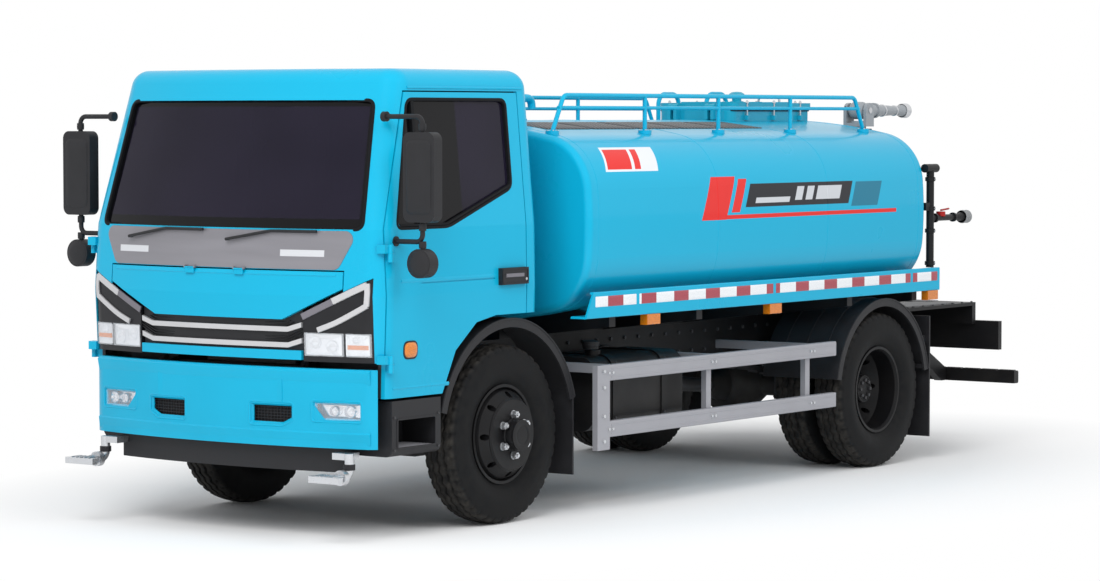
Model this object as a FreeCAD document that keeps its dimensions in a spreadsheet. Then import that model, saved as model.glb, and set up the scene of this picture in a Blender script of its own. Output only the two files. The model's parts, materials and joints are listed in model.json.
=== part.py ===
import FreeCAD, Part
import math
import os

import Sketcher

# Tanker truck, a two-axle water carrier with a tilting cab. Millimetres.
# +X is the truck's left side, the cab points to -Y, +Z is up.
# The origin lies on the ground, at the middle of the truck's length and width.
SIZES = (
    # Overall plan
    ("front_overhang", 1400, "front axle to the tips of the front nozzles"),
    ("wheelbase", 3800, "front axle to rear axle"),
    ("rear_overhang", 1980, "rear axle to the rear edge of the low step"),
    ("panel_gap", 7, "gap round each moving panel"),
    ("seat_gap", 0.3, "clearance where one piece rests beside another"),
    ("overrun", 30, "how far a cutting tool passes the face that it cuts"),
    # Wheels
    ("tyre_diameter", 974, "over the tread"),
    ("tyre_width", 235, "over the side walls"),
    ("tread_width", 190, "between the shoulders"),
    ("crown_drop", 9, "fall of the tread from its middle to its shoulder"),
    ("shoulder_round", 22, "radius of the tread's shoulder"),
    ("wall_round", 60, "radius of the side wall's bulge"),
    ("rim_seat_diameter", 509, "the bead seats"),
    ("rim_width", 170, "over the rim's lips"),
    ("lip_height", 16, "rim lip above the bead seat"),
    ("lip_thickness", 10, "along the axle"),
    ("rim_wall", 9, "barrel of the rim"),
    ("disc_thickness", 9, "wheel disc"),
    ("disc_offset", 140, "rim's mid plane to the disc's bolting face"),
    ("disc_flat_diameter", 380, "flat bolting face of the disc"),
    ("hub_diameter", 168, "hub through the disc"),
    ("front_hub_reach", 62, "hub cap beyond the disc, front"),
    ("rear_hub_reach", 120, "half shaft flange beyond the discs, rear"),
    ("drum_diameter", 400, "brake drum"),
    ("drum_width", 150, "brake drum"),
    ("nut_circle", 222, "circle of the wheel nuts"),
    ("nut_diameter", 34, "wheel nut"),
    ("nut_height", 30, "wheel nut"),
    ("hand_hole_circle", 430, "circle of the hand holes"),
    ("hand_hole_diameter", 34, "hand hole"),
    ("front_track", 1740, "between the front wheels' mid planes"),
    ("rear_track", 1698, "between the mid planes of the rear pairs"),
    ("twin_spacing", 280, "between the mid planes of one rear pair"),
    # Frame
    ("rail_spacing", 880, "over the outer faces of the frame rails"),
    ("rail_top", 945, "top of the frame rails"),
    ("rail_height", 225, "frame rail"),
    ("rail_flange", 70, "frame rail"),
    ("rail_plate", 8, "plate of the frame rail"),
    ("rail_ahead", 1060, "rail's front end, ahead of the front axle"),
    ("rail_behind", 1150, "rail's rear end, behind the rear axle"),
    ("cross_height", 130, "cross members"),
    ("cross_width", 70, "cross members"),
    # Axles and springs
    ("beam_height", 85, "front axle beam"),
    ("beam_width", 80, "front axle beam"),
    ("beam_drop", 110, "middle of the front beam under the wheel centre"),
    ("beam_flat", 760, "straight middle of the front beam"),
    ("kingpin_spacing", 1400, "between the kingpins"),
    ("kingpin_diameter", 44, "kingpin"),
    ("kingpin_fit", 0.06, "radial clearance on the kingpin"),
    ("knuckle_diameter", 90, "boss round the kingpin"),
    ("knuckle_height", 200, "over both bosses"),
    ("spindle_diameter", 70, "stub axle"),
    ("hub_fit", 0.08, "radial clearance of a hub on its stub axle"),
    ("steer_arm_length", 200, "kingpin to the tie rod's pin"),
    ("steer_arm_thickness", 26, "steering arm"),
    ("tie_rod_diameter", 36, "tie rod"),
    ("tie_pin_diameter", 20, "pin of the tie rod's ends"),
    ("tie_eye_diameter", 52, "eye at each end of the tie rod"),
    ("axle_tube_diameter", 150, "rear axle"),
    ("axle_stub_diameter", 100, "rear axle inside the hubs"),
    ("pumpkin_diameter", 380, "final drive housing"),
    ("spring_width", 70, "leaf springs"),
    ("spring_eye_diameter", 60, "spring eyes"),
    ("leaf_thickness", 13, "one leaf"),
    ("front_spring_span", 1300, "between the front spring's eyes"),
    ("rear_spring_span", 1360, "between the rear spring's eyes"),
    ("spring_camber", 45, "main leaf's dip from its eyes to its middle"),
    # Engine and drive line
    ("engine_width", 640, "engine block"),
    ("engine_length", 1000, "engine block"),
    ("engine_bottom", 560, "above the ground"),
    ("engine_top", 1100, "above the ground"),
    ("engine_ahead", 880, "front of the engine, ahead of the front axle"),
    ("gearbox_length", 620, "gearbox"),
    ("gearbox_diameter", 360, "gearbox"),
    ("prop_shaft_diameter", 90, "propeller shaft"),
    ("radiator_width", 620, "radiator"),
    ("radiator_height", 520, "radiator"),
    ("radiator_depth", 70, "radiator"),
    ("radiator_ahead", 965, "front face, ahead of the front axle"),
    # Cab
    ("cab_wall", 40, "thickness of the cab's walls and doors"),
    ("cab_bottom", 750, "lower edge of the doors"),
    ("cab_nose", 1275, "level of the widest part of the nose"),
    ("cab_belt", 1620, "lower edge of the windscreen"),
    ("cab_roof", 2450, "top of the roof"),
    ("cab_back", 250, "rear wall, behind the front axle"),
    ("cab_low_half", 1008, "half width at the bottom"),
    ("cab_nose_half", 1020, "half width at the nose"),
    ("cab_belt_half", 1015, "half width at the belt"),
    ("cab_roof_half", 938, "half width at the roof"),
    ("cab_low_front", 1248, "front at the bottom, ahead of the front axle"),
    ("cab_nose_front", 1266, "front at the nose"),
    ("cab_belt_front", 1240, "front at the belt"),
    ("cab_roof_front", 1002, "front at the roof"),
    ("cab_front_arc", 4000, "radius of the front in plan"),
    ("cab_corner", 130, "radius of the front corners in plan"),
    ("cab_rear_corner", 70, "radius of the rear corners in plan"),
    ("roof_round", 100, "radius round the roof's edge"),
    ("cab_sill", 935, "lower edge of the front above the bumper"),
    ("arch_top", 1140, "top of the wheel arch in the cab's side"),
    ("pivot_height", 864, "cab's tilting hinge"),
    ("pivot_ahead", 1145, "cab's tilting hinge, ahead of the front axle"),
    ("pivot_diameter", 36, "pin of the tilting hinge"),
    ("pivot_fit", 0.08, "radial clearance on the hinge pin"),
    ("pivot_lug", 26, "thickness of each hinge plate"),
    ("pivot_spacing", 980, "between the hinge plates' middles"),
    ("floor_sheet", 35, "thickness of the cab's floor"),
    ("footwell_floor", 800, "underside of the footwell"),
    ("footwell_ahead", 970, "front of the footwell, ahead of the front axle"),
    ("footwell_back", 640, "rear of the footwell, ahead of the front axle"),
    ("firewall_ahead", 1130, "front wall behind the lamps"),
    ("tunnel_half", 470, "half width over the engine and the frame rails"),
    # Doors
    ("door_ahead", 1085, "front edge, ahead of the front axle"),
    ("door_back", 130, "rear edge, behind the front axle"),
    ("door_top", 2335, "upper edge"),
    ("door_toe_ahead", 610, "rear end of the door's lower edge"),
    ("door_knee_ahead", 500, "corner of the arch cut"),
    ("door_knee", 970, "corner of the arch cut, height"),
    ("door_hip_ahead", 320, "upper corner of the arch cut"),
    ("door_hip", 1110, "upper corner of the arch cut, height"),
    ("arch_flat_ahead", 150, "front end of the arch's flat top"),
    ("window_round", 45, "corner radius of the windows"),
    ("window_front_ahead", 1000, "front corner of the door window"),
    ("window_front_top_ahead", 840, "front upper corner of the door window"),
    ("window_low", 1625, "lower front edge of the door window"),
    ("window_step_ahead", 560, "where the lower edge starts to rise"),
    ("window_rear", 20, "rear edge, behind the front axle"),
    ("window_rear_low", 1820, "lower rear corner"),
    ("window_top", 2290, "upper edge"),
    ("glass", 6, "window glass"),
    ("hinge_diameter", 28, "door hinge pins"),
    ("hinge_length", 90, "door hinge pins"),
    ("hinge_leaf", 45, "door hinge leaves, along the truck"),
    ("hinge_low", 930, "middle of the lower door hinge"),
    ("hinge_high", 1500, "middle of the upper door hinge"),
    # Door fittings
    ("handle_length", 240, "door handle"),
    ("handle_height", 90, "door handle"),
    ("handle_depth", 26, "door handle"),
    ("handle_back", 110, "rear end of the handle, behind the front axle"),
    ("handle_low", 1300, "lower edge of the handle"),
    ("mirror_bar_diameter", 26, "mirror bracket"),
    ("mirror_reach", 170, "mirror's middle, out from the door"),
    ("mirror_ahead", 1010, "mirror bar, ahead of the front axle"),
    ("mirror_low", 1660, "lower edge of the main mirror"),
    ("mirror_high", 2120, "upper edge of the main mirror"),
    ("mirror_width", 200, "main mirror"),
    ("mirror_depth", 70, "main mirror"),
    ("round_mirror_diameter", 150, "lower wide-angle mirror"),
    ("round_mirror_height", 1450, "its middle above the ground"),
    ("mirror_arm_low", 1560, "lower arm of the bracket"),
    ("mirror_arm_high", 2200, "upper arm of the bracket"),
    # Front
    ("windscreen_half_low", 900, "half width at its lower edge"),
    ("windscreen_half_high", 838, "half width at its upper edge"),
    ("windscreen_high", 2285, "upper edge"),
    ("apron_half_high", 880, "half width of the grey panel at its top"),
    ("apron_half_low", 770, "half width of the grey panel at its bottom"),
    ("apron_high", 1612, "upper edge of the grey panel"),
    ("apron_low", 1412, "lower edge of the grey panel"),
    ("flap_half", 800, "half width of the blue front flap"),
    ("flap_high", 1402, "upper edge of the flap"),
    ("flap_low", 1150, "lower edge of the flap in the middle"),
    ("flap_flat_half", 440, "half width of that lower edge"),
    ("flap_thickness", 24, "front flap"),
    ("lamp_outer_high", 1390, "outer upper corner of the headlamp"),
    ("lamp_inner_half", 560, "inner edge of the headlamp"),
    ("lamp_outer_half", 965, "outer edge of the headlamp"),
    ("lamp_depth", 85, "depth of the headlamp"),
    ("lens_high", 1085, "upper edge of the clear lenses"),
    ("lens_low", 965, "lower edge of the clear lenses"),
    ("lens_inset", 8, "lens glass in front of the housing"),
    ("lamp_drop", 17, "from the flap's lower edge down to the headlamps"),
    ("grille_low", 942, "lower edge of the grille"),
    ("grille_recess", 22, "black grille behind the panels"),
    ("grille_thickness", 18, "black grille"),
    ("flap_hinge_front", 1268, "hinge line of the flap, ahead of the front axle"),
    ("flap_hinge_side", 170, "middle of each of the flap's hinges"),
    ("flap_hinge_length", 60, "barrel of the flap's hinge"),
    ("flap_hinge_lug", 8, "lug of the flap's hinge"),
    ("flap_pin_diameter", 4, "pin of the flap's hinge"),
    ("trim_height", 26, "bright grille trims"),
    ("trim_depth", 34, "bright grille trims"),
    ("trim_upper", 1086, "lower edge of the upper trim"),
    ("trim_lower", 1004, "lower edge of the lower trim"),
    ("strip_height", 48, "blue strip under the trims"),
    ("wiper_length", 560, "wiper blade"),
    ("wiper_diameter", 16, "wiper arm and blade"),
    # Cab inside
    ("dash_height", 1545, "top of the dashboard"),
    ("dash_depth", 330, "dashboard"),
    ("dash_low", 1240, "lower edge of the dashboard"),
    ("seat_width", 500, "driver's seat"),
    ("seat_depth", 480, "seat cushion"),
    ("seat_height", 1500, "top of the seat cushion"),
    ("seat_thickness", 140, "seat cushion"),
    ("backrest_height", 640, "seat back"),
    ("backrest_thickness", 130, "seat back"),
    ("wheel_rim_diameter", 440, "steering wheel"),
    ("wheel_rim_thickness", 28, "steering wheel"),
    # Bumper
    ("bumper_top", 900, "upper edge"),
    ("bumper_bottom", 490, "lower edge"),
    ("bumper_door_gap", 22, "from the bumper's ends to the doors' front edges"),
    ("bumper_wall", 40, "thickness of the bumper"),
    ("bumper_hole_half", 360, "middle of each dark opening"),
    ("bumper_hole_width", 260, "dark opening"),
    ("bumper_hole_height", 105, "dark opening"),
    ("bumper_hole_middle", 655, "height of its middle"),
    ("hole_chamfer", 60, "cut corner of the opening"),
    ("fog_half", 755, "middle of each fog lamp"),
    ("fog_width", 270, "fog lamp"),
    ("fog_height", 92, "fog lamp"),
    ("fog_middle", 680, "height of its middle"),
    ("apron_bottom", 360, "lower edge of the black apron"),
    ("apron_inset", 60, "apron behind the bumper's face"),
    ("apron_wall", 30, "thickness of the apron"),
    ("bracket_height", 120, "bumper brackets on the rails"),
    # Steps and mudguards
    ("step_top", 735, "upper edge of the entry step box"),
    ("step_bottom", 445, "lower edge of the entry step box"),
    ("step_ahead", 1035, "front of the step box"),
    ("step_back", 625, "rear of the step box, ahead of the front axle"),
    ("step_width", 330, "across the truck"),
    ("step_tread_height", 150, "foot opening in the step box"),
    ("step_tread_depth", 220, "foot opening in the step box"),
    ("step_wall", 22, "plate of the step box"),
    ("front_guard_radius", 630, "outside of the front mudguard"),
    ("guard_sheet", 14, "mudguard plate"),
    ("guard_lip", 50, "turned-in outer edge of a mudguard"),
    ("front_guard_outer", 1000, "outer edge of the front mudguard"),
    ("front_guard_width", 270, "across the truck"),
    ("front_flap_bottom", 220, "lower edge of the flap behind the front wheel"),
    ("rear_guard_radius", 575, "outside of the rear mudguard"),
    ("rear_guard_outer", 1118, "outer edge of the rear mudguard"),
    ("rear_guard_width", 540, "across the truck"),
    ("rear_flap_bottom", 150, "lower edge of the flap behind the rear wheels"),
    # Side guards and boxes
    ("guard_face", 1122, "outer face of the side guards"),
    ("guard_front", 650, "front end, behind the front axle"),
    ("guard_rear_ahead", 590, "rear end, ahead of the rear axle"),
    ("guard_upper", 734, "lower edge of the upper rail"),
    ("guard_lower", 420, "lower edge of the lower rail"),
    ("guard_rail_height", 90, "side guard rails"),
    ("guard_rail_depth", 34, "side guard rails"),
    ("guard_post_width", 120, "front post"),
    ("guard_bracket", 50, "brackets to the frame"),
    ("fuel_length", 900, "fuel tank"),
    ("fuel_width", 480, "fuel tank"),
    ("fuel_height", 420, "fuel tank"),
    ("fuel_round", 90, "corners of the fuel tank"),
    ("fuel_bottom", 430, "above the ground"),
    ("fuel_front", 860, "front end, behind the front axle"),
    ("battery_length", 560, "battery box"),
    ("battery_width", 420, "battery box"),
    ("battery_height", 330, "battery box"),
    ("air_tank_diameter", 260, "air reservoirs"),
    ("air_tank_length", 640, "air reservoirs"),
    # Water tank
    ("tank_front", 580, "front head, behind the front axle"),
    ("tank_length", 3750, "over the heads"),
    ("tank_half_width", 1115, "half width"),
    ("tank_bottom", 1030, "lowest line"),
    ("tank_top", 2180, "highest line"),
    ("tank_crown_radius", 4200, "arc of the top and the bottom"),
    ("tank_side_radius", 2400, "arc of the sides"),
    ("tank_corner_radius", 330, "arc of the corners"),
    ("tank_head_round", 40, "rounded edge of the heads"),
    ("head_dish", 30, "depth of the dished heads"),
    ("head_border", 120, "flat border round the dish"),
    ("saddle_height", 70, "sub-frame beams on the rails"),
    ("saddle_width", 80, "sub-frame beams"),
    ("outrigger_depth", 60, "outriggers along the truck"),
    ("outrigger_half", 1095, "half span of the outriggers"),
    ("valance_face", 1150, "outer face of the blue side beams"),
    ("valance_low", 1090, "lower edge"),
    ("valance_high", 1235, "upper edge"),
    ("valance_plate", 12, "plate of the side beams"),
    ("valance_flange", 105, "lower flange of the side beams"),
    ("valance_front", 500, "front end, behind the front axle"),
    ("valance_rear", 650, "rear end, behind the rear axle"),
    ("valance_slope", 90, "sloped front end"),
    # Tank top
    ("handrail_half", 800, "half distance between the handrails"),
    ("handrail_high", 2320, "upper handrail"),
    ("handrail_mid", 2250, "lower handrail"),
    ("handrail_diameter", 26, "handrail tube"),
    ("handrail_front", 670, "front end, behind the front axle"),
    ("handrail_rear", 4070, "rear end, behind the front axle"),
    ("handrail_slope", 110, "slant of the end posts"),
    ("manhole_front", 3330, "front of the manhole housing, behind the front axle"),
    ("manhole_length", 960, "manhole housing"),
    ("manhole_width", 560, "manhole housing"),
    ("manhole_top", 2245, "upper edge of the housing"),
    ("manhole_wall", 25, "plate of the housing"),
    ("lid_height", 42, "manhole lid"),
    ("lid_pin_diameter", 24, "lid hinge"),
    ("lid_pin_length", 70, "lid hinge"),
    # Rear end
    ("deck_front", 4400, "front of the rear platform, behind the front axle"),
    ("deck_length", 900, "rear platform"),
    ("deck_width", 1900, "rear platform"),
    ("lamp_board_top", 845, "upper edge of the rear lamp board"),
    ("deck_sheet", 22, "platform plate"),
    ("deck_pad_inset", 70, "anti-slip pad, in from the platform's right edge"),
    ("deck_pad_start", 240, "anti-slip pad, behind the platform's front edge"),
    ("deck_pad_length", 560, "anti-slip pad"),
    ("deck_pad_width", 380, "anti-slip pad"),
    ("deck_pad_height", 8, "anti-slip pad"),
    ("lamp_board_height", 190, "rear lamp board"),
    ("lamp_board_depth", 45, "rear lamp board"),
    ("lamp_width", 330, "rear lamp"),
    ("lamp_height", 110, "rear lamp"),
    ("lamp_stand", 28, "rear lamp proud of the board"),
    ("low_step_height", 85, "low step"),
    ("low_step_depth", 60, "low step"),
    ("low_step_bottom", 400, "above the ground"),
    ("low_step_half", 1020, "half width of the low step"),
    ("low_step_arm", 55, "arms that carry the low step"),
    ("ladder_middle", 640, "ladder's middle, to the right"),
    ("ladder_width", 380, "ladder"),
    ("ladder_tube", 30, "ladder tubes"),
    ("ladder_stand", 75, "ladder behind the tank's head"),
    ("ladder_hoop", 170, "ladder's top above the tank"),
    ("ladder_pitch", 270, "between the rungs"),
    ("riser_side", 420, "monitor's riser, to the left"),
    ("riser_behind", 330, "riser, behind the tank's head"),
    ("riser_diameter", 100, "riser pipe"),
    ("riser_top", 2090, "flange under the monitor"),
    ("flange_diameter", 190, "pipe flanges"),
    ("flange_thickness", 22, "pipe flanges"),
    ("pump_diameter", 380, "water pump"),
    ("pump_length", 260, "water pump"),
    ("outlet_diameter", 80, "side outlet for a hose"),
    ("outlet_length", 120, "side outlet beyond its collar"),
    ("turret_height", 150, "monitor's turning head"),
    ("turret_diameter", 150, "monitor's turning head"),
    ("trunnion_diameter", 50, "monitor's tilting pin"),
    ("barrel_length", 620, "monitor barrel"),
    ("barrel_diameter", 96, "barrel at its root"),
    ("barrel_tip_diameter", 60, "barrel before its mouth"),
    ("barrel_mouth_diameter", 92, "barrel at its mouth"),
    ("post_side", 1150, "spray posts, out from the middle"),
    ("post_rear_ahead", 4410, "spray posts, behind the front axle"),
    ("post_low", 1240, "foot of the spray posts"),
    ("post_high", 1870, "top of the spray posts"),
    ("post_diameter", 50, "spray posts"),
    ("post_nozzle_height", 1550, "level spray nozzle on each post"),
    ("post_nozzle_length", 480, "level spray nozzle"),
    # Front nozzles and small lamps
    ("nozzle_side", 850, "front nozzles, out from the middle"),
    ("nozzle_height", 350, "front nozzles"),
    ("nozzle_pipe_diameter", 50, "front nozzle pipe"),
    ("nozzle_pipe_length", 200, "front nozzle pipe"),
    ("nozzle_bracket", 100, "bracket from the pipe to the black apron, across the truck"),
    ("nozzle_fan_width", 200, "flat mouth of the front nozzle"),
    ("nozzle_fan_height", 34, "flat mouth of the front nozzle"),
    ("nozzle_fan_length", 130, "flat mouth of the front nozzle"),
    ("marker_length", 130, "side marker lamps"),
    ("marker_height", 60, "side marker lamps"),
    ("marker_depth", 24, "side marker lamps"),
    # Places and details
    ("door_shoulder_ahead", 860, "front upper corner of the door"),
    ("rear_window_half", 420, "half width of the rear window"),
    ("rear_window_low", 1760, "lower edge of the rear window"),
    ("rear_window_high", 2160, "upper edge of the rear window"),
    ("seat_front_ahead", 430, "front of the seats, ahead of the front axle"),
    ("seat_side", 520, "middle of each seat"),
    ("groove_height", 1345, "groove along the door"),
    ("groove_width", 22, "groove along the door"),
    ("groove_depth", 5, "groove along the door"),
    ("groove_front_ahead", 800, "front end of the groove"),
    ("groove_rear_ahead", 160, "rear end of the groove"),
    ("mirror_foot_low", 995, "foot of the mirror's lower arm"),
    ("mirror_foot_high", 935, "foot of the mirror's upper arm"),
    ("handle_foot", 1000, "inner face of the door handle"),
    ("apron_stand", 3, "grey panel proud of the cab"),
    ("trim_inset", 6, "grille trims behind the panels' face"),
    ("trim_flat_half", 470, "half width of the trims' flat middle"),
    ("trim_rise", 140, "rise of the trims towards the lamps"),
    ("wiper_reach", 640, "pivot of the right wiper, from the middle"),
    ("wiper_start", 90, "pivot of the left wiper, from the middle"),
    ("wiper_base", 1560, "height of the wiper pivots"),
    ("apron_stay", 401, "stays that carry the black apron"),
    ("nozzle_hang", 470, "upper end of the front nozzle pipes"),
    ("tank_hang", 30, "fuel tank and air tank, out from the rail"),
    ("handrail_seat", 12, "feet of the handrails"),
    ("manhole_round", 60, "corners of the manhole housing"),
    ("marker_front", 1100, "front side marker, behind the front axle"),
    ("marker_middle", 2400, "middle side marker, behind the front axle"),
    ("marker_rear", 500, "rear side marker, behind the rear axle"),
)

DOC = FreeCAD.newDocument("tanker_truck")


class Size:
    """A length with its formula for the document and its present value."""

    def __init__(self, rule, value):
        self.rule = rule
        self.value = float(value)

    def join(self, sign, other, value):
        return Size("(%s %s %s)" % (self.rule, sign, other.rule), value)

    def __add__(self, other):
        other = as_size(other)
        return self.join("+", other, self.value + other.value)

    def __sub__(self, other):
        other = as_size(other)
        return self.join("-", other, self.value - other.value)

    def __mul__(self, other):
        other = as_size(other)
        return self.join("*", other, self.value * other.value)

    def __truediv__(self, other):
        other = as_size(other)
        return self.join("/", other, self.value / other.value)

    def __radd__(self, other):
        return as_size(other) + self

    def __rsub__(self, other):
        return as_size(other) - self

    def __rmul__(self, other):
        return as_size(other) * self

    def __neg__(self):
        return Size("(-1 * %s)" % self.rule, -self.value)


def as_size(number):
    """Give a plain number the same form as a named size."""
    if isinstance(number, Size):
        return number
    return Size(repr(float(number)), number)


class Sheet:
    """The spreadsheet of driving sizes; each size is read by its name."""

    def __init__(self, rows):
        self.table = DOC.addObject("Spreadsheet::Sheet", "sizes")
        for number, (name, value, note) in enumerate(rows, start=1):
            self.table.set("A%d" % number, note)
            self.table.set("B%d" % number, str(value))
            self.table.setAlias("B%d" % number, name)
            setattr(self, name, Size("sizes." + name, value))


S = Sheet(SIZES)
PARTS = []

# Places along the truck, all worked out from the driving sizes.
OVERALL = S.front_overhang + S.wheelbase + S.rear_overhang
AXLE1 = S.front_overhang - OVERALL / 2
AXLE2 = AXLE1 + S.wheelbase
WHEEL_Z = S.tyre_diameter / 2
REAR_END = OVERALL / 2
ZERO = as_size(0)


def bind(item, prop, size):
    """Bind one property of a document object to a size."""
    item.setExpression(prop, as_size(size).rule)


def put(item, place):
    """Bind the three coordinates of an object's Placement."""
    for axis, size in zip("xyz", place):
        bind(item, "Placement.Base." + axis, size)


def node(item, label):
    """Name a finished sub-part, which becomes one node."""
    item.Label = label
    PARTS.append(item)
    return item


def box(name, low, high):
    """A block between two corners."""
    item = DOC.addObject("Part::Box", name)
    for prop, start, end in zip(("Length", "Width", "Height"), low, high):
        bind(item, prop, as_size(end) - start)
    put(item, low)
    return item


TURNS = {"x": ((0, 1, 0), 90), "y": ((1, 0, 0), -90), "z": ((0, 0, 1), 0)}


def rod(name, axis, start, diameter, length):
    """A round bar from start, along +x, +y or +z."""
    item = DOC.addObject("Part::Cylinder", name)
    direction, degrees = TURNS[axis]
    turn = FreeCAD.Rotation(FreeCAD.Vector(*direction), degrees)
    item.Placement = FreeCAD.Placement(FreeCAD.Vector(), turn)
    bind(item, "Radius", as_size(diameter) / 2)
    bind(item, "Height", length)
    put(item, start)
    return item


def cone(name, axis, start, first, last, length):
    """A round taper from start, along +x, +y or +z."""
    item = DOC.addObject("Part::Cone", name)
    direction, degrees = TURNS[axis]
    turn = FreeCAD.Rotation(FreeCAD.Vector(*direction), degrees)
    item.Placement = FreeCAD.Placement(FreeCAD.Vector(), turn)
    bind(item, "Radius1", as_size(first) / 2)
    bind(item, "Radius2", as_size(last) / 2)
    bind(item, "Height", length)
    put(item, start)
    return item


def union(name, items):
    """One solid, or several that don't touch, from overlapping pieces."""
    item = DOC.addObject("Part::MultiFuse", name)
    item.Shapes = items
    item.Refine = True
    return item


def minus(name, base, tools):
    """A piece with others cut out of it."""
    if len(tools) > 1:
        tools = [union(name + "_tools", tools)]
    item = DOC.addObject("Part::Cut", name)
    item.Base = base
    item.Tool = tools[0]
    item.Refine = True
    return item


def common(name, first, second):
    """What two pieces share."""
    item = DOC.addObject("Part::Common", name)
    item.Base = first
    item.Tool = second
    return item


def mirrored(name, source):
    """The same piece on the truck's other side."""
    item = DOC.addObject("Part::Mirroring", name)
    item.Source = source
    item.Normal = FreeCAD.Vector(1, 0, 0)
    return item


def both_sides(name, source):
    """A piece and its mirror image in one object."""
    item = DOC.addObject("Part::Compound", name)
    item.Links = [source, mirrored(name + "_other", source)]
    return item


def together(name, items):
    """Separate pieces in one object."""
    item = DOC.addObject("Part::Compound", name)
    item.Links = items
    return item


def pin_point(sketch, geometry, end, place):
    """Fix a point of the sketch by its two distances from the origin."""
    for kind, size in zip(("DistanceX", "DistanceY"), place):
        size = as_size(size)
        rule = Sketcher.Constraint(kind, -1, 1, geometry, end, size.value)
        bind(sketch, "Constraints[%d]" % sketch.addConstraint(rule), size)


def outline(sketch, corners):
    """Draw a closed outline; a corner's third value is its radius."""
    count = len(corners)
    spots = [FreeCAD.Vector(as_size(c[0]).value, as_size(c[1]).value, 0) for c in corners]
    enter, leave, arcs = list(spots), list(spots), {}
    for i, corner in enumerate(corners):
        if len(corner) < 3:
            continue
        back = (spots[i - 1] - spots[i]).normalize()
        ahead = (spots[(i + 1) % count] - spots[i]).normalize()
        half = back.getAngle(ahead) / 2
        radius = as_size(corner[2]).value
        enter[i] = spots[i] + back * (radius / math.tan(half))
        leave[i] = spots[i] + ahead * (radius / math.tan(half))
        arcs[i] = spots[i] + (back + ahead).normalize() * (radius / math.sin(half))
    lines = []
    for i in range(count):
        line = Part.LineSegment(leave[i], enter[(i + 1) % count])
        lines.append(sketch.addGeometry(line, False))
    for i, corner in enumerate(corners):
        if i in arcs:
            round_corner(sketch, lines[i - 1], lines[i], corner, enter[i], leave[i], arcs[i])
        else:
            join = Sketcher.Constraint("Coincident", lines[i - 1], 2, lines[i], 1)
            sketch.addConstraint(join)
            pin_point(sketch, lines[i], 1, corner)


def round_corner(sketch, before, after, corner, enter, leave, centre):
    """Add a tangent arc between two lines of an outline."""
    start, end = enter - centre, leave - centre
    anticlockwise = start.cross(end).z > 0
    if not anticlockwise:
        start, end = end, start
    first = math.atan2(start.y, start.x)
    last = math.atan2(end.y, end.x)
    if last < first:
        last += 2 * math.pi
    circle = Part.Circle(centre, FreeCAD.Vector(0, 0, 1), start.Length)
    arc = sketch.addGeometry(Part.ArcOfCircle(circle, first, last), False)
    near, far = (1, 2) if anticlockwise else (2, 1)
    spot = FreeCAD.Vector(as_size(corner[0]).value, as_size(corner[1]).value, 0)
    point = sketch.addGeometry(Part.Point(spot), True)
    for rule in (Sketcher.Constraint("Tangent", before, 2, arc, near),
                 Sketcher.Constraint("Tangent", arc, far, after, 1),
                 Sketcher.Constraint("PointOnObject", point, 1, before),
                 Sketcher.Constraint("PointOnObject", point, 1, after)):
        sketch.addConstraint(rule)
    pin_point(sketch, point, 1, corner)
    radius = as_size(corner[2])
    rule = Sketcher.Constraint("Radius", arc, radius.value)
    bind(sketch, "Constraints[%d]" % sketch.addConstraint(rule), radius)


def new_sketch(body, name, plane):
    """A sketch on one of the body's own origin planes."""
    sketch = body.newObject("Sketcher::SketchObject", name)
    feature = [f for f in body.Origin.OriginFeatures if f.Role == plane + "_Plane"][0]
    sketch.AttachmentSupport = [(feature, "")]
    sketch.MapMode = "FlatFace"
    return sketch


def plate(name, plane, start, corners, depth, holes=()):
    """An outline on a plane, made as deep as said along the third axis.

    The outline's coordinates are XY, XZ or YZ; start is the lower end of the
    depth along the third axis.
    """
    body = DOC.addObject("PartDesign::Body", name)
    sketch = new_sketch(body, name + "_outline", plane)
    outline(sketch, corners)
    for hole in holes:
        outline(sketch, hole)
    pad = body.newObject("PartDesign::Pad", name + "_pad")
    pad.Profile = sketch
    bind(pad, "Length", depth)
    if plane == "XY":
        put(body, (ZERO, ZERO, start))
    elif plane == "YZ":
        put(body, (start, ZERO, ZERO))
    else:
        put(body, (ZERO, as_size(start) + depth, ZERO))
    return body


def turned(name, corners, place):
    """An outline of (along, radius) points turned about an axis along X."""
    body = DOC.addObject("PartDesign::Body", name)
    sketch = new_sketch(body, name + "_outline", "XZ")
    outline(sketch, corners)
    spin = body.newObject("PartDesign::Revolution", name + "_turn")
    spin.Profile = sketch
    spin.ReferenceAxis = (sketch, ["H_Axis"])
    put(body, place)
    return body


def vector(place):
    """A point of sizes as a plain vector."""
    return FreeCAD.Vector(*[as_size(size).value for size in place])


def pipe(name, points, diameter, bend):
    """A round tube through points, with a bend of one radius at each."""
    spots = [vector(point) for point in points]
    edges, start = [], spots[0]
    for i in range(1, len(spots) - 1):
        back = (spots[i - 1] - spots[i]).normalize()
        ahead = (spots[i + 1] - spots[i]).normalize()
        half = back.getAngle(ahead) / 2
        reach = as_size(bend).value / math.tan(half)
        middle = (back + ahead).normalize()
        inner = as_size(bend).value / math.sin(half) - as_size(bend).value
        enter = spots[i] + back * reach
        leave = spots[i] + ahead * reach
        edges.append(Part.LineSegment(start, enter).toShape())
        edges.append(Part.Arc(enter, spots[i] + middle * inner, leave).toShape())
        start = leave
    edges.append(Part.LineSegment(start, spots[-1]).toShape())
    path = Part.Wire(edges)
    circle = Part.Circle(spots[0], spots[1] - spots[0], as_size(diameter).value / 2)
    item = DOC.addObject("Part::Feature", name)
    item.Shape = path.makePipeShell([Part.Wire(circle.toShape())], True, False)
    return item


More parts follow.
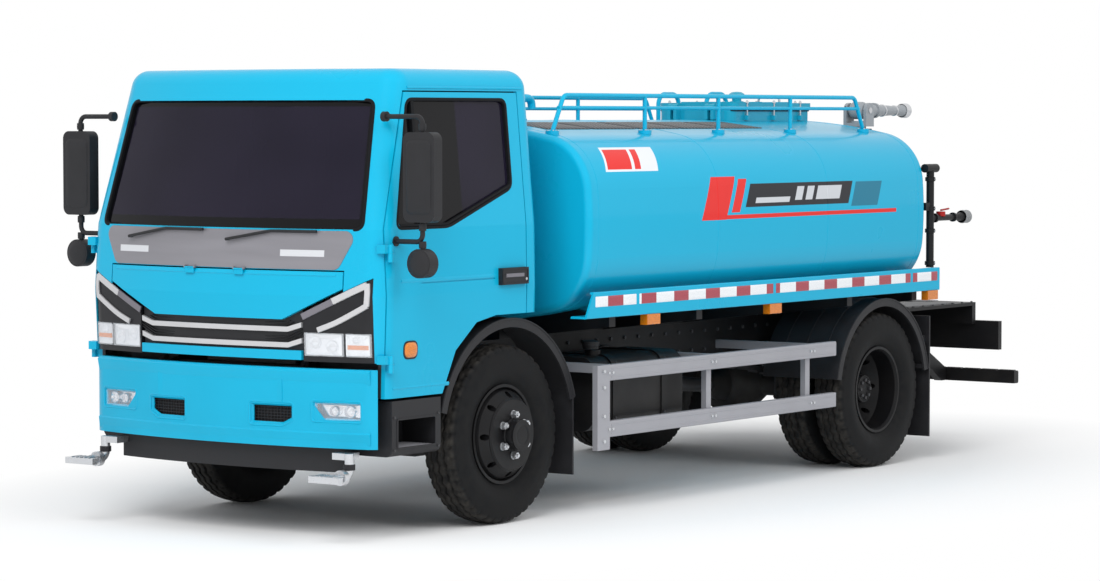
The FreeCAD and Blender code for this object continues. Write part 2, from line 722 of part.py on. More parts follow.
def solid_piece(name, shape):
    """Keep a shape made with the geometry kernel as a document object."""
    item = DOC.addObject("Part::Feature", name)
    item.Shape = shape
    return item


def block(low, high):
    """A plain block between two corners, for use as a tool."""
    start, end = vector(low), vector(high)
    size = end - start
    return Part.makeBox(size.x, size.y, size.z, start)


def prism(plane, corners, start, end, radius=None):
    """A straight prism over an outline of (a, b) points.

    XZ outlines run along Y and YZ outlines along X. A radius rounds every
    edge that runs along the prism.
    """
    start, end = as_size(start).value, as_size(end).value
    if plane == "XZ":
        points = [FreeCAD.Vector(as_size(a).value, start, as_size(b).value) for a, b in corners]
        along = FreeCAD.Vector(0, end - start, 0)
    else:
        points = [FreeCAD.Vector(start, as_size(a).value, as_size(b).value) for a, b in corners]
        along = FreeCAD.Vector(end - start, 0, 0)
    solid = Part.Face(Part.makePolygon(points + points[:1])).extrude(along)
    if radius is None:
        return solid
    long_edges = [edge for edge in solid.Edges
                  if abs((edge.Vertexes[0].Point - edge.Vertexes[-1].Point).dot(along))
                  > along.Length * along.Length / 2]
    return solid.makeFillet(as_size(radius).value, long_edges)


# Wheels

def tyre_outline(middle):
    """Cross-section of one tyre as (along, radius) points."""
    half, tread = S.tyre_width / 2, S.tread_width / 2
    bead, top = S.rim_seat_diameter / 2, S.tyre_diameter / 2
    bulge = (bead + top) / 2 - S.wall_round / 4
    foot = S.rim_width / 2 - S.lip_thickness - S.seat_gap
    return [(middle - foot, bead + S.seat_gap),
            (middle + foot, bead + S.seat_gap),
            (middle + foot, bead + S.lip_height),
            (middle + half, bulge, S.wall_round),
            (middle + tread, top - S.crown_drop, S.shoulder_round),
            (middle, top),
            (middle - tread, top - S.crown_drop, S.shoulder_round),
            (middle - half, bulge, S.wall_round),
            (middle - foot, bead + S.lip_height)]


def rim_outline(middle, face):
    """Cross-section of rim and disc; face +1 turns the disc outward."""
    half, seat = S.rim_width / 2, S.rim_seat_diameter / 2
    lip, inner = seat + S.lip_height, seat - S.rim_wall
    shoulder = half - S.lip_thickness
    bolt = S.disc_offset
    flat, bore = S.disc_flat_diameter / 2, S.hub_diameter / 4
    root = half - S.rim_wall * 2
    thick = S.disc_thickness
    points = [(-half, lip), (-shoulder, lip), (-shoulder, seat), (shoulder, seat),
              (shoulder, lip), (half, lip), (half, seat), (root, inner),
              (root + thick * 3, inner - thick), (bolt + thick, flat), (bolt + thick, bore),
              (bolt, bore), (bolt, flat - thick), (root + thick, inner - thick * 2),
              (root - thick * 2, inner), (-root, inner), (-half, seat)]
    points = [(middle + face * along, radius) for along, radius in points]
    return points


def rim(name, middle, face, axle):
    """A pressed wheel with hand holes through its disc."""
    body = turned(name, rim_outline(middle, face), (ZERO, axle, WHEEL_Z))
    sketch = new_sketch(body, name + "_hole", "YZ")
    reach = as_size(middle) - as_size(face) * S.rim_width
    bind(sketch, "AttachmentOffset.Base.z", reach)
    hole = sketch.addGeometry(Part.Circle(FreeCAD.Vector(0, S.hand_hole_circle.value / 2, 0),
                                          FreeCAD.Vector(0, 0, 1),
                                          S.hand_hole_diameter.value / 2), False)
    sketch.addConstraint(Sketcher.Constraint("PointOnObject", hole, 3, -2))
    rule = Sketcher.Constraint("DistanceY", -1, 1, hole, 3, S.hand_hole_circle.value / 2)
    bind(sketch, "Constraints[%d]" % sketch.addConstraint(rule), S.hand_hole_circle / 2)
    rule = Sketcher.Constraint("Diameter", hole, S.hand_hole_diameter.value)
    bind(sketch, "Constraints[%d]" % sketch.addConstraint(rule), S.hand_hole_diameter)
    pocket = body.newObject("PartDesign::Pocket", name + "_cut")
    pocket.Profile = sketch
    bind(pocket, "Length", S.rim_width * 3)
    pocket.Reversed = face > 0
    pattern = body.newObject("PartDesign::PolarPattern", name + "_holes")
    pattern.Originals = [pocket]
    pattern.Axis = (sketch, ["N_Axis"])
    pattern.Angle = 360
    pattern.Occurrences = 8
    body.Tip = pattern
    return body


def nuts(name, start, side, axle):
    """Six wheel nuts on their circle, standing away from start."""
    items = []
    for number in range(6):
        angle = math.radians(60 * number + 30)
        shift = (S.nut_circle / 2 * math.cos(angle), S.nut_circle / 2 * math.sin(angle))
        low = start if side > 0 else start - S.nut_height
        place = (low, axle + shift[0], WHEEL_Z + shift[1])
        items.append(rod("%s_%d" % (name, number), "x", place, S.nut_diameter, S.nut_height))
    return items


def axial(name, first, last, diameter, axle):
    """A round bar along X between two places, given in either order."""
    first, last = as_size(first), as_size(last)
    low = first if first.value < last.value else last
    length = last - first if first.value < last.value else first - last
    return rod(name, "x", (low, axle, WHEEL_Z), diameter, length)


def front_wheel(side, word):
    """Tyre and wheel of one front corner, turning on its stub axle."""
    middle = side * S.front_track / 2
    node(turned("tyre_front_" + word, tyre_outline(middle), (ZERO, AXLE1, WHEEL_Z)),
         "tyre_front_" + word)
    bolt = middle + side * S.disc_offset
    face = bolt + side * S.disc_thickness
    inner = bolt - side * S.drum_width
    pieces = [rim("wheel_front_" + word, middle, side, AXLE1),
              axial("hub_front_" + word, inner, face + side * S.front_hub_reach,
                    S.hub_diameter, AXLE1),
              axial("drum_front_" + word, inner, bolt, S.drum_diameter, AXLE1)]
    pieces += nuts("nut_front_" + word, face, side, AXLE1)
    whole = union("rim_front_body_" + word, pieces)
    bore = S.spindle_diameter + S.hub_fit * 2
    tool = axial("bore_front_" + word, inner - side * S.overrun, bolt, bore, AXLE1)
    node(minus("rim_front_" + word, whole, [tool]), "rim_front_" + word)


def rear_wheels(side, word):
    """The twin tyres and wheels of one rear corner, on one hub."""
    middle = side * S.rear_track / 2
    outer = middle + side * S.twin_spacing / 2
    inner = middle - side * S.twin_spacing / 2
    tyres = [turned("tyre_outer_" + word, tyre_outline(outer), (ZERO, AXLE2, WHEEL_Z)),
             turned("tyre_inner_" + word, tyre_outline(inner), (ZERO, AXLE2, WHEEL_Z))]
    node(together("tyres_rear_" + word, tyres), "tyres_rear_" + word)
    bolt = outer - side * S.disc_offset
    face = bolt + side * S.disc_thickness
    drum = bolt - side * (S.drum_width + S.disc_thickness)
    pieces = [rim("wheel_outer_" + word, outer, -side, AXLE2),
              rim("wheel_inner_" + word, inner, side, AXLE2),
              axial("hub_rear_" + word, drum, face + side * S.rear_hub_reach,
                    S.hub_diameter, AXLE2),
              axial("drum_rear_" + word, drum, bolt, S.drum_diameter, AXLE2)]
    pieces += nuts("nut_rear_" + word, face, side, AXLE2)
    whole = union("rims_rear_body_" + word, pieces)
    bore = S.axle_stub_diameter + S.hub_fit * 2
    tool = axial("bore_rear_" + word, drum - side * S.overrun, bolt, bore, AXLE2)
    node(minus("rims_rear_" + word, whole, [tool]), "rims_rear_" + word)


# Steering and axles

def kingpin_x(side):
    return side * S.kingpin_spacing / 2


def steer_pin(side):
    """Where the tie rod's pin stands in the steering arm."""
    return kingpin_x(side), AXLE1 + S.steer_arm_length


def front_axle():
    """Dropped beam with an eye for each kingpin, and the two kingpins."""
    half, flat = S.kingpin_spacing / 2, S.beam_flat / 2
    low = WHEEL_Z - S.beam_drop
    tall = S.beam_height
    eye = S.knuckle_height / 2 - S.knuckle_diameter / 2
    corners = [(-half, WHEEL_Z - eye), (-half + S.knuckle_diameter, WHEEL_Z - eye),
               (-flat, low - tall / 2), (flat, low - tall / 2),
               (half - S.knuckle_diameter, WHEEL_Z - eye), (half, WHEEL_Z - eye),
               (half, WHEEL_Z + eye), (half - S.knuckle_diameter, WHEEL_Z + eye),
               (flat, low + tall / 2), (-flat, low + tall / 2),
               (-half + S.knuckle_diameter, WHEEL_Z + eye), (-half, WHEEL_Z + eye)]
    beam = plate("front_beam", "XZ", AXLE1 - S.beam_width / 2, corners, S.beam_width)
    pieces = [beam]
    for side, word in ((1, "left"), (-1, "right")):
        base = (kingpin_x(side), AXLE1, WHEEL_Z - eye)
        pieces.append(rod("beam_eye_" + word, "z", base, S.knuckle_diameter, eye * 2))
        pin = (kingpin_x(side), AXLE1, WHEEL_Z - S.knuckle_height / 2)
        pieces.append(rod("kingpin_" + word, "z", pin, S.kingpin_diameter, S.knuckle_height))
    for side, word in ((1, "left"), (-1, "right")):
        middle = side * spring_x()
        pieces.append(box("spring_pad_" + word,
                          (middle - S.spring_width / 2, AXLE1 - S.beam_width, low),
                          (middle + S.spring_width / 2, AXLE1 + S.beam_width,
                           spring_low(S.rail_ahead) - S.seat_gap)))
    node(union("front_axle", pieces), "front_axle")


def knuckle(side, word):
    """Forked steering knuckle with its stub axle and steering arm."""
    x = kingpin_x(side)
    half, eye = S.knuckle_height / 2, S.knuckle_height / 2 - S.knuckle_diameter / 2
    lug = S.knuckle_diameter / 2 - S.seat_gap * 2
    top = rod("fork_top_" + word, "z", (x, AXLE1, WHEEL_Z + half - lug), S.knuckle_diameter, lug)
    foot = rod("fork_foot_" + word, "z", (x, AXLE1, WHEEL_Z - half), S.knuckle_diameter, lug)
    back = x + side * (S.knuckle_diameter / 2 + S.seat_gap * 2)
    wall = back + side * S.steer_arm_thickness
    sides = (back, wall) if side > 0 else (wall, back)
    web = box("fork_web_" + word,
              (sides[0], AXLE1 - S.knuckle_diameter / 2, WHEEL_Z - half),
              (sides[1], AXLE1 + S.knuckle_diameter / 2, WHEEL_Z + half))
    reach = (x, wall) if side > 0 else (wall, x)
    arms = [box("fork_arm_%s_%s" % (level, word),
                (reach[0], AXLE1 - S.knuckle_diameter / 2, low),
                (reach[1], AXLE1 + S.knuckle_diameter / 2, low + lug))
            for level, low in (("top", WHEEL_Z + half - lug), ("foot", WHEEL_Z - half))]
    bolt = side * S.front_track / 2 + side * S.disc_offset
    spindle = axial("spindle_" + word, wall, bolt - side * S.seat_gap, S.spindle_diameter, AXLE1)
    pin_x, pin_y = steer_pin(side)
    low = WHEEL_Z - half
    thick = S.steer_arm_thickness
    wide = S.tie_eye_diameter / 2
    hook = [(x + wide, AXLE1), (x + wide, AXLE1 + S.knuckle_diameter / 2),
            (pin_x + wide, pin_y), (pin_x - wide, pin_y),
            (x - wide, AXLE1 + S.knuckle_diameter / 2), (x - wide, AXLE1)]
    arm = plate("steer_arm_" + word, "XY", low, hook, thick)
    boss = rod("steer_boss_" + word, "z", (pin_x, pin_y, low), S.tie_eye_diameter, thick)
    pin = rod("steer_pin_" + word, "z", (pin_x, pin_y, low - thick), S.tie_pin_diameter,
              thick * 2)
    whole = union("knuckle_body_" + word,
                  [top, foot, web, spindle, arm, boss, pin] + arms)
    bore = rod("knuckle_bore_" + word, "z", (x, AXLE1, WHEEL_Z - half - S.overrun),
               S.kingpin_diameter + S.kingpin_fit * 2, S.knuckle_height + S.overrun * 2)
    node(minus("knuckle_" + word, whole, [bore]), "knuckle_" + word)


def tie_rod():
    """Rod that joins the two steering arms, with an eye at each end."""
    left, y = steer_pin(1)
    right = steer_pin(-1)[0]
    low = WHEEL_Z - S.knuckle_height / 2 - S.steer_arm_thickness
    thick = S.steer_arm_thickness - S.seat_gap
    middle = low + thick / 2
    bar = rod("tie_bar", "x", (right, y, middle), S.steer_arm_thickness - S.seat_gap * 2,
              left - right)
    eyes = [rod("tie_eye_%d" % i, "z", (x, y, low), S.tie_eye_diameter, thick)
            for i, x in enumerate((left, right))]
    sleeve = rod("tie_sleeve", "x", (right / 2, y, middle), S.tie_rod_diameter, left)
    whole = union("tie_rod_body", [bar, sleeve] + eyes)
    bores = [rod("tie_bore_%d" % i, "z", (x, y, low - S.overrun),
                 S.tie_pin_diameter + S.kingpin_fit * 2, thick + S.overrun * 2)
             for i, x in enumerate((left, right))]
    node(minus("tie_rod", whole, bores), "tie_rod")


def rear_axle():
    """Axle tube with the final drive housing and spring seats."""
    reach = S.rear_track / 2 - S.twin_spacing / 2
    tube = axial("axle_tube", -reach + S.drum_width, reach - S.drum_width,
                 S.axle_tube_diameter, AXLE2)
    tip = S.rear_track / 2 - S.seat_gap
    stub = axial("axle_stub", -tip, tip, S.axle_stub_diameter, AXLE2)
    bulb, neck = S.pumpkin_diameter / 2, S.axle_tube_diameter / 2
    bowl = turned("final_drive",
                  [(-bulb * 1.3, ZERO), (bulb * 1.3, ZERO), (bulb * 1.3, neck),
                   (bulb * 0.55, bulb, bulb * 0.4), (-bulb * 0.55, bulb, bulb * 0.4),
                   (-bulb * 1.3, neck)], (ZERO, AXLE2, WHEEL_Z))
    nose = cone("drive_nose", "y", (ZERO, AXLE2 - S.pumpkin_diameter * 0.85, WHEEL_Z),
                S.prop_shaft_diameter * 1.4, S.pumpkin_diameter * 0.7, S.pumpkin_diameter * 0.6)
    pads = []
    for side, word in ((1, "left"), (-1, "right")):
        middle = side * spring_x()
        pads.append(box("axle_pad_" + word,
                        (middle - S.spring_width / 2, AXLE2 - S.beam_width, WHEEL_Z),
                        (middle + S.spring_width / 2, AXLE2 + S.beam_width,
                         spring_low(S.rear_spring_span) - S.seat_gap)))
    node(union("rear_axle", [tube, stub, bowl, nose] + pads), "rear_axle")


def spring_x():
    """Middle of the leaf springs, under the frame rails."""
    return S.rail_spacing / 2 - S.spring_width / 2


def spring_low(span):
    """Underside of a spring's pack over its axle."""
    return (S.rail_top - S.rail_height - S.spring_eye_diameter - S.spring_camber
            - S.leaf_thickness * 4)


def leaf_spring(name, x, axle, span):
    """Four stacked leaves, curved, with rolled eyes and frame brackets."""
    eye_z = S.rail_top - S.rail_height - S.spring_eye_diameter
    half = span.value / 2
    dip = S.spring_camber.value
    radius = (half * half + dip * dip) / (2 * dip)
    centre_z = eye_z.value - dip + radius
    thick = S.leaf_thickness.value
    wide = S.spring_width.value
    low = x.value - wide / 2
    solids = []
    for leaf in range(4):
        reach = half * (1 - 0.2 * leaf)
        angle = math.asin(reach / radius)
        outer, inner = radius + thick * (leaf + 1), radius + thick * leaf
        ends = []
        for r in (inner, outer):
            points = [FreeCAD.Vector(low, axle.value + r * math.sin(a), centre_z - r * math.cos(a))
                      for a in (-angle, 0, angle)]
            ends.append(points)
        wire = Part.Wire([Part.Arc(*ends[0]).toShape(),
                          Part.LineSegment(ends[0][2], ends[1][2]).toShape(),
                          Part.Arc(ends[1][2], ends[1][1], ends[1][0]).toShape(),
                          Part.LineSegment(ends[1][0], ends[0][0]).toShape()])
        solids.append(Part.Face(wire).extrude(FreeCAD.Vector(wide, 0, 0)))
    for end in (-1, 1):
        middle = FreeCAD.Vector(low, axle.value + end * half, eye_z.value)
        eye = Part.makeCylinder(S.spring_eye_diameter.value / 2, wide, middle,
                                FreeCAD.Vector(1, 0, 0))
        hanger = Part.makeBox(wide, S.spring_eye_diameter.value, S.spring_eye_diameter.value
                              - S.seat_gap.value, middle - FreeCAD.Vector(0, thick * 2, 0))
        solids += [eye, hanger]
    whole = solids[0].multiFuse(solids[1:]).removeSplitter()
    return solid_piece(name, whole)


def leaf_springs():
    """The four spring packs that carry the frame on the axles."""
    pieces = []
    for side, word in ((1, "left"), (-1, "right")):
        x = side * spring_x()
        pieces.append(leaf_spring("front_spring_" + word, x, AXLE1, S.front_spring_span))
        pieces.append(leaf_spring("rear_spring_" + word, x, AXLE2, S.rear_spring_span))
    node(together("leaf_springs", pieces), "leaf_springs")


# Frame and drive line

def frame():
    """Ladder frame of two channels with cross members and cab hinge lugs."""
    outer = S.rail_spacing / 2
    inner, plate_in = outer - S.rail_flange, outer - S.rail_plate
    low, high = S.rail_top - S.rail_height, S.rail_top
    start = AXLE1 - S.rail_ahead
    length = S.rail_ahead + S.wheelbase + S.rail_behind
    corners = [(inner, low), (outer, low), (outer, high), (inner, high),
               (inner, high - S.rail_plate), (plate_in, high - S.rail_plate),
               (plate_in, low + S.rail_plate), (inner, low + S.rail_plate)]
    left = plate("left_rail", "XZ", start, corners, length)
    pieces = [left, mirrored("right_rail", left)]
    middle = S.rail_top - S.rail_height / 2
    shares = (0.0, 0.335, 0.47, 0.60, 0.72, 0.86, 1.0)
    for number, share in enumerate(shares):
        y = start + (length - S.cross_width) * share
        pieces.append(box("cross_member_%d" % number,
                          (-plate_in, y, middle - S.cross_height / 2),
                          (plate_in, y + S.cross_width, middle + S.cross_height / 2)))
    for side, word in ((1, "left"), (-1, "right")):
        pieces += frame_lug(side, word)
    node(union("frame", pieces), "frame")


def frame_lug(side, word):
    """Bracket and pin of the cab's tilting hinge, on one rail's end."""
    y, z = AXLE1 - S.pivot_ahead, S.pivot_height
    outer = side * S.rail_spacing / 2
    lug = side * (S.pivot_spacing / 2 - S.pivot_lug / 2 - S.panel_gap)
    far = side * (S.pivot_spacing / 2 + S.pivot_lug / 2 + S.panel_gap)
    wide = S.pivot_lug
    sides = (outer - side * S.rail_plate, lug)
    low_x, high_x = sides if side > 0 else (sides[1], sides[0])
    arm = plate("hinge_arm_" + word, "YZ", low_x,
                [(y, z - wide), (AXLE1 - S.rail_ahead + S.cross_width, z - wide * 2),
                 (AXLE1 - S.rail_ahead + S.cross_width, z + wide * 2), (y, z + wide)],
                high_x - low_x)
    end = rod("hinge_end_" + word, "x", (low_x, y, z), wide * 2, high_x - low_x)
    pin = rod("hinge_pin_" + word, "x", ((lug if side > 0 else far) - S.seat_gap, y, z),
              S.pivot_diameter, S.pivot_lug + S.panel_gap * 2 + S.seat_gap * 2)
    return [arm, end, pin]


def powertrain():
    """Plain engine block, gearbox, propeller shaft and radiator."""
    half = S.engine_width / 2
    front = AXLE1 - S.engine_ahead
    back = front + S.engine_length
    middle = S.engine_bottom + S.gearbox_diameter / 2
    block_item = plate("engine_block", "XZ", front,
                       [(-half / 2, S.engine_bottom), (half / 2, S.engine_bottom),
                        (half, S.rail_top - S.rail_height), (half, S.engine_top),
                        (-half, S.engine_top), (-half, S.rail_top - S.rail_height)],
                       S.engine_length)
    gearbox = cone("gearbox", "y", (ZERO, back - S.seat_gap, middle), S.gearbox_diameter,
                   S.gearbox_diameter * 0.6, S.gearbox_length)
    shaft_from = back + S.gearbox_length - S.overrun
    shaft_end = AXLE2 - S.pumpkin_diameter * 0.85
    lower = (middle - WHEEL_Z).value
    run = (shaft_end - shaft_from).value
    line = Part.makeCylinder(S.prop_shaft_diameter.value / 2, math.hypot(lower, run),
                             vector((ZERO, shaft_from, middle)), FreeCAD.Vector(0, run, -lower))
    limit = block((-S.rail_spacing, shaft_from, S.low_step_bottom),
                  (S.rail_spacing, shaft_end - S.seat_gap, S.rail_top))
    shaft = solid_piece("prop_shaft", line.common(limit))
    radiator = box("radiator",
                   (-S.radiator_width / 2, AXLE1 - S.radiator_ahead, S.engine_bottom),
                   (S.radiator_width / 2, AXLE1 - S.radiator_ahead + S.radiator_depth,
                    S.engine_bottom + S.radiator_height))
    shroud = cone("fan_shroud", "y",
                  (ZERO, AXLE1 - S.radiator_ahead + S.radiator_depth - S.seat_gap,
                   S.engine_bottom + S.radiator_height / 2),
                  S.radiator_height * 0.95, S.radiator_height * 0.6,
                  S.radiator_ahead - S.radiator_depth - S.engine_ahead + S.seat_gap * 2)
    whole = union("powertrain_body", [block_item, gearbox, shaft, radiator, shroud])
    node(whole, "powertrain")


# Cab hull, from which walls, doors, glass and front panels are taken

CAB_LEVELS = (("cab_bottom", "cab_low_half", "cab_low_front"),
              ("cab_nose", "cab_nose_half", "cab_nose_front"),
              ("cab_belt", "cab_belt_half", "cab_belt_front"),
              ("cab_roof", "cab_roof_half", "cab_roof_front"))


def cab_ring(height, half, ahead, inset):
    """Plan of the cab at one level: bowed front, round corners, flat back."""
    half, inset = half.value - inset, float(inset)
    front = (AXLE1 - ahead).value + inset
    back = (AXLE1 + S.cab_back).value - inset
    bow = S.cab_front_arc.value - inset
    corner = S.cab_corner.value - inset
    rear = S.cab_rear_corner.value - inset
    across = half - corner
    corner_y = front + bow - math.sqrt((bow - corner) ** 2 - across ** 2)
    centre = FreeCAD.Vector(0, front + bow, height)
    pivot = FreeCAD.Vector(across, corner_y, height)
    outward = (pivot - centre).normalize()
    touch = centre + outward * bow
    middle = pivot + (outward + FreeCAD.Vector(1, 0, 0)).normalize() * corner
    side = FreeCAD.Vector(half, corner_y, height)
    rear_side = FreeCAD.Vector(half, back - rear, height)
    rear_mid = FreeCAD.Vector(half - rear + rear * math.sqrt(0.5),
                              back - rear + rear * math.sqrt(0.5), height)
    rear_end = FreeCAD.Vector(half - rear, back, height)

    def flip(point):
        return FreeCAD.Vector(-point.x, point.y, point.z)

    nose = FreeCAD.Vector(0, front, height)
    edges = [Part.Arc(flip(touch), nose, touch), Part.Arc(touch, middle, side),
             Part.LineSegment(side, rear_side), Part.Arc(rear_side, rear_mid, rear_end),
             Part.LineSegment(rear_end, flip(rear_end)),
             Part.Arc(flip(rear_end), flip(rear_mid), flip(rear_side)),
             Part.LineSegment(flip(rear_side), flip(side)),
             Part.Arc(flip(side), flip(middle), flip(touch))]
    return Part.Wire([edge.toShape() for edge in edges])


def cab_hull(inset):
    """The cab's outer form, moved inward by inset on every side."""
    if inset not in HULLS:
        HULLS[inset] = make_hull(inset)
    return HULLS[inset]


HULLS = {}


def make_hull(inset):
    """Loft the hull through its four levels and round the roof's edge."""
    rings = []
    for level, half, ahead in CAB_LEVELS:
        height = getattr(S, level).value
        if level == "cab_roof":
            height -= inset
        rings.append(cab_ring(height, getattr(S, half), getattr(S, ahead), inset))
    hull = Part.makeLoft(rings, True, True)
    if inset > ZERO.value:
        return hull
    top = S.cab_roof.value
    edges = [edge for edge in hull.Edges if min(v.Z for v in edge.Vertexes) > top - 1]
    return hull.makeFillet(S.roof_round.value, edges)


def skin(inset, depth):
    """A layer of the cab's hull, starting inset under its surface."""
    return cab_hull(inset).cut(cab_hull(inset + depth))


def mirror_outline(points):
    """An outline's points and their mirror images, as one closed loop."""
    return points + [(-x, z) for x, z in reversed(points)]


def front_prism(points, grow=0.0, radius=None):
    """A prism through the cab's front over a symmetric outline."""
    grow = as_size(grow)
    loop = [(x + grow, z + (grow if high else -grow)) for x, z, high in points]
    return prism("XZ", mirror_outline(loop), AXLE1 - S.front_overhang, AXLE1 - S.footwell_back,
                 radius)


WINDSCREEN = ((S.windscreen_half_low, S.cab_belt, False),
              (S.windscreen_half_high, S.windscreen_high, True))
APRON = ((S.apron_half_low, S.apron_low, False), (S.apron_half_high, S.apron_high, True))


def valley(x):
    """Height of the line between the blue flap and the lamps at x."""
    rise = (S.lamp_outer_high - S.flap_low) / (S.lamp_outer_half - S.flap_flat_half)
    return S.flap_low + (x - S.flap_flat_half) * rise


def flap_loop():
    """Outline of the blue flap, from its middle bottom to its top."""
    return [(S.flap_flat_half, S.flap_low), (S.flap_half, valley(S.flap_half)),
            (S.flap_half, S.flap_high)]


def lamp_back():
    """How far under the cab's surface the headlamps reach, with clearance."""
    return S.lens_inset + S.lamp_depth + S.panel_gap


def lamp_end():
    """Rear limit of the headlamps along the truck, ahead of the doors."""
    return AXLE1 - S.door_ahead - S.panel_gap


def lamp_loop(gap):
    """Outline of the left headlamp, with a gap to its neighbours."""
    return [(S.lamp_inner_half + gap, S.cab_sill), (S.lamp_outer_half - gap, S.cab_sill),
            (S.lamp_outer_half - gap, S.lamp_outer_high - S.lamp_drop - gap),
            (S.lamp_inner_half + gap, valley(S.lamp_inner_half) - S.lamp_drop - gap)]


def mesh_loop():
    """Outline of the black grille, which laps behind the flap's lower edge."""
    half = S.lamp_inner_half - S.panel_gap
    lap = S.trim_height
    return [(half, S.grille_low + lap), (half, valley(half) + lap),
            (S.flap_flat_half, S.flap_low + lap)]


def door_loop(gap):
    """Outline of a door seen from the side, smaller by gap all round."""
    return [(AXLE1 - S.door_ahead + gap, S.cab_bottom), (AXLE1 - S.door_toe_ahead, S.cab_bottom),
            (AXLE1 - S.door_knee_ahead, S.door_knee), (AXLE1 - S.door_hip_ahead, S.door_hip),
            (AXLE1 - S.arch_flat_ahead, S.arch_top), (AXLE1 + S.door_back - gap, S.arch_top),
            (AXLE1 + S.door_back - gap, S.door_top - gap),
            (AXLE1 - S.door_shoulder_ahead + gap, S.door_top - gap),
            (AXLE1 - S.door_ahead + gap, S.cab_belt)]


def window_loop():
    """Outline of the door's window."""
    return [(AXLE1 - S.window_front_ahead, S.window_low),
            (AXLE1 - S.window_step_ahead, S.window_low),
            (AXLE1 + S.window_rear, S.window_rear_low), (AXLE1 + S.window_rear, S.window_top),
            (AXLE1 - S.window_front_top_ahead, S.window_top)]


def floor_shape():
    """Stepped floor with footwells, engine tunnel and the wall behind the lamps."""
    half = S.cab_low_half - S.cab_wall - S.panel_gap
    sheet = S.floor_sheet
    deck, well = S.arch_top + S.panel_gap, S.footwell_floor
    rear = AXLE1 + S.cab_back - S.cab_wall
    wall, toe, heel = (AXLE1 - S.firewall_ahead, AXLE1 - S.footwell_ahead,
                       AXLE1 - S.footwell_back)
    loop = [(wall, S.cab_sill), (toe, S.cab_sill), (toe, well), (heel, well), (heel, deck),
            (rear, deck), (rear, deck + sheet), (heel - sheet, deck + sheet),
            (heel - sheet, well + sheet), (toe + sheet, well + sheet),
            (toe + sheet, S.cab_sill + sheet), (wall + sheet, S.cab_sill + sheet),
            (wall + sheet, S.dash_low), (wall, S.dash_low)]
    whole = prism("YZ", loop, -half, half)
    low, high = well - S.overrun, deck
    inner, outer = S.tunnel_half, S.tunnel_half + sheet
    tunnel = block((-inner, wall - S.overrun, low), (inner, heel + S.overrun, high))
    cover = block((-outer, toe, well), (outer, heel, deck + sheet))
    return whole.fuse(cover).cut(tunnel)


def seat_box_shape():
    """Raised bench over the engine's sides, which carries the seats."""
    deck = S.arch_top + S.panel_gap + S.floor_sheet
    top = S.seat_height - S.seat_thickness - S.seat_gap
    front = AXLE1 - S.seat_front_ahead
    low = deck - S.floor_sheet / 2
    pads = []
    for side in (1, -1):
        middle = side * S.seat_side
        pads.append(block((middle - S.seat_width / 3, front + S.overrun, low),
                          (middle + S.seat_width / 3, front + S.seat_depth - S.overrun, top)))
    return pads[0].fuse(pads[1])


def hinge_plates():
    """The two plates under the cab's front that turn on the frame's pins."""
    plates = []
    y, z, wide = AXLE1 - S.pivot_ahead, S.pivot_height, S.pivot_lug
    for side in (1, -1):
        low = side * S.pivot_spacing / 2 - wide / 2
        plate_item = prism("YZ", [(y - wide, z), (y + wide, z),
                                  (y + wide * 3, S.cab_sill + S.floor_sheet / 2),
                                  (y + wide * 2, S.cab_sill + S.floor_sheet / 2)],
                           low, low + wide)
        end = Part.makeCylinder(wide.value, wide.value, vector((low, y, z)),
                                FreeCAD.Vector(1, 0, 0))
        bore = Part.makeCylinder((S.pivot_diameter / 2 + S.pivot_fit).value,
                                 (wide + S.overrun * 2).value,
                                 vector((low - S.overrun, y, z)), FreeCAD.Vector(1, 0, 0))
        plates.append(plate_item.fuse(end).cut(bore))
    return plates


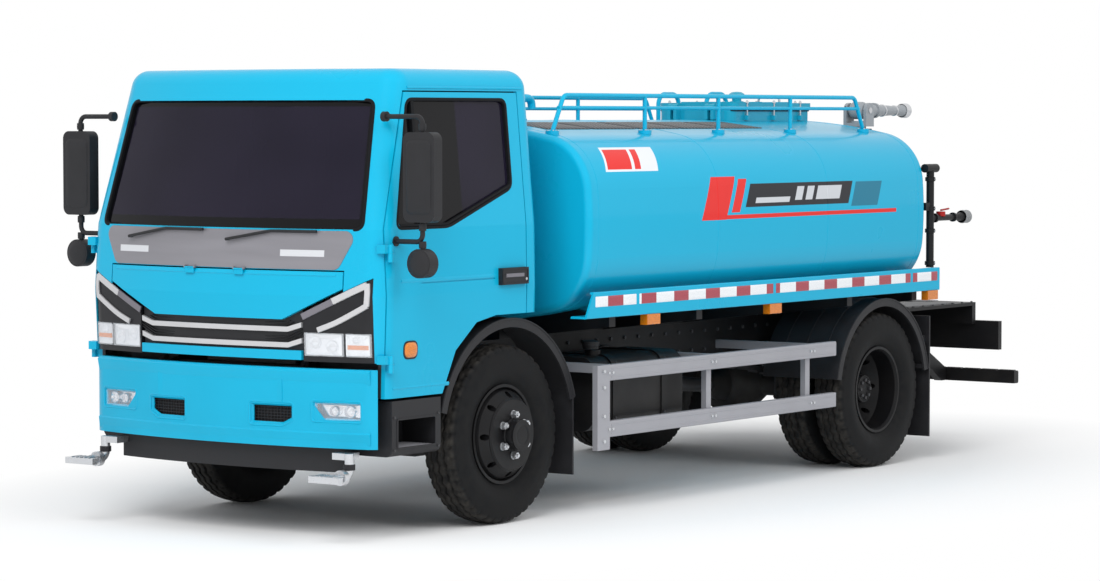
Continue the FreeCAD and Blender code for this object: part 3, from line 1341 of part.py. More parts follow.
def cab_shell():
    """Roof, pillars, rear wall and floor, with every opening cut."""
    far = S.cab_nose_half + S.overrun
    shell = skin(0, S.cab_wall.value)
    front_y, back_y = AXLE1 - S.front_overhang, AXLE1 + S.cab_back + S.overrun
    shell = shell.cut(block((-far, front_y, S.cab_bottom - S.overrun),
                            (far, AXLE1 - S.door_ahead + S.overrun, S.cab_sill)))
    shell = shell.cut(block((-far, AXLE1 - S.door_ahead, S.cab_bottom - S.overrun),
                            (far, back_y, S.arch_top)))
    floor_cut = cab_hull(S.cab_wall.value).common(
        block((-far, front_y, S.cab_bottom - S.overrun), (far, back_y, S.cab_sill)))
    shell = shell.cut(floor_cut)
    shell = shell.cut(prism("YZ", door_loop(0), -far, far))
    shell = shell.cut(front_prism(WINDSCREEN, 0, S.window_round))
    shell = shell.cut(front_prism(APRON, S.seat_gap, S.window_round))
    gap = S.panel_gap
    side_x = S.flap_half + gap
    flap_hole = [(S.flap_flat_half, S.flap_low - S.lamp_drop),
                 (side_x, valley(side_x) - S.lamp_drop),
                 (side_x, S.flap_high + gap)]
    shell = shell.cut(prism("XZ", mirror_outline(flap_hole), front_y,
                            AXLE1 - S.firewall_ahead))
    for side in (1, -1):
        lamp = [(side * x, z) for x, z in lamp_loop(0)]
        shell = shell.cut(prism("XZ", lamp, front_y, lamp_end()))
    mouth = [(S.lamp_inner_half, S.cab_sill - S.overrun),
             (S.lamp_inner_half, valley(S.lamp_inner_half)), (S.flap_flat_half, S.flap_low)]
    shell = shell.cut(prism("XZ", mirror_outline(mouth), front_y, AXLE1 - S.firewall_ahead))
    window = [(-S.rear_window_half, S.rear_window_low), (S.rear_window_half, S.rear_window_low),
              (S.rear_window_half, S.rear_window_high),
              (-S.rear_window_half, S.rear_window_high)]
    shell = shell.cut(prism("XZ", window, AXLE1, back_y, S.window_round))
    inside = floor_shape().common(cab_hull(0))
    door_zone = block((-far, AXLE1 - S.door_ahead - S.panel_gap, S.cab_bottom - S.overrun),
                      (far, AXLE1 + S.door_back, S.door_top))
    inside = inside.cut(skin(0, (S.cab_wall + S.panel_gap).value).common(door_zone))
    for side in (1, -1):
        lamp = [(side * x, z) for x, z in lamp_loop(0)]
        inside = inside.cut(skin(0, lamp_back().value).common(
            prism("XZ", lamp, front_y, AXLE1 - S.footwell_ahead)))
    extra = [inside, seat_box_shape()] + hinge_plates()
    for side in (1, -1):
        extra += door_hinges(side, False)
    whole = shell.multiFuse(extra)
    node(solid_piece("cab_shell", whole), "cab_shell")


def layer_in(layer, tool):
    """The part of a hull layer inside a tool, as one clean shape."""
    return layer.common(tool).removeSplitter()


def cab_glass():
    """Windscreen and rear window, set in the shell's openings."""
    depth = (S.cab_wall / 2 - S.glass / 2).value
    pane = skin(depth, S.glass.value)
    screen = layer_in(pane, front_prism(WINDSCREEN, -S.seat_gap, S.window_round))
    half = S.rear_window_half - S.seat_gap
    low, high = S.rear_window_low + S.seat_gap, S.rear_window_high - S.seat_gap
    loop = [(-half, low), (half, low), (half, high), (-half, high)]
    rear = layer_in(pane, prism("XZ", loop, AXLE1, AXLE1 + S.cab_back + S.overrun,
                                S.window_round))
    node(solid_piece("cab_glass", Part.makeCompound([screen, rear])), "cab_glass")


def side_range(side):
    """Where a prism over one side of the cab starts and ends."""
    inner, outer = S.cab_roof_half / 2, S.cab_nose_half + S.overrun
    return (inner, outer) if side > 0 else (-outer, -inner)


def door_hinges(side, moving):
    """Outer hinges of a door: the door's lower barrels, or the shell's pins."""
    x, y = side * (S.cab_nose_half + S.hinge_diameter / 2), AXLE1 - S.door_ahead + S.panel_gap
    half, size, up = S.hinge_length / 2, S.hinge_diameter / 2, FreeCAD.Vector(0, 0, 1)
    foot = side * (S.cab_low_half - S.cab_wall * 3 / 4)
    inner = x - side * size
    pieces = []
    for middle in (S.hinge_low, S.hinge_high):
        if moving:
            low, high, reach, clear = middle - half, middle - S.seat_gap, S.hinge_leaf, S.panel_gap
        else:
            low, high, reach, clear = middle + S.seat_gap, middle + half, -S.hinge_leaf, -S.panel_gap
        barrel = Part.makeCylinder(size.value, (half - S.seat_gap).value, vector((x, y, low)), up)
        leaf = side_block(inner, x, y, y + reach, low, high)
        root = side_block(foot, inner + side * S.seat_gap, y + clear, y + reach, low, high)
        pin = Part.makeCylinder(size.value / 2 + (S.pivot_fit.value if moving else 0),
                                half.value * 2, vector((x, y, middle - half)), up)
        piece = barrel.multiFuse([leaf, root])
        pieces.append(piece.cut(pin) if moving else piece.fuse(pin))
    return pieces


def side_block(x0, x1, y0, y1, z0, z1):
    """A block between two corners given in any order across and along."""
    xs, ys = sorted((x0.value, x1.value)), sorted((y0.value, y1.value))
    return block((as_size(xs[0]), as_size(ys[0]), z0), (as_size(xs[1]), as_size(ys[1]), z1))


def door(side, word):
    """Door as thick as the cab's wall, with its window cut and hinge barrels."""
    start, end = side_range(side)
    wall = skin(0, S.cab_wall.value)
    panel = layer_in(wall, prism("YZ", door_loop(S.panel_gap), start, end))
    panel = panel.cut(prism("YZ", window_loop(), start, end, S.window_round))
    groove_low = S.groove_height - S.groove_width / 2
    groove = block((start, AXLE1 - S.groove_front_ahead, groove_low),
                   (end, AXLE1 - S.groove_rear_ahead, groove_low + S.groove_width))
    panel = panel.cut(skin(0, S.groove_depth.value).common(groove))
    panel = panel.multiFuse(door_hinges(side, True))
    pane = layer_in(skin((S.cab_wall / 2 - S.glass / 2).value, S.glass.value),
                    prism("YZ", window_loop(), start, end, S.window_round))
    node(solid_piece("door_" + word, panel), "door_" + word)
    node(solid_piece("door_glass_" + word, pane), "door_glass_" + word)


def door_fittings(side, word):
    """Handle and mirror bracket with its two mirrors, carried by the door."""
    out = S.cab_nose_half
    x = out + S.mirror_reach
    y = AXLE1 - S.mirror_ahead
    bar = S.mirror_bar_diameter
    deep, wide = S.mirror_depth, S.mirror_width
    head = plate("mirror_head_" + word, "XZ", y - deep / 2,
                 [(side * (x - wide / 2), S.mirror_low, bar * 1.6),
                  (side * (x + wide / 2), S.mirror_low, bar * 1.6),
                  (side * (x + wide / 2), S.mirror_high, bar * 1.6),
                  (side * (x - wide / 2), S.mirror_high, bar * 1.6)], deep)
    round_low = S.round_mirror_height
    bowl = rod("mirror_round_" + word, "y", (side * x, y - deep / 2, round_low),
               S.round_mirror_diameter, deep)
    low_skin, high_skin = S.mirror_foot_low, S.mirror_foot_high
    tube = pipe("mirror_tube_" + word,
                [(side * low_skin, y, S.mirror_arm_low), (side * x, y, S.mirror_arm_low),
                 (side * x, y, S.mirror_arm_high), (side * high_skin, y, S.mirror_arm_high)],
                bar, bar * 1.5)
    stem = rod("mirror_stem_" + word, "z", (side * x, y, round_low), bar,
               S.mirror_arm_low - round_low)
    front = AXLE1 + S.handle_back - S.handle_length
    base = S.handle_foot
    sides = (base, out + S.handle_depth)
    if side < 0:
        sides = (-sides[1], -sides[0])
    grip = box("handle_" + word, (sides[0], front, S.handle_low),
               (sides[1], front + S.handle_length, S.handle_low + S.handle_height))
    foot_low = rod("mirror_foot_low_" + word, "x",
                   ((side * low_skin if side > 0 else -low_skin - bar), y, S.mirror_arm_low),
                   bar * 2, bar)
    foot_high = rod("mirror_foot_high_" + word, "x",
                    ((side * high_skin if side > 0 else -high_skin - bar), y,
                     S.mirror_arm_high), bar * 2, bar)
    mirror = union("mirror_" + word, [head, bowl, tube, stem, foot_low, foot_high])
    space = solid_piece("door_space_" + word, cab_hull(-S.seat_gap.value))
    node(together("door_fittings_" + word,
                  [minus("mirror_set_" + word, mirror, [space]),
                   minus("handle_set_" + word, grip, [space])]),
         "door_fittings_" + word)


def headlamps():
    """Black lamp housings with the bright blades, and their clear lenses."""
    layer = skin(S.lens_inset.value, S.lamp_depth.value)
    front, back = AXLE1 - S.front_overhang, lamp_end()
    housings, lenses, blades = [], [], []
    for side in (1, -1):
        loop = [(side * x, z) for x, z in lamp_loop(S.panel_gap / 2)]
        housings.append(layer_in(layer, prism("XZ", loop, front, back)))
    glass = skin(S.seat_gap.value, S.lens_inset.value - 2 * S.seat_gap.value)
    inner, outer = S.lamp_inner_half + S.panel_gap * 2, S.lamp_outer_half - S.panel_gap * 2
    split = inner + (outer - inner) * LENS_SPLIT_SHARE
    for side in (1, -1):
        for low, high in ((inner, split - S.panel_gap), (split + S.panel_gap, outer)):
            loop = [(side * low, S.lens_low), (side * high, S.lens_low),
                    (side * high, S.lens_high), (side * low, S.lens_high)]
            lenses.append(layer_in(glass, prism("XZ", loop, front, back)))
    node(solid_piece("headlamps", Part.makeCompound(housings)), "headlamps")
    node(solid_piece("headlamp_lenses", Part.makeCompound(lenses)), "headlamp_lenses")


LENS_SPLIT_SHARE = 0.62


def flap_axis():
    """The flap's hinge line: along the truck and above the ground."""
    return AXLE1 - S.flap_hinge_front, (S.flap_high + S.apron_low) / 2


def flap_hinges(moving):
    """Barrels on the flap's top edge, or the pins and lugs on the apron."""
    y, z = flap_axis()
    across = FreeCAD.Vector(1, 0, 0)
    long, lug, pin = S.flap_hinge_length, S.flap_hinge_lug, S.flap_pin_diameter / 2
    pieces = []
    for side in (1, -1):
        low = side * S.flap_hinge_side - long / 2
        if moving:
            spot = vector((low, y, z))
            barrel = Part.makeCylinder(pin.value * 2, long.value, spot, across)
            tab = block((low, y, S.flap_high - S.flap_thickness), (low + long, y + pin * 4, z))
            bore = Part.makeCylinder((pin + S.pivot_fit).value, (long + lug * 4).value,
                                     vector((low - lug * 2, y, z)), across)
            pieces.append(barrel.fuse(tab).cut(bore))
        else:
            pieces.append(Part.makeCylinder(pin.value, (long + lug * 2).value,
                                            vector((low - lug, y, z)), across))
            for start in (low - lug - S.seat_gap, low + long + S.seat_gap):
                pieces.append(block((start, y - pin, z - pin),
                                    (start + lug, y + pin * 6, S.apron_low + pin * 3)))
    return pieces


def windscreen_apron():
    """Grey panel under the windscreen."""
    layer = skin(-S.apron_stand.value, S.cab_wall.value)
    loop = [(x, z) for x, z, high in APRON]
    panel = layer_in(layer, prism("XZ", mirror_outline(loop), AXLE1 - S.front_overhang,
                                  AXLE1 - S.footwell_back, S.window_round))
    panel = panel.multiFuse(flap_hinges(False))
    node(solid_piece("windscreen_apron", panel), "windscreen_apron")


def front_flap():
    """Blue flap with the strip under the trims, and the grille behind them."""
    front, back = AXLE1 - S.front_overhang, AXLE1 - S.footwell_ahead
    layer = skin(0, S.flap_thickness.value)
    panel = layer_in(layer, prism("XZ", mirror_outline(flap_loop()), front, back))
    half = S.lamp_inner_half - S.panel_gap
    strip = [(-half, S.grille_low), (half, S.grille_low),
             (half, S.grille_low + S.strip_height), (-half, S.grille_low + S.strip_height)]
    low_panel = layer_in(layer, prism("XZ", strip, front, back))
    panel = panel.multiFuse(flap_hinges(True))
    node(solid_piece("front_flap", Part.makeCompound([panel, low_panel])), "front_flap")
    deep = skin(S.flap_thickness.value + S.seat_gap.value, S.grille_thickness.value)
    mesh = layer_in(deep, prism("XZ", mirror_outline(mesh_loop()), front, back))
    node(solid_piece("grille", mesh), "grille")
    bars = []
    thin = skin(S.trim_inset.value, S.flap_thickness.value - S.trim_inset.value)
    for low in (S.trim_upper, S.trim_lower):
        run = half - S.trim_flat_half
        rise = run * S.trim_rise / S.trim_flat_half
        high = low + S.trim_height
        loop = [(S.trim_flat_half, low), (half, low + rise), (half, high + rise),
                (S.trim_flat_half, high)]
        bars.append(layer_in(thin, prism("XZ", mirror_outline(loop), front, back)))
    node(solid_piece("grille_trims", Part.makeCompound(bars)), "grille_trims")


def wipers():
    """Two wiper arms with their blades, resting on the apron."""
    items = []
    lean = (S.cab_belt_front - S.cab_roof_front) / (S.cab_roof - S.cab_belt)
    stand = S.wiper_diameter
    for number, start in enumerate((-S.wiper_reach, S.wiper_start)):
        def spot(x, z):
            bow = x * x / (S.cab_front_arc * 2)
            fall = (z - S.cab_belt) * lean
            return (x, AXLE1 - S.cab_belt_front + bow + fall - stand, z)
        base = spot(start, S.wiper_base)
        tip = spot(start + S.wiper_length, S.wiper_base + stand * 3)
        knee = spot(start + S.wiper_length / 2, S.wiper_base + stand * 3)
        arm = pipe("wiper_%d" % number, [base, knee, tip], S.wiper_diameter,
                   S.wiper_length / 4)
        stem = Part.makeCylinder(S.wiper_diameter.value / 2, stand.value * 2, vector(base),
                                 FreeCAD.Vector(0, 1, 0))
        stem = stem.cut(cab_hull(-(S.apron_stand + S.seat_gap).value))
        items.append(union("wiper_set_%d" % number,
                           [arm, solid_piece("wiper_stem_%d" % number, stem)]))
    node(together("wipers", items), "wipers")


def cab_interior():
    """Dashboard with the steering wheel, and two seats."""
    half = S.cab_low_half - S.cab_wall - S.panel_gap * 3
    front = AXLE1 - S.firewall_ahead + S.floor_sheet + S.seat_gap
    back = front + S.dash_depth
    dash = plate("dash_body", "YZ", -half,
                 [(front, S.dash_low), (back - S.dash_depth / 3, S.dash_low),
                  (back, S.dash_low + S.dash_depth / 3), (back, S.dash_height - S.dash_depth / 5),
                  (front + S.dash_depth / 2, S.dash_height), (front, S.dash_height)], half * 2)
    space = solid_piece("dash_space", cab_hull(lamp_back().value))
    dash = common("dash_fitted", dash, space)
    column_tip = (S.seat_side, back + S.wheel_rim_diameter / 3, S.dash_height + S.overrun)
    column = pipe("steering_column",
                  [(S.seat_side, back - S.overrun, S.dash_height - S.dash_depth / 3),
                   (S.seat_side, back + S.overrun, S.dash_height - S.dash_depth / 4), column_tip],
                  S.wheel_rim_thickness * 1.6, S.overrun / 2)
    ring = DOC.addObject("Part::Torus", "steering_wheel")
    tilt = FreeCAD.Rotation(FreeCAD.Vector(1, 0, 0), 35)
    ring.Placement = FreeCAD.Placement(FreeCAD.Vector(), tilt)
    bind(ring, "Radius1", S.wheel_rim_diameter / 2)
    bind(ring, "Radius2", S.wheel_rim_thickness / 2)
    put(ring, column_tip)
    spoke = box("wheel_spoke",
                (S.seat_side - S.wheel_rim_diameter / 2, column_tip[1] - S.wheel_rim_thickness,
                 column_tip[2] - S.wheel_rim_thickness / 2),
                (S.seat_side + S.wheel_rim_diameter / 2, column_tip[1] + S.wheel_rim_thickness,
                 column_tip[2] + S.wheel_rim_thickness / 2))
    node(union("dashboard_set", [dash, column, ring, spoke]), "dashboard")
    front = AXLE1 - S.seat_front_ahead
    seats = []
    for side, word in ((1, "left"), (-1, "right")):
        middle = side * S.seat_side
        low, high = middle - S.seat_width / 2, middle + S.seat_width / 2
        cushion = box("cushion_" + word, (low, front, S.seat_height - S.seat_thickness),
                      (high, front + S.seat_depth, S.seat_height))
        rest = plate("backrest_" + word, "YZ", low,
                     [(front + S.seat_depth - S.backrest_thickness, S.seat_height - S.overrun),
                      (front + S.seat_depth, S.seat_height - S.overrun),
                      (front + S.seat_depth + S.overrun * 2, S.seat_height + S.backrest_height),
                      (front + S.seat_depth - S.backrest_thickness + S.overrun * 2,
                       S.seat_height + S.backrest_height)], S.seat_width)
        seats.append(union("seat_" + word, [cushion, rest]))
    node(together("seats", seats), "seats")


# Bumper and the pieces under it

def bumper_ring(inset, height):
    """Plan outline of the bumper's outer face, inset, closed at its rear."""
    ring = cab_ring(height, S.cab_low_half, S.cab_low_front, inset)
    return Part.Face(ring)


def bumper_layer(inset, depth, low, high):
    """A bow of sheet that follows the cab's front between two levels."""
    tall = FreeCAD.Vector(0, 0, (high - low).value)
    outer = bumper_ring(inset, low.value).extrude(tall)
    inner = bumper_ring(inset + depth, low.value).extrude(tall)
    far = S.cab_nose_half + S.overrun
    front = block((-far, AXLE1 - S.front_overhang, low),
                  (far, AXLE1 - S.door_ahead - S.bumper_door_gap, high))
    return outer.cut(inner).common(front)


def bumper():
    """Blue bumper with two chamfered openings and seats for the fog lamps."""
    bow = bumper_layer(0, S.bumper_wall.value, S.bumper_bottom, S.bumper_top)
    front, back = AXLE1 - S.front_overhang, AXLE1 - S.footwell_ahead
    wide, tall = S.bumper_hole_width / 2, S.bumper_hole_height / 2
    mid, cut = S.bumper_hole_middle, S.hole_chamfer
    lamp, lamp_tall, fog = S.fog_width / 2, S.fog_height / 2, S.fog_middle
    for side in (1, -1):
        centre = S.bumper_hole_half
        loop = [(centre - wide, mid - tall), (centre + wide - cut, mid - tall),
                (centre + wide, mid - tall + cut / 2), (centre + wide, mid + tall),
                (centre - wide, mid + tall)]
        bow = bow.cut(prism("XZ", [(side * x, z) for x, z in loop], front, back))
        centre = S.fog_half
        loop = [(centre - lamp, fog - lamp_tall), (centre + lamp, fog - lamp_tall),
                (centre + lamp, fog + lamp_tall), (centre - lamp, fog + lamp_tall)]
        bow = bow.cut(prism("XZ", [(side * x, z) for x, z in loop], front, back))
    brackets = []
    rail_end = AXLE1 - S.rail_ahead - S.seat_gap
    inner_face = AXLE1 - S.cab_low_front + S.bumper_wall
    low = S.rail_top - S.rail_height
    for side in (1, -1):
        outer = side * (S.rail_spacing / 2 - S.rail_plate - S.seat_gap)
        inner = outer - side * (S.rail_flange - S.rail_plate)
        x0, x1 = (inner, outer) if side > 0 else (outer, inner)
        arm = block((x0, inner_face - S.bumper_wall / 2, low),
                    (x1, rail_end, low + S.bracket_height))
        brackets.append(arm.cut(bumper_ring(0, S.bumper_bottom.value).extrude(
            FreeCAD.Vector(0, 0, S.bumper_top.value)).common(block(
                (-S.cab_nose_half, AXLE1 - S.front_overhang, low),
                (S.cab_nose_half, inner_face - S.bumper_wall / 2, S.bumper_top)))))
    whole = bow.multiFuse(brackets)
    node(solid_piece("bumper", whole), "bumper")
    grow = S.seat_gap
    lamps = []
    layer = bumper_layer(S.lens_inset.value, S.bumper_wall.value, S.bumper_bottom, S.bumper_top)
    for side in (1, -1):
        loop = [(S.fog_half - lamp + grow, fog - lamp_tall + grow),
                (S.fog_half + lamp - grow, fog - lamp_tall + grow),
                (S.fog_half + lamp - grow, fog + lamp_tall - grow),
                (S.fog_half - lamp + grow, fog + lamp_tall - grow)]
        lamps.append(layer_in(layer, prism("XZ", [(side * x, z) for x, z in loop], front, back)))
    node(solid_piece("fog_lamps", Part.makeCompound(lamps)), "fog_lamps")
    apron = bumper_layer(S.apron_inset.value, S.apron_wall.value, S.apron_bottom,
                         S.bumper_bottom - S.seat_gap)
    stays = []
    for side in (1, -1):
        middle = side * S.apron_stay
        wide = S.apron_wall / 2
        y = AXLE1 - S.cab_low_front + S.apron_inset
        stays.append(block((middle - wide, y + S.overrun, S.apron_bottom),
                           (middle + wide, y + S.overrun + S.rail_flange,
                            S.rail_top - S.rail_height - S.seat_gap)))
    node(solid_piece("bumper_apron", apron.multiFuse(stays)), "bumper_apron")


def front_nozzles():
    """Two flat spray nozzles under the bumper, on bent pipes."""
    sets = []
    for side, word in ((1, "left"), (-1, "right")):
        x = side * S.nozzle_side
        tip = AXLE1 - S.front_overhang
        root = tip + S.nozzle_fan_length
        z = S.nozzle_height
        half, tall = S.nozzle_fan_width / 2, S.nozzle_fan_height / 2
        throat = S.nozzle_pipe_diameter / 2
        fan = plate("nozzle_fan_" + word, "XY", z - tall,
                    [(x - throat, root), (x - half, tip + S.nozzle_fan_height),
                     (x - half, tip), (x + half, tip), (x + half, tip + S.nozzle_fan_height),
                     (x + throat, root)], S.nozzle_fan_height)
        elbow = pipe("nozzle_pipe_" + word,
                     [(x, root - S.nozzle_fan_height, z),
                      (x, root + S.nozzle_pipe_length * 0.4, z),
                      (x, root + S.nozzle_pipe_length * 0.4, S.nozzle_hang)],
                     S.nozzle_pipe_diameter, S.nozzle_pipe_diameter)
        collar = rod("nozzle_collar_" + word, "y", (x, root, z), S.nozzle_pipe_diameter * 1.6,
                     S.nozzle_fan_height)
        hanger_y = root + S.nozzle_pipe_length * 0.4
        inner_x = x - side * S.nozzle_bracket
        sides = (inner_x, x) if side > 0 else (x, inner_x)
        bar = block((sides[0], hanger_y - S.nozzle_fan_height / 2,
                     S.nozzle_hang - S.nozzle_fan_height),
                    (sides[1], AXLE1 - S.door_ahead - S.bumper_door_gap, S.nozzle_hang))
        apron = bumper_ring((S.apron_inset - S.seat_gap).value, S.apron_bottom.value).extrude(
            FreeCAD.Vector(0, 0, S.nozzle_hang.value))
        hanger = solid_piece("nozzle_hanger_" + word, bar.cut(apron))
        sets.append(union("nozzle_" + word, [fan, elbow, collar, hanger]))
    node(together("front_nozzles", sets), "front_nozzles")


# Steps, mudguards, side guards and boxes

def arch(name, axle, radius, inner_x, outer_x, start, sweep):
    """Curved mudguard plate over a wheel with a turned-in outer lip."""
    wide = outer_x - inner_x
    outer = DOC.addObject("Part::Cylinder", name + "_outer")
    inner = DOC.addObject("Part::Cylinder", name + "_inner")
    for item, size, low, deep in ((outer, radius, inner_x, wide),
                                  (inner, radius - S.guard_sheet, inner_x - S.overrun,
                                   wide + S.overrun - S.guard_sheet)):
        turn = FreeCAD.Rotation(FreeCAD.Vector(0, 1, 0), 90)
        spin = FreeCAD.Rotation(FreeCAD.Vector(1, 0, 0), start)
        item.Placement = FreeCAD.Placement(FreeCAD.Vector(), spin.multiply(turn))
        bind(item, "Radius", size)
        bind(item, "Height", deep)
        item.Angle = sweep if item is outer else 360
        put(item, (low, axle, WHEEL_Z))
    hole = rod(name + "_hole", "x", (inner_x - S.overrun, axle, WHEEL_Z),
               (radius - S.guard_lip) * 2, wide + S.overrun * 2)
    return minus(name, outer, [inner, hole])


def front_mudguards():
    """Front arches with their rear flaps, carried by brackets to the frame."""
    outer = S.front_guard_outer
    inner = outer - S.front_guard_width
    radius = S.front_guard_radius
    cover = arch("front_arch", AXLE1, radius, inner, outer, 105, 150)
    rear = AXLE1 + radius * math.sin(math.radians(75))
    flap = box("front_rubber", (inner, rear - S.guard_sheet * 2, S.front_flap_bottom),
               (outer, rear - S.guard_sheet, WHEEL_Z + radius * 0.35))
    bar = box("front_guard_bar",
              (S.rail_spacing / 2 + S.seat_gap, rear - S.guard_sheet * 3.5,
               S.rail_top - S.rail_height + S.overrun),
              (outer - S.overrun, rear - S.guard_sheet * 2,
               S.rail_top - S.rail_height + S.overrun + S.guard_bracket))
    left = union("front_guard_left", [cover, flap, bar])
    node(both_sides("front_mudguards", left), "front_mudguards")


def entry_steps():
    """Black step boxes under the doors, open at the foot hole."""
    outer = S.cab_low_half
    inner = outer - S.step_width
    front, back = AXLE1 - S.step_ahead, AXLE1 - S.step_back
    body = plate("step_box", "XZ", front,
                 [(inner, S.step_bottom), (outer, S.step_bottom, S.step_wall * 2),
                  (outer, S.step_top), (inner, S.step_top)], back - front)
    low = S.step_bottom + S.step_wall * 2
    hole = box("step_hole", (outer - S.step_tread_depth, front + S.step_wall * 2, low),
               (outer + S.overrun, back - S.step_wall * 2, low + S.step_tread_height))
    hanger_z = S.rail_top - S.rail_height - S.guard_bracket / 2
    hanger = box("step_hanger", (S.rail_spacing / 2 + S.seat_gap, front + S.step_wall, hanger_z),
                 (inner + S.overrun, front + S.step_wall + S.guard_bracket,
                  hanger_z + S.guard_bracket))
    left = minus("step_left", union("step_body", [body, hanger]), [hole])
    node(both_sides("entry_steps", left), "entry_steps")


def rear_mudguards():
    """Rear arches over the twin wheels, with rubber flaps behind."""
    outer = S.rear_guard_outer
    inner = outer - S.rear_guard_width
    radius = S.rear_guard_radius
    cover = arch("rear_arch", AXLE2, radius, inner, outer, 100, 160)
    rear = AXLE2 + radius
    flap = box("rear_rubber", (inner, rear, S.rear_flap_bottom),
               (outer, rear + S.guard_sheet, WHEEL_Z + radius * 0.76))
    shelf = box("rear_shelf",
                (inner, rear - S.guard_sheet * 4, WHEEL_Z + radius * 0.18),
                (outer - S.guard_sheet, rear + S.guard_sheet / 2,
                 WHEEL_Z + radius * 0.18 + S.guard_sheet * 2))
    bar = box("rear_guard_bar",
              (S.rail_spacing / 2 + S.seat_gap, rear - S.guard_sheet * 4,
               S.rail_top - S.rail_height + S.overrun),
              (outer - S.overrun, rear + S.guard_sheet / 2,
               S.rail_top - S.rail_height + S.overrun + S.guard_bracket))
    left = union("rear_guard_left", [cover, flap, shelf, bar])
    node(both_sides("rear_mudguards", left), "rear_mudguards")


def side_guards():
    """Two aluminium rails on each side, with posts and frame brackets."""
    outer = S.guard_face
    inner = outer - S.guard_rail_depth
    front, back = AXLE1 + S.guard_front, AXLE2 - S.guard_rear_ahead
    pieces = []
    for level, low in (("upper", S.guard_upper), ("lower", S.guard_lower)):
        pieces.append(plate("guard_rail_" + level, "XZ", front,
                            [(inner, low), (outer, low, S.guard_rail_depth / 4),
                             (outer, low + S.guard_rail_height, S.guard_rail_depth / 4),
                             (inner, low + S.guard_rail_height)], back - front))
    top = S.guard_upper + S.guard_rail_height
    base = S.guard_lower - S.guard_rail_depth * 2
    pieces.append(box("guard_post_front", (inner, front, base),
                      (outer, front + S.guard_post_width, top)))
    span = back - front
    for number, share in enumerate(GUARD_POST_SHARES):
        y = front + span * share
        pieces.append(box("guard_post_%d" % number,
                          (inner - S.guard_rail_depth, y, S.guard_lower),
                          (inner + S.seat_gap, y + S.guard_bracket, top)))
        pieces.append(box("guard_arm_%d" % number,
                          (S.rail_spacing / 2 + S.seat_gap, y, top - S.guard_bracket),
                          (inner, y + S.guard_bracket, top)))
    left = union("side_guard_left", pieces)
    node(both_sides("side_guards", left), "side_guards")


GUARD_POST_SHARES = (0.04, 0.45, 0.88)


def fuel_tank():
    """Fuel tank hung on the left of the frame by two straps."""
    inner = S.rail_spacing / 2 + S.tank_hang
    outer = inner + S.fuel_width
    front = AXLE1 + S.fuel_front
    top = S.fuel_bottom + S.fuel_height
    hull = plate("fuel_hull", "XZ", front,
                 [(inner, S.fuel_bottom, S.fuel_round), (outer, S.fuel_bottom, S.fuel_round),
                  (outer, top, S.fuel_round), (inner, top, S.fuel_round)], S.fuel_length)
    pieces = [hull]
    for number, share in enumerate((0.2, 0.75)):
        y = front + S.fuel_length * share
        pieces.append(box("fuel_bracket_%d" % number,
                          (S.rail_spacing / 2 + S.seat_gap, y, S.fuel_bottom + S.fuel_round),
                          (inner + S.seat_gap, y + S.guard_bracket, top - S.fuel_round / 2)))
        pieces.append(plate("fuel_strap_%d" % number, "XZ", y,
                            [(inner - S.guard_sheet / 2, S.fuel_bottom - S.guard_sheet / 2,
                              S.fuel_round),
                             (outer + S.guard_sheet / 2, S.fuel_bottom - S.guard_sheet / 2,
                              S.fuel_round),
                             (outer + S.guard_sheet / 2, top + S.guard_sheet / 2, S.fuel_round),
                             (inner - S.guard_sheet / 2, top + S.guard_sheet / 2, S.fuel_round)],
                            S.guard_bracket))
    pieces.append(rod("fuel_neck", "z", (outer - S.fuel_round * 1.5, front + S.fuel_round * 2,
                                         top - S.overrun), S.fuel_round, S.overrun * 2))
    node(union("fuel_tank", pieces), "fuel_tank")


def battery_box():
    """Battery box and air reservoirs on the right of the frame."""
    inner = S.rail_spacing / 2 + S.seat_gap
    front = AXLE1 + S.fuel_front
    low = S.rail_top - S.rail_height - S.battery_height / 2
    case = plate("battery_case", "XZ", front,
                 [(-inner - S.battery_width, low, S.guard_rail_depth),
                  (-inner, low), (-inner, low + S.battery_height),
                  (-inner - S.battery_width, low + S.battery_height, S.guard_rail_depth)],
                 S.battery_length)
    start = front + S.battery_length + S.battery_width / 2
    middle = (-inner - S.air_tank_diameter / 2 - S.tank_hang, start,
              low + S.air_tank_diameter / 2 - S.guard_bracket)
    vessel = rod("air_vessel", "y", middle, S.air_tank_diameter, S.air_tank_length)
    straps = [box("air_strap_%d" % number,
                  (-inner - S.tank_hang - S.overrun, start + S.air_tank_length * share,
                   low + S.air_tank_diameter / 2),
                  (-inner, start + S.air_tank_length * share + S.guard_bracket,
                   S.rail_top - S.rail_height / 2))
              for number, share in enumerate((0.15, 0.75))]
    node(together("battery_and_air", [case, union("air_tank", [vessel] + straps)]),
         "battery_and_air")


# Water tank and what it carries

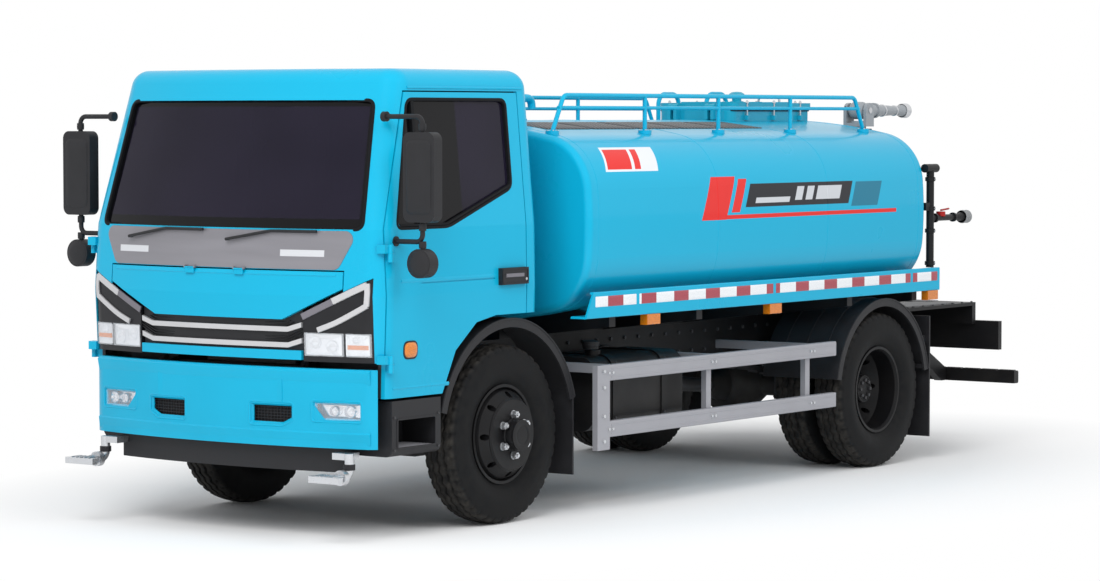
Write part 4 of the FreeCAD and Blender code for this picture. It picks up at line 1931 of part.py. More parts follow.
def tank_section(sketch, grow):
    """Barrel-sided section: wide arcs above, below and beside, small at corners."""
    half = S.tank_half_width + grow
    top, low = S.tank_top + grow, S.tank_bottom - grow
    crown, side = S.tank_crown_radius + grow, S.tank_side_radius + grow
    corner = S.tank_corner_radius + grow
    middle = (top + low) / 2
    hubs = [(ZERO, top - crown, crown), (half - side, middle, side),
            (ZERO, low + crown, crown), (side - half, middle, side)]
    a, b = crown.value - corner.value, side.value - corner.value
    dx, dy = hubs[1][0].value - hubs[0][0].value, hubs[1][1].value - hubs[0][1].value
    span = math.hypot(dx, dy)
    along = (a * a - b * b + span * span) / (2 * span)
    across = math.sqrt(a * a - along * along)
    ux, uy = dx / span, dy / span
    px = hubs[0][0].value + ux * along + uy * across
    py = hubs[0][1].value + uy * along - ux * across
    up = py - middle.value
    spots = [(px, up), (px, -up), (-px, -up), (-px, up)]
    corners = [FreeCAD.Vector(x, middle.value + y, 0) for x, y in spots]
    centres = [vector((x, y, ZERO)) for x, y, r in hubs]
    order = [(0, 3, 0), (1, 0, 1), (2, 1, 2), (3, 2, 3)]
    touch = {}
    for hub, first, second in order:
        for spot in (first, second):
            way = (corners[spot] - centres[hub]).normalize()
            touch[hub, spot] = centres[hub] + way * hubs[hub][2].value
    wide = {}
    for hub, first, second in order:
        start, end = touch[hub, first], touch[hub, second]
        wide[hub] = add_arc(sketch, centres[hub], end, start)
    small = {}
    for spot, (before, after) in enumerate(((0, 1), (1, 2), (2, 3), (3, 0))):
        small[spot] = add_arc(sketch, corners[spot], touch[after, spot], touch[before, spot])
    for spot, (before, after) in enumerate(((0, 1), (1, 2), (2, 3), (3, 0))):
        for rule in (Sketcher.Constraint("Tangent", wide[after], 2, small[spot], 1),
                     Sketcher.Constraint("Tangent", small[spot], 2, wide[before], 1)):
            sketch.addConstraint(rule)
        radius(sketch, small[spot], corner)
    for hub, (x, y, r) in enumerate(hubs):
        radius(sketch, wide[hub], r)
        pin_point(sketch, wide[hub], 3, (x, y))


def add_arc(sketch, centre, start, end):
    """An anticlockwise arc about a centre between two points."""
    first = math.atan2(start.y - centre.y, start.x - centre.x)
    last = math.atan2(end.y - centre.y, end.x - centre.x)
    if last < first:
        last += 2 * math.pi
    circle = Part.Circle(centre, FreeCAD.Vector(0, 0, 1), (start - centre).Length)
    return sketch.addGeometry(Part.ArcOfCircle(circle, first, last), False)


def radius(sketch, geometry, size):
    """Fix the radius of an arc."""
    rule = Sketcher.Constraint("Radius", geometry, size.value)
    bind(sketch, "Constraints[%d]" % sketch.addConstraint(rule), size)


def tank_body(name, grow, extra):
    """The tank's barrel, longer by extra at both ends."""
    body = DOC.addObject("PartDesign::Body", name)
    sketch = new_sketch(body, name + "_section", "XZ")
    tank_section(sketch, grow)
    pad = body.newObject("PartDesign::Pad", name + "_pad")
    pad.Profile = sketch
    bind(pad, "Length", S.tank_length + extra * 2)
    put(body, (ZERO, AXLE1 + S.tank_front + S.tank_length + extra, ZERO))
    return body, pad


def water_tank():
    """Tank with rounded head seams."""
    body, pad = tank_body("tank_barrel", ZERO, ZERO)
    DOC.recompute()
    round_off = body.newObject("PartDesign::Fillet", "tank_head_rounding")
    round_off.Base = (pad, end_edges(pad.Shape))
    bind(round_off, "Radius", S.tank_head_round)
    node(body, "water_tank")
    return body


def end_edges(shape):
    """Names of the edges round both flat ends of a body that runs along Y."""
    low, high = shape.BoundBox.YMin, shape.BoundBox.YMax
    names = []
    for number, edge in enumerate(shape.Edges, start=1):
        box_y = edge.BoundBox
        at_low = abs(box_y.YMax - low) < S.seat_gap.value
        at_high = abs(box_y.YMin - high) < S.seat_gap.value
        if at_low or at_high:
            names.append("Edge%d" % number)
    return names


def tank_subframe(tank):
    """Beams on the rails and outriggers, shaped to the tank's belly."""
    high = S.tank_bottom + S.saddle_height
    low = S.rail_top + S.seat_gap
    front, length = AXLE1 + S.tank_front, S.tank_length
    middle = S.rail_spacing / 2 - S.saddle_width / 2
    beams = []
    for side, word in ((1, "left"), (-1, "right")):
        centre = side * middle
        beams.append(box("saddle_beam_" + word,
                         (centre - S.saddle_width / 2, front + S.tank_head_round * 2, low),
                         (centre + S.saddle_width / 2,
                          front + length - S.tank_head_round * 2, high)))
    half, deep = S.outrigger_half, S.outrigger_depth
    flange = S.valance_face - S.valance_flange - S.panel_gap
    for number, share in enumerate(OUTRIGGER_SHARES):
        y = front + (length - deep) * share
        loop = [(-half, S.valance_low - S.seat_gap), (-half, S.valance_low - deep),
                (-middle, low), (middle, low), (half, S.valance_low - deep),
                (half, S.valance_low - S.seat_gap), (flange, S.valance_low - S.seat_gap),
                (half * 0.6, S.valance_low + deep), (-half * 0.6, S.valance_low + deep),
                (-flange, S.valance_low - S.seat_gap)]
        beams.append(plate("outrigger_%d" % number, "XZ", y, loop, deep))
    whole = union("subframe_body", beams)
    item = DOC.addObject("Part::Cut", "tank_subframe")
    item.Base = whole
    item.Tool = tank
    node(item, "tank_subframe")


OUTRIGGER_SHARES = (0.06, 0.30, 0.53, 0.76, 0.978)


def side_valances():
    """Blue beams along the tank's lower edge, sloped at their front ends."""
    outer, thin = S.valance_face, S.valance_plate
    inner = outer - S.valance_flange
    front, back = AXLE1 + S.valance_front, AXLE2 + S.valance_rear
    low, high = S.valance_low, S.valance_high
    beam = plate("valance_beam", "XZ", front,
                 [(inner, low), (outer, low, thin / 2), (outer, high, thin / 2),
                  (outer - thin * 2, high), (outer - thin * 2, high - thin),
                  (outer - thin, high - thin), (outer - thin, low + thin),
                  (inner, low + thin)], back - front)
    slope = plate("valance_slope", "YZ", inner - S.overrun,
                  [(front - S.overrun, low + S.seat_gap), (front, low + S.seat_gap),
                   (front + S.valance_slope, high + S.overrun),
                   (front - S.overrun, high + S.overrun)], S.valance_flange + S.overrun * 2)
    left = minus("valance_left", beam, [slope])
    node(both_sides("side_valances", left), "side_valances")


def crown_height(x):
    """Height of the tank's top at a distance from its middle."""
    return S.tank_top - x * x / (S.tank_crown_radius * 2)


def top_handrails():
    """Two tube rails along the tank, with slanted end posts and a walkway."""
    front, back = AXLE1 + S.handrail_front, AXLE1 + S.handrail_rear
    x, tube = S.handrail_half, S.handrail_diameter
    foot = crown_height(x) + S.handrail_seat
    upper = pipe("rail_upper",
                 [(x, front, foot), (x, front + S.handrail_slope, S.handrail_high),
                  (x, back - S.handrail_slope, S.handrail_high), (x, back, foot)],
                 tube, tube * 2)
    pieces = [upper]
    low_from = front + S.handrail_slope * 0.5
    pieces.append(rod("rail_lower", "y", (x, low_from, S.handrail_mid), tube * 0.8,
                      back - front - S.handrail_slope))
    for number, share in enumerate(RAIL_POST_SHARES):
        y = front + (back - front) * share
        pieces.append(rod("rail_post_%d" % number, "z", (x, y, foot), tube,
                          S.handrail_high - foot))
    for number, share in enumerate((0.0,) + RAIL_POST_SHARES + (1.0,)):
        y = front + (back - front) * share
        pieces.append(rod("rail_foot_%d" % number, "z",
                          (x, y, crown_height(x + tube * 1.5) - S.handrail_seat), tube * 3,
                          S.handrail_seat * 2 + tube / 2))
    left = union("handrail_left", pieces)
    solid = minus("handrail_seated", left, [tank_tool("rail_seat_tool")])
    node(both_sides("top_handrails", solid), "top_handrails")


RAIL_POST_SHARES = (0.27, 0.5, 0.74)


def tank_tool(name):
    """The tank's barrel a hair larger, for seating pieces on it."""
    body, pad = tank_body(name, S.seat_gap, ZERO)
    return body


def manhole():
    """Open-topped housing on the tank with its hinged lid."""
    front = AXLE1 + S.manhole_front
    half, wall = S.manhole_width / 2, S.manhole_wall
    length = S.manhole_length
    low = S.tank_bottom / 2 + S.tank_top / 2
    corner = S.manhole_round
    body = plate("manhole_body", "XY", low,
                 [(-half, front, corner), (half, front, corner),
                  (half, front + length, corner), (-half, front + length, corner)],
                 S.manhole_top - low)
    hole = plate("manhole_hole", "XY", low - S.overrun,
                 [(-half + wall, front + wall, corner), (half - wall, front + wall, corner),
                  (half - wall, front + length - wall, corner),
                  (-half + wall, front + length - wall, corner)],
                 S.manhole_top - low + S.overrun * 2)
    ring = minus("manhole_ring", body, [hole, tank_tool("manhole_seat_tool")])
    pin_y = front - S.lid_pin_diameter
    pin_z = S.manhole_top + S.lid_pin_diameter / 2
    pads = []
    for side in (1, -1):
        x = side * half / 2
        ear = S.lid_pin_length / 3
        for number, start in enumerate((x - S.lid_pin_length / 2, x + ear / 2)):
            pads.append(box("hinge_ear_%d_%d" % (side, number),
                            (start, pin_y - S.lid_pin_diameter, low_ear()),
                            (start + ear, front + wall / 2, pin_z - S.lid_pin_diameter / 2)))
            pads.append(rod("ear_round_%d_%d" % (side, number), "x", (start, pin_y, pin_z),
                            S.lid_pin_diameter * 2, ear))
        pads.append(rod("lid_pin_%d" % side, "x", (x - S.lid_pin_length / 2, pin_y, pin_z),
                        S.lid_pin_diameter, S.lid_pin_length))
    housing = union("manhole_housing", [ring] + pads)
    node(housing, "manhole_housing")
    lid_low = S.manhole_top + S.seat_gap
    cover = plate("lid_cover", "XY", lid_low,
                  [(-half - wall / 2, front + wall / 2, corner),
                   (half + wall / 2, front + wall / 2, corner),
                   (half + wall / 2, front + length + wall / 2, corner),
                   (-half - wall / 2, front + length + wall / 2, corner)], S.lid_height)
    barrels = []
    for side in (1, -1):
        x = side * half / 2
        wide = S.lid_pin_length / 6
        barrels.append(rod("lid_barrel_%d" % side, "x", (x - wide, pin_y, pin_z),
                           S.lid_pin_diameter * 1.8, wide * 2 - S.seat_gap))
        barrels.append(box("lid_strap_%d" % side, (x - wide, pin_y, pin_z),
                           (x + wide - S.seat_gap, front + wall * 2,
                            lid_low + S.lid_height * 0.6)))
    whole = union("lid_body", [cover] + barrels)
    bores = [rod("lid_bore_%d" % side, "x",
                 (side * half / 2 - S.lid_pin_length, pin_y, pin_z),
                 S.lid_pin_diameter + S.kingpin_fit * 2, S.lid_pin_length * 2)
             for side in (1, -1)]
    node(minus("manhole_lid", whole, bores), "manhole_lid")


def deck_top():
    """Upper face of the rear platform, which lies on the rails."""
    return S.rail_top + S.seat_gap + S.deck_sheet


def low_ear():
    """Lower end of the lid's hinge ears, just inside the housing's wall."""
    return S.manhole_top - S.lid_height * 1.5


# Rear end

def rear_platform():
    """Deck behind the tank with the lamp board and the low step."""
    front = AXLE1 + S.deck_front
    back = front + S.deck_length
    half = S.deck_width / 2
    top = deck_top()
    board_top = S.lamp_board_top
    pieces = [box("deck_sheet", (-half, front, top - S.deck_sheet), (half, back, top)),
              box("deck_edge", (-half, back - S.lamp_board_depth, board_top - S.deck_sheet),
                  (half, back, top)),
              box("lamp_board", (-S.valance_face + S.lamp_stand, back,
                                 board_top - S.lamp_board_height),
                  (S.valance_face - S.lamp_stand, back + S.lamp_board_depth, board_top))]
    pad_x = S.deck_pad_inset - half
    pieces.append(box("deck_pad", (pad_x, front + S.deck_pad_start, top),
                      (pad_x + S.deck_pad_width, front + S.deck_pad_start + S.deck_pad_length,
                       top + S.deck_pad_height)))
    for side, word in ((1, "left"), (-1, "right")):
        x = side * (S.rail_spacing / 2 + S.seat_gap)
        wide = side * S.low_step_arm
        low_x, high_x = (x, x + wide) if side > 0 else (x + wide, x)
        step_low = S.low_step_bottom
        pieces.append(box("deck_arm_" + word, (low_x, front + S.low_step_arm,
                                               board_top - S.lamp_board_height * 0.7),
                          (high_x, back + S.seat_gap, top - S.deck_sheet / 2)))
        pieces.append(plate("step_arm_" + word, "YZ", low_x,
                            [(back - S.low_step_arm * 3, board_top - S.lamp_board_height * 0.6),
                             (back - S.low_step_arm, board_top - S.lamp_board_height * 0.6),
                             (REAR_END - S.low_step_depth, step_low + S.low_step_height),
                             (REAR_END - S.low_step_depth / 2, step_low + S.low_step_height),
                             (REAR_END - S.low_step_depth / 2, step_low),
                             (REAR_END - S.low_step_depth * 2, step_low)],
                            S.low_step_arm))
    half_step = S.low_step_half
    pieces.append(plate("low_step", "YZ", -half_step,
                        [(REAR_END - S.low_step_depth, S.low_step_bottom),
                         (REAR_END, S.low_step_bottom, S.lamp_stand / 2),
                         (REAR_END, S.low_step_bottom + S.low_step_height, S.lamp_stand / 2),
                         (REAR_END - S.low_step_depth,
                          S.low_step_bottom + S.low_step_height)], half_step * 2))
    node(union("rear_platform", pieces), "rear_platform")
    lamps = []
    face = back + S.lamp_board_depth + S.seat_gap
    middle = board_top - S.lamp_board_height / 2
    for side, word in ((1, "left"), (-1, "right")):
        x = side * (S.valance_face - S.lamp_stand * 2 - S.lamp_width / 2)
        lamps.append(plate("rear_lamp_" + word, "XZ", face,
                           [(x - S.lamp_width / 2, middle - S.lamp_height / 2, S.lamp_stand / 2),
                            (x + S.lamp_width / 2, middle - S.lamp_height / 2, S.lamp_stand / 2),
                            (x + S.lamp_width / 2, middle + S.lamp_height / 2, S.lamp_stand / 2),
                            (x - S.lamp_width / 2, middle + S.lamp_height / 2,
                             S.lamp_stand / 2)], S.lamp_stand))
    node(together("rear_lamps", lamps), "rear_lamps")


def rear_ladder():
    """Ladder up the tank's rear head with hoops over its top."""
    head = AXLE1 + S.tank_front + S.tank_length
    y = head + S.ladder_stand
    tube = S.ladder_tube
    foot = deck_top() + S.seat_gap
    high = S.tank_top + S.ladder_hoop
    pieces = []
    for number, x in enumerate((-S.ladder_middle - S.ladder_width / 2,
                                -S.ladder_middle + S.ladder_width / 2)):
        landing = head - S.ladder_hoop
        pieces.append(pipe("ladder_side_%d" % number,
                           [(x, y, foot), (x, y, high), (x, landing, high),
                            (x, landing, crown_height(S.ladder_middle) - tube)],
                           tube, tube * 2.5))
        for level, share in enumerate((0.25, 0.85)):
            z = S.tank_bottom + (S.tank_top - S.tank_bottom) * share
            pieces.append(rod("ladder_stay_%d_%d" % (number, level), "y",
                              (x, head + S.seat_gap, z), tube * 0.8, S.ladder_stand))
    count = int((S.tank_top - foot).value / S.ladder_pitch.value)
    for number in range(count):
        z = foot + S.ladder_pitch * (number + 1) - tube
        pieces.append(rod("ladder_rung_%d" % number, "x",
                          (-S.ladder_middle - S.ladder_width / 2, y, z), tube * 0.85,
                          S.ladder_width))
    whole = union("ladder_body", pieces)
    node(minus("rear_ladder", whole, [tank_tool("ladder_seat_tool")]), "rear_ladder")


def riser_place():
    """Where the monitor's riser stands, across and along the truck."""
    return S.riser_side, AXLE1 + S.tank_front + S.tank_length + S.riser_behind


def pump_and_pipes():
    """Water pump on the deck, suction pipe, and the riser to the monitor."""
    x, y = riser_place()
    floor = deck_top() + S.seat_gap
    pump_z = floor + S.pump_diameter / 2 + S.overrun
    pump = rod("pump_case", "x", (x - S.pump_length * 1.6, y, pump_z), S.pump_diameter,
               S.pump_length)
    foot = box("pump_foot", (x - S.pump_length * 1.5, y - S.pump_diameter / 3, floor),
               (x - S.pump_length * 0.7, y + S.pump_diameter / 3, pump_z))
    motor = rod("pump_drive", "x", (x - S.pump_length * 3.4, y, pump_z), S.pump_diameter * 0.65,
                S.pump_length * 2)
    motor_foot = box("drive_foot", (x - S.pump_length * 3.2, y - S.pump_diameter / 5, floor),
                     (x - S.pump_length * 2.2, y + S.pump_diameter / 5, pump_z))
    delivery = pipe("pump_delivery",
                    [(x - S.pump_length, y, pump_z), (x, y, pump_z),
                     (x, y, S.riser_top - S.flange_thickness / 2)],
                    S.riser_diameter, S.riser_diameter)
    head = AXLE1 + S.tank_front + S.tank_length + S.seat_gap
    suction = pipe("pump_suction",
                   [(x - S.pump_length * 1.1, head, S.tank_bottom + S.riser_diameter * 2),
                    (x - S.pump_length * 1.1, y, S.tank_bottom + S.riser_diameter * 2),
                    (x - S.pump_length * 1.1, y, pump_z)],
                   S.riser_diameter, S.riser_diameter)
    flanges = [rod("flange_tank", "y", (x - S.pump_length * 1.1, head,
                                        S.tank_bottom + S.riser_diameter * 2),
                   S.flange_diameter, S.flange_thickness),
               rod("flange_riser", "z", (x, y, S.riser_top - S.flange_thickness),
                   S.flange_diameter, S.flange_thickness),
               rod("flange_middle", "z", (x, y, S.riser_top - S.ladder_pitch * 2),
                   S.flange_diameter, S.flange_thickness * 2)]
    outlet_x = x + S.riser_diameter * 0.8
    outlet = [rod("outlet_neck", "x", (x - S.riser_diameter, y, pump_z), S.outlet_diameter,
                  outlet_x - x + S.riser_diameter + S.flange_thickness + S.outlet_length),
              rod("outlet_collar", "x", (outlet_x, y, pump_z), S.outlet_diameter * 1.5,
                  S.flange_thickness)]
    stay_z = S.riser_top - S.ladder_pitch
    stay = box("riser_stay", (x - S.riser_diameter / 4, head, stay_z),
               (x + S.riser_diameter / 4, y, stay_z + S.riser_diameter / 3))
    node(union("pump_and_pipes", [pump, foot, motor, motor_foot, delivery, suction, stay]
               + flanges + outlet), "pump_and_pipes")


def monitor():
    """Water monitor: a turning head on the riser and a tilting barrel."""
    x, y = riser_place()
    low = S.riser_top + S.seat_gap
    wide, tall = S.turret_diameter, S.turret_height
    base = rod("turret_base", "z", (x, y, low), S.flange_diameter, S.flange_thickness)
    post = rod("turret_post", "z", (x, y, low), wide * 0.66, tall * 0.55)
    axis_z = low + tall
    fork = []
    cheek = S.flange_thickness
    inner = S.barrel_diameter * 0.6 + S.panel_gap
    for side, word in ((1, "left"), (-1, "right")):
        start = x + side * inner
        low_x = start if side > 0 else start - cheek
        fork.append(box("turret_cheek_" + word,
                        (low_x, y - S.trunnion_diameter, low + tall * 0.35),
                        (low_x + cheek, y + S.trunnion_diameter, axis_z)))
        fork.append(rod("turret_eye_" + word, "x", (low_x, y, axis_z),
                        S.trunnion_diameter * 2, cheek))
    bridge = box("turret_bridge", (x - inner - cheek, y - S.trunnion_diameter, low + tall * 0.3),
                 (x + inner + cheek, y + S.trunnion_diameter, low + tall * 0.46))
    whole = union("turret_body", [base, post, bridge] + fork)
    bore = rod("turret_bore", "x", (x - S.turret_diameter, y, axis_z),
               S.trunnion_diameter + S.kingpin_fit * 2, S.turret_diameter * 2)
    node(minus("monitor_turret", whole, [bore]), "monitor_turret")
    length = S.barrel_length
    ball_radius = S.barrel_diameter * 0.6
    ball = turned("barrel_ball",
                  [(x - ball_radius, ZERO), (x + ball_radius, ZERO),
                   (x + ball_radius, ball_radius, ball_radius * 0.6),
                   (x - ball_radius, ball_radius, ball_radius * 0.6)], (ZERO, y, axis_z))
    pin = rod("barrel_trunnion", "x", (x - inner - cheek, y, axis_z), S.trunnion_diameter,
              (inner + cheek) * 2)
    tube = cone("barrel_tube", "y", (x, y, axis_z), S.barrel_diameter, S.barrel_tip_diameter,
                length * BARREL_TUBE_SHARE)
    mouth = cone("barrel_mouth", "y", (x, y + length * BARREL_TUBE_SHARE, axis_z),
                 S.barrel_tip_diameter, S.barrel_mouth_diameter,
                 length * (1 - BARREL_TUBE_SHARE))
    bore = cone("barrel_bore", "y", (x, y + length * BARREL_TUBE_SHARE, axis_z),
                S.barrel_tip_diameter * 0.5, S.barrel_mouth_diameter * 0.85,
                length * (1 - BARREL_TUBE_SHARE) + S.seat_gap)
    collar = rod("barrel_collar", "y", (x, y + length * COLLAR_SHARE, axis_z),
                 S.barrel_diameter * 1.05, S.flange_thickness)
    whole = union("barrel_body", [ball, pin, tube, mouth, collar])
    node(minus("monitor_barrel", whole, [bore]), "monitor_barrel")


BARREL_TUBE_SHARE = 0.78
COLLAR_SHARE = 0.3


def rear_posts():
    """Black posts at the tank's rear corners with level spray nozzles."""
    x, y = S.post_side, AXLE1 + S.post_rear_ahead
    tube = S.post_diameter
    post = rod("spray_post", "z", (x - tube, y, S.valance_high + S.seat_gap), tube,
               S.post_high - S.valance_high)
    top = rod("spray_tee", "y", (x - tube, y - tube * 1.5, S.post_high), tube * 1.1, tube * 3)
    level = S.post_nozzle_height
    arm = rod("spray_arm", "y", (x - tube, y, level), tube * 0.8, S.post_nozzle_length * 0.7)
    tip = cone("spray_tip", "y", (x - tube, y + S.post_nozzle_length * 0.7, level),
               tube * 0.8, tube * 1.6, S.post_nozzle_length * 0.3)
    head = AXLE1 + S.tank_front + S.tank_length
    stay = box("spray_stay", (x - tube * 3, head + S.seat_gap, level + tube),
               (x - tube, head + tube * 0.5, level + tube * 2))
    link = box("spray_link", (x - tube * 1.3, head + S.seat_gap, level + tube),
               (x - tube * 0.7, y, level + tube * 2))
    left = union("spray_left", [post, top, arm, tip, stay, link])
    node(both_sides("rear_spray_posts", left), "rear_spray_posts")


def side_markers():
    """Amber lamps on the side beams, the doors' sides and the rear."""
    outer = S.valance_face
    pieces = []
    low = S.valance_low - S.seat_gap - S.marker_height
    for number, y in enumerate((AXLE1 + S.marker_front, AXLE1 + S.marker_middle,
                                AXLE2 + S.marker_rear)):
        pieces.append(plate("side_marker_%d" % number, "XZ", y,
                            [(outer - S.marker_depth * 2, low),
                             (outer, low, S.marker_depth / 4),
                             (outer, low + S.marker_height),
                             (outer - S.marker_depth * 2, low + S.marker_height)],
                            S.marker_length))
    left = together("side_markers_left", pieces)
    node(both_sides("side_markers", left), "side_markers")


def build():
    """Make every sub-part."""
    frame()
    front_axle()
    rear_axle()
    leaf_springs()
    powertrain()
    for side, word in ((1, "left"), (-1, "right")):
        knuckle(side, word)
        front_wheel(side, word)
        rear_wheels(side, word)
    tie_rod()
    cab_shell()
    cab_glass()
    for side, word in ((1, "left"), (-1, "right")):
        door(side, word)
        door_fittings(side, word)
    headlamps()
    windscreen_apron()
    front_flap()
    wipers()
    cab_interior()
    bumper()
    front_nozzles()
    front_mudguards()
    entry_steps()
    rear_mudguards()
    side_guards()
    fuel_tank()
    battery_box()
    tank = water_tank()
    tank_subframe(tank)
    side_valances()
    top_handrails()
    manhole()
    rear_platform()
    rear_ladder()
    pump_and_pipes()
    monitor()
    rear_posts()
    side_markers()


def check_and_write():
    """Stop on a failed object or shape, then write each sub-part."""
    DOC.recompute()
    faults = []
    for item in DOC.Objects:
        if "Invalid" in item.State or "Error" in item.State:
            faults.append("%s (%s)" % (item.Label, ", ".join(item.State)))
    for item in PARTS:
        shape = item.Shape
        if shape.isNull() or not shape.isValid() or not shape.Solids:
            faults.append(item.Label + " has no valid solid")
    if faults:
        raise RuntimeError("; ".join(faults))
    os.makedirs("parts", exist_ok=True)
    for item in PARTS:
        item.Shape.exportStep(os.path.join("parts", item.Label + ".step"))


build()
check_and_write()
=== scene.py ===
"""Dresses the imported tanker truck: paint, glass, rubber, lamps and small fittings."""

import json
import math
from functools import partialmethod

import bmesh
import bpy
import numpy as np
from bpy.props import FloatProperty, FloatVectorProperty, IntProperty, PointerProperty
from mathutils import Matrix


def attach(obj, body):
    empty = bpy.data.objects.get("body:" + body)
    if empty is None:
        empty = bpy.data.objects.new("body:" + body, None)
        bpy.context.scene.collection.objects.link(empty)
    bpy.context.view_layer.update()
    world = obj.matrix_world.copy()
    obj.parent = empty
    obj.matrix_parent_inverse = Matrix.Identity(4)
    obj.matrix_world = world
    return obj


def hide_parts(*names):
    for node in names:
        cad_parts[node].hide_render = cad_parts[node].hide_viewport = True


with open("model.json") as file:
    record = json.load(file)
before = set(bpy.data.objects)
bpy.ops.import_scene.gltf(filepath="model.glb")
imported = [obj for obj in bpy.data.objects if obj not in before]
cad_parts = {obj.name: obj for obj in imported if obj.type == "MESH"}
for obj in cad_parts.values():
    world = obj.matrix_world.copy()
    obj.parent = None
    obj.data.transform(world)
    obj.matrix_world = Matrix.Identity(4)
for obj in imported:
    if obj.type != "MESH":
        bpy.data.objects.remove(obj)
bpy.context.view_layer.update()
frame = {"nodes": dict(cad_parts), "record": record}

bl_info = {
    "name": "Tanker truck dressing",
    "version": (1, 0, 0),
    "blender": (4, 5, 0),
    "location": "3D View > Sidebar > Tanker",
    "description": "Surfaces, finishes and fittings of a small water tanker truck",
    "category": "Object",
}

# Places in metres, in the truck's frame: x to its left, y to its rear, z up
LEFT, REAR, UP, FRONT, DOWN = (1, 0, 0), (0, 1, 0), (0, 0, 1), (0, -1, 0), (0, 0, -1)
AXLE1, AXLE2, WHEEL_Z = -2.190, 1.610, 0.487
HULL_Z = (0.750, 1.275, 1.620, 2.450)
HULL_HALF = (1.008, 1.020, 1.015, 0.938)
HULL_AHEAD = (1.248, 1.266, 1.240, 1.002)
FRONT_ARC, CAB_BACK = 4.0, -1.940
TANK_TOP, TANK_LOW, TANK_CROWN = 2.180, 1.030, 4.2
VALANCE_FACE, TAPE_Z = 1.150, 1.181
SEAT = 0.0005           # How deep a fitting sits in the face that carries it
SIDES = (("left", 1), ("right", -1))


class TankerSizes(bpy.types.PropertyGroup):
    """Sizes of the fittings that a user may change."""

    tread_depth: FloatProperty(
        name="Tread depth", description="Depth of the grooves round the tyres",
        default=0.012, min=0.0, unit="LENGTH")
    tread_turns: IntProperty(
        name="Tread blocks", description="Shoulder blocks round one tyre", default=44, min=8)
    nut_width: FloatProperty(
        name="Wheel nut", description="Width of a wheel nut over its flats",
        default=0.036, unit="LENGTH")
    seal_width: FloatProperty(
        name="Window seal", description="Width of the rubber round the glass",
        default=0.018, unit="LENGTH")
    tape_height: FloatProperty(
        name="Tape height", description="Height of the reflecting tape on the side beams",
        default=0.058, unit="LENGTH")
    cushion_crown: FloatProperty(
        name="Seat crown", description="Roundness of the seats, lower is squarer",
        default=0.32, min=0.1, max=1.0)


class TankerColours(bpy.types.PropertyGroup):
    """Colours of the finishes, in linear light."""

    body: FloatVectorProperty(
        name="Body paint", description="Sky blue of the cab and tank", subtype="COLOR",
        default=(0.004, 0.385, 0.60), size=3, min=0, max=1)
    fittings: FloatVectorProperty(
        name="Fittings paint", description="Turquoise of the manhole", subtype="COLOR",
        default=(0.01, 0.33, 0.47), size=3, min=0, max=1)
    rubber: FloatVectorProperty(
        name="Rubber", description="Tyres and seals", subtype="COLOR",
        default=(0.006, 0.0065, 0.0075), size=3, min=0, max=1)
    guard: FloatVectorProperty(
        name="Side guards", description="Pale rails between the axles", subtype="COLOR",
        default=(0.374, 0.374, 0.403), size=3, min=0, max=1)
    red: FloatVectorProperty(
        name="Red marks", description="Red of the marks on the tank", subtype="COLOR",
        default=(0.70, 0.022, 0.018), size=3, min=0, max=1)


# Surfaces as arrays: a patch is (points, quads)

def grid(points, wrap_rows=False, wrap_columns=False):
    """Patch through a rows x columns x 3 array; each cell of the grid is one quad."""
    rows, columns = points.shape[:2]
    r = np.arange(rows if wrap_rows else rows - 1)[:, None]
    c = np.arange(columns if wrap_columns else columns - 1)[None, :]
    r2, c2 = (r + 1) % rows, (c + 1) % columns
    quads = np.stack(np.broadcast_arrays(r * columns + c, r2 * columns + c,
                                         r2 * columns + c2, r * columns + c2), axis=-1)
    return points.reshape(-1, 3), quads.reshape(-1, 4)


def join(patches):
    """One patch of several, with each one's quads shifted past the points before it."""
    starts = np.cumsum([0] + [len(points) for points, quads in patches[:-1]])
    return (np.concatenate([points for points, quads in patches]),
            np.concatenate([quads + start for (points, quads), start in zip(patches, starts)]))


def copies(patch, places, turns=None):
    """A patch set down at each place: turn times point plus place, for all at once."""
    points, quads = patch
    places = np.asarray(places, float).reshape(-1, 3)
    if turns is None:
        turns = np.eye(3)
    turns = np.broadcast_to(turns, (len(places), 3, 3))
    moved = np.einsum("kij,nj->kni", turns, points) + places[:, None]
    shifts = np.arange(len(places))[:, None, None] * len(points)
    return moved.reshape(-1, 3), (quads[None] + shifts).reshape(-1, 4)


def facing(direction):
    """Turn that takes z to a direction, with x kept level."""
    z = np.asarray(direction, float) / np.linalg.norm(direction)
    helper = np.array((0.0, 0.0, 1.0)) if abs(z[2]) < 0.9 else np.array((0.0, 1.0, 0.0))
    x = np.cross(helper, z)
    x /= np.linalg.norm(x)
    return np.stack((x, np.cross(z, x), z), axis=1)


def lathe(profile, sides, phase=0.0):
    """Surface of revolution about z: (r cos a, r sin a, h) for each (r, h) of the profile."""
    profile = np.asarray(profile, float)
    a = phase + np.arange(sides) * 2 * math.pi / sides
    r, h = profile[:, 0][:, None], profile[:, 1][:, None]
    points = np.stack(np.broadcast_arrays(r * np.cos(a), r * np.sin(a), h), axis=-1)
    return grid(points, wrap_columns=True)


def smooth_line(points, steps):
    """Catmull-Rom line: each run blends its four nearest points by cubic weights."""
    p = np.asarray(points, float)
    p = np.concatenate((2 * p[:1] - p[1:2], p, 2 * p[-1:] - p[-2:-1]))
    t = np.linspace(0, 1, steps, endpoint=False)[None, :, None]
    a, b, c, d = p[:-3, None], p[1:-2, None], p[2:-1, None], p[3:, None]
    line = 0.5 * (2 * b + (c - a) * t + (2 * a - 5 * b + 4 * c - d) * t ** 2
                  + (3 * b - a - 3 * c + d) * t ** 3)
    return np.concatenate((line.reshape(-1, p.shape[1]), p[-2:-1]))


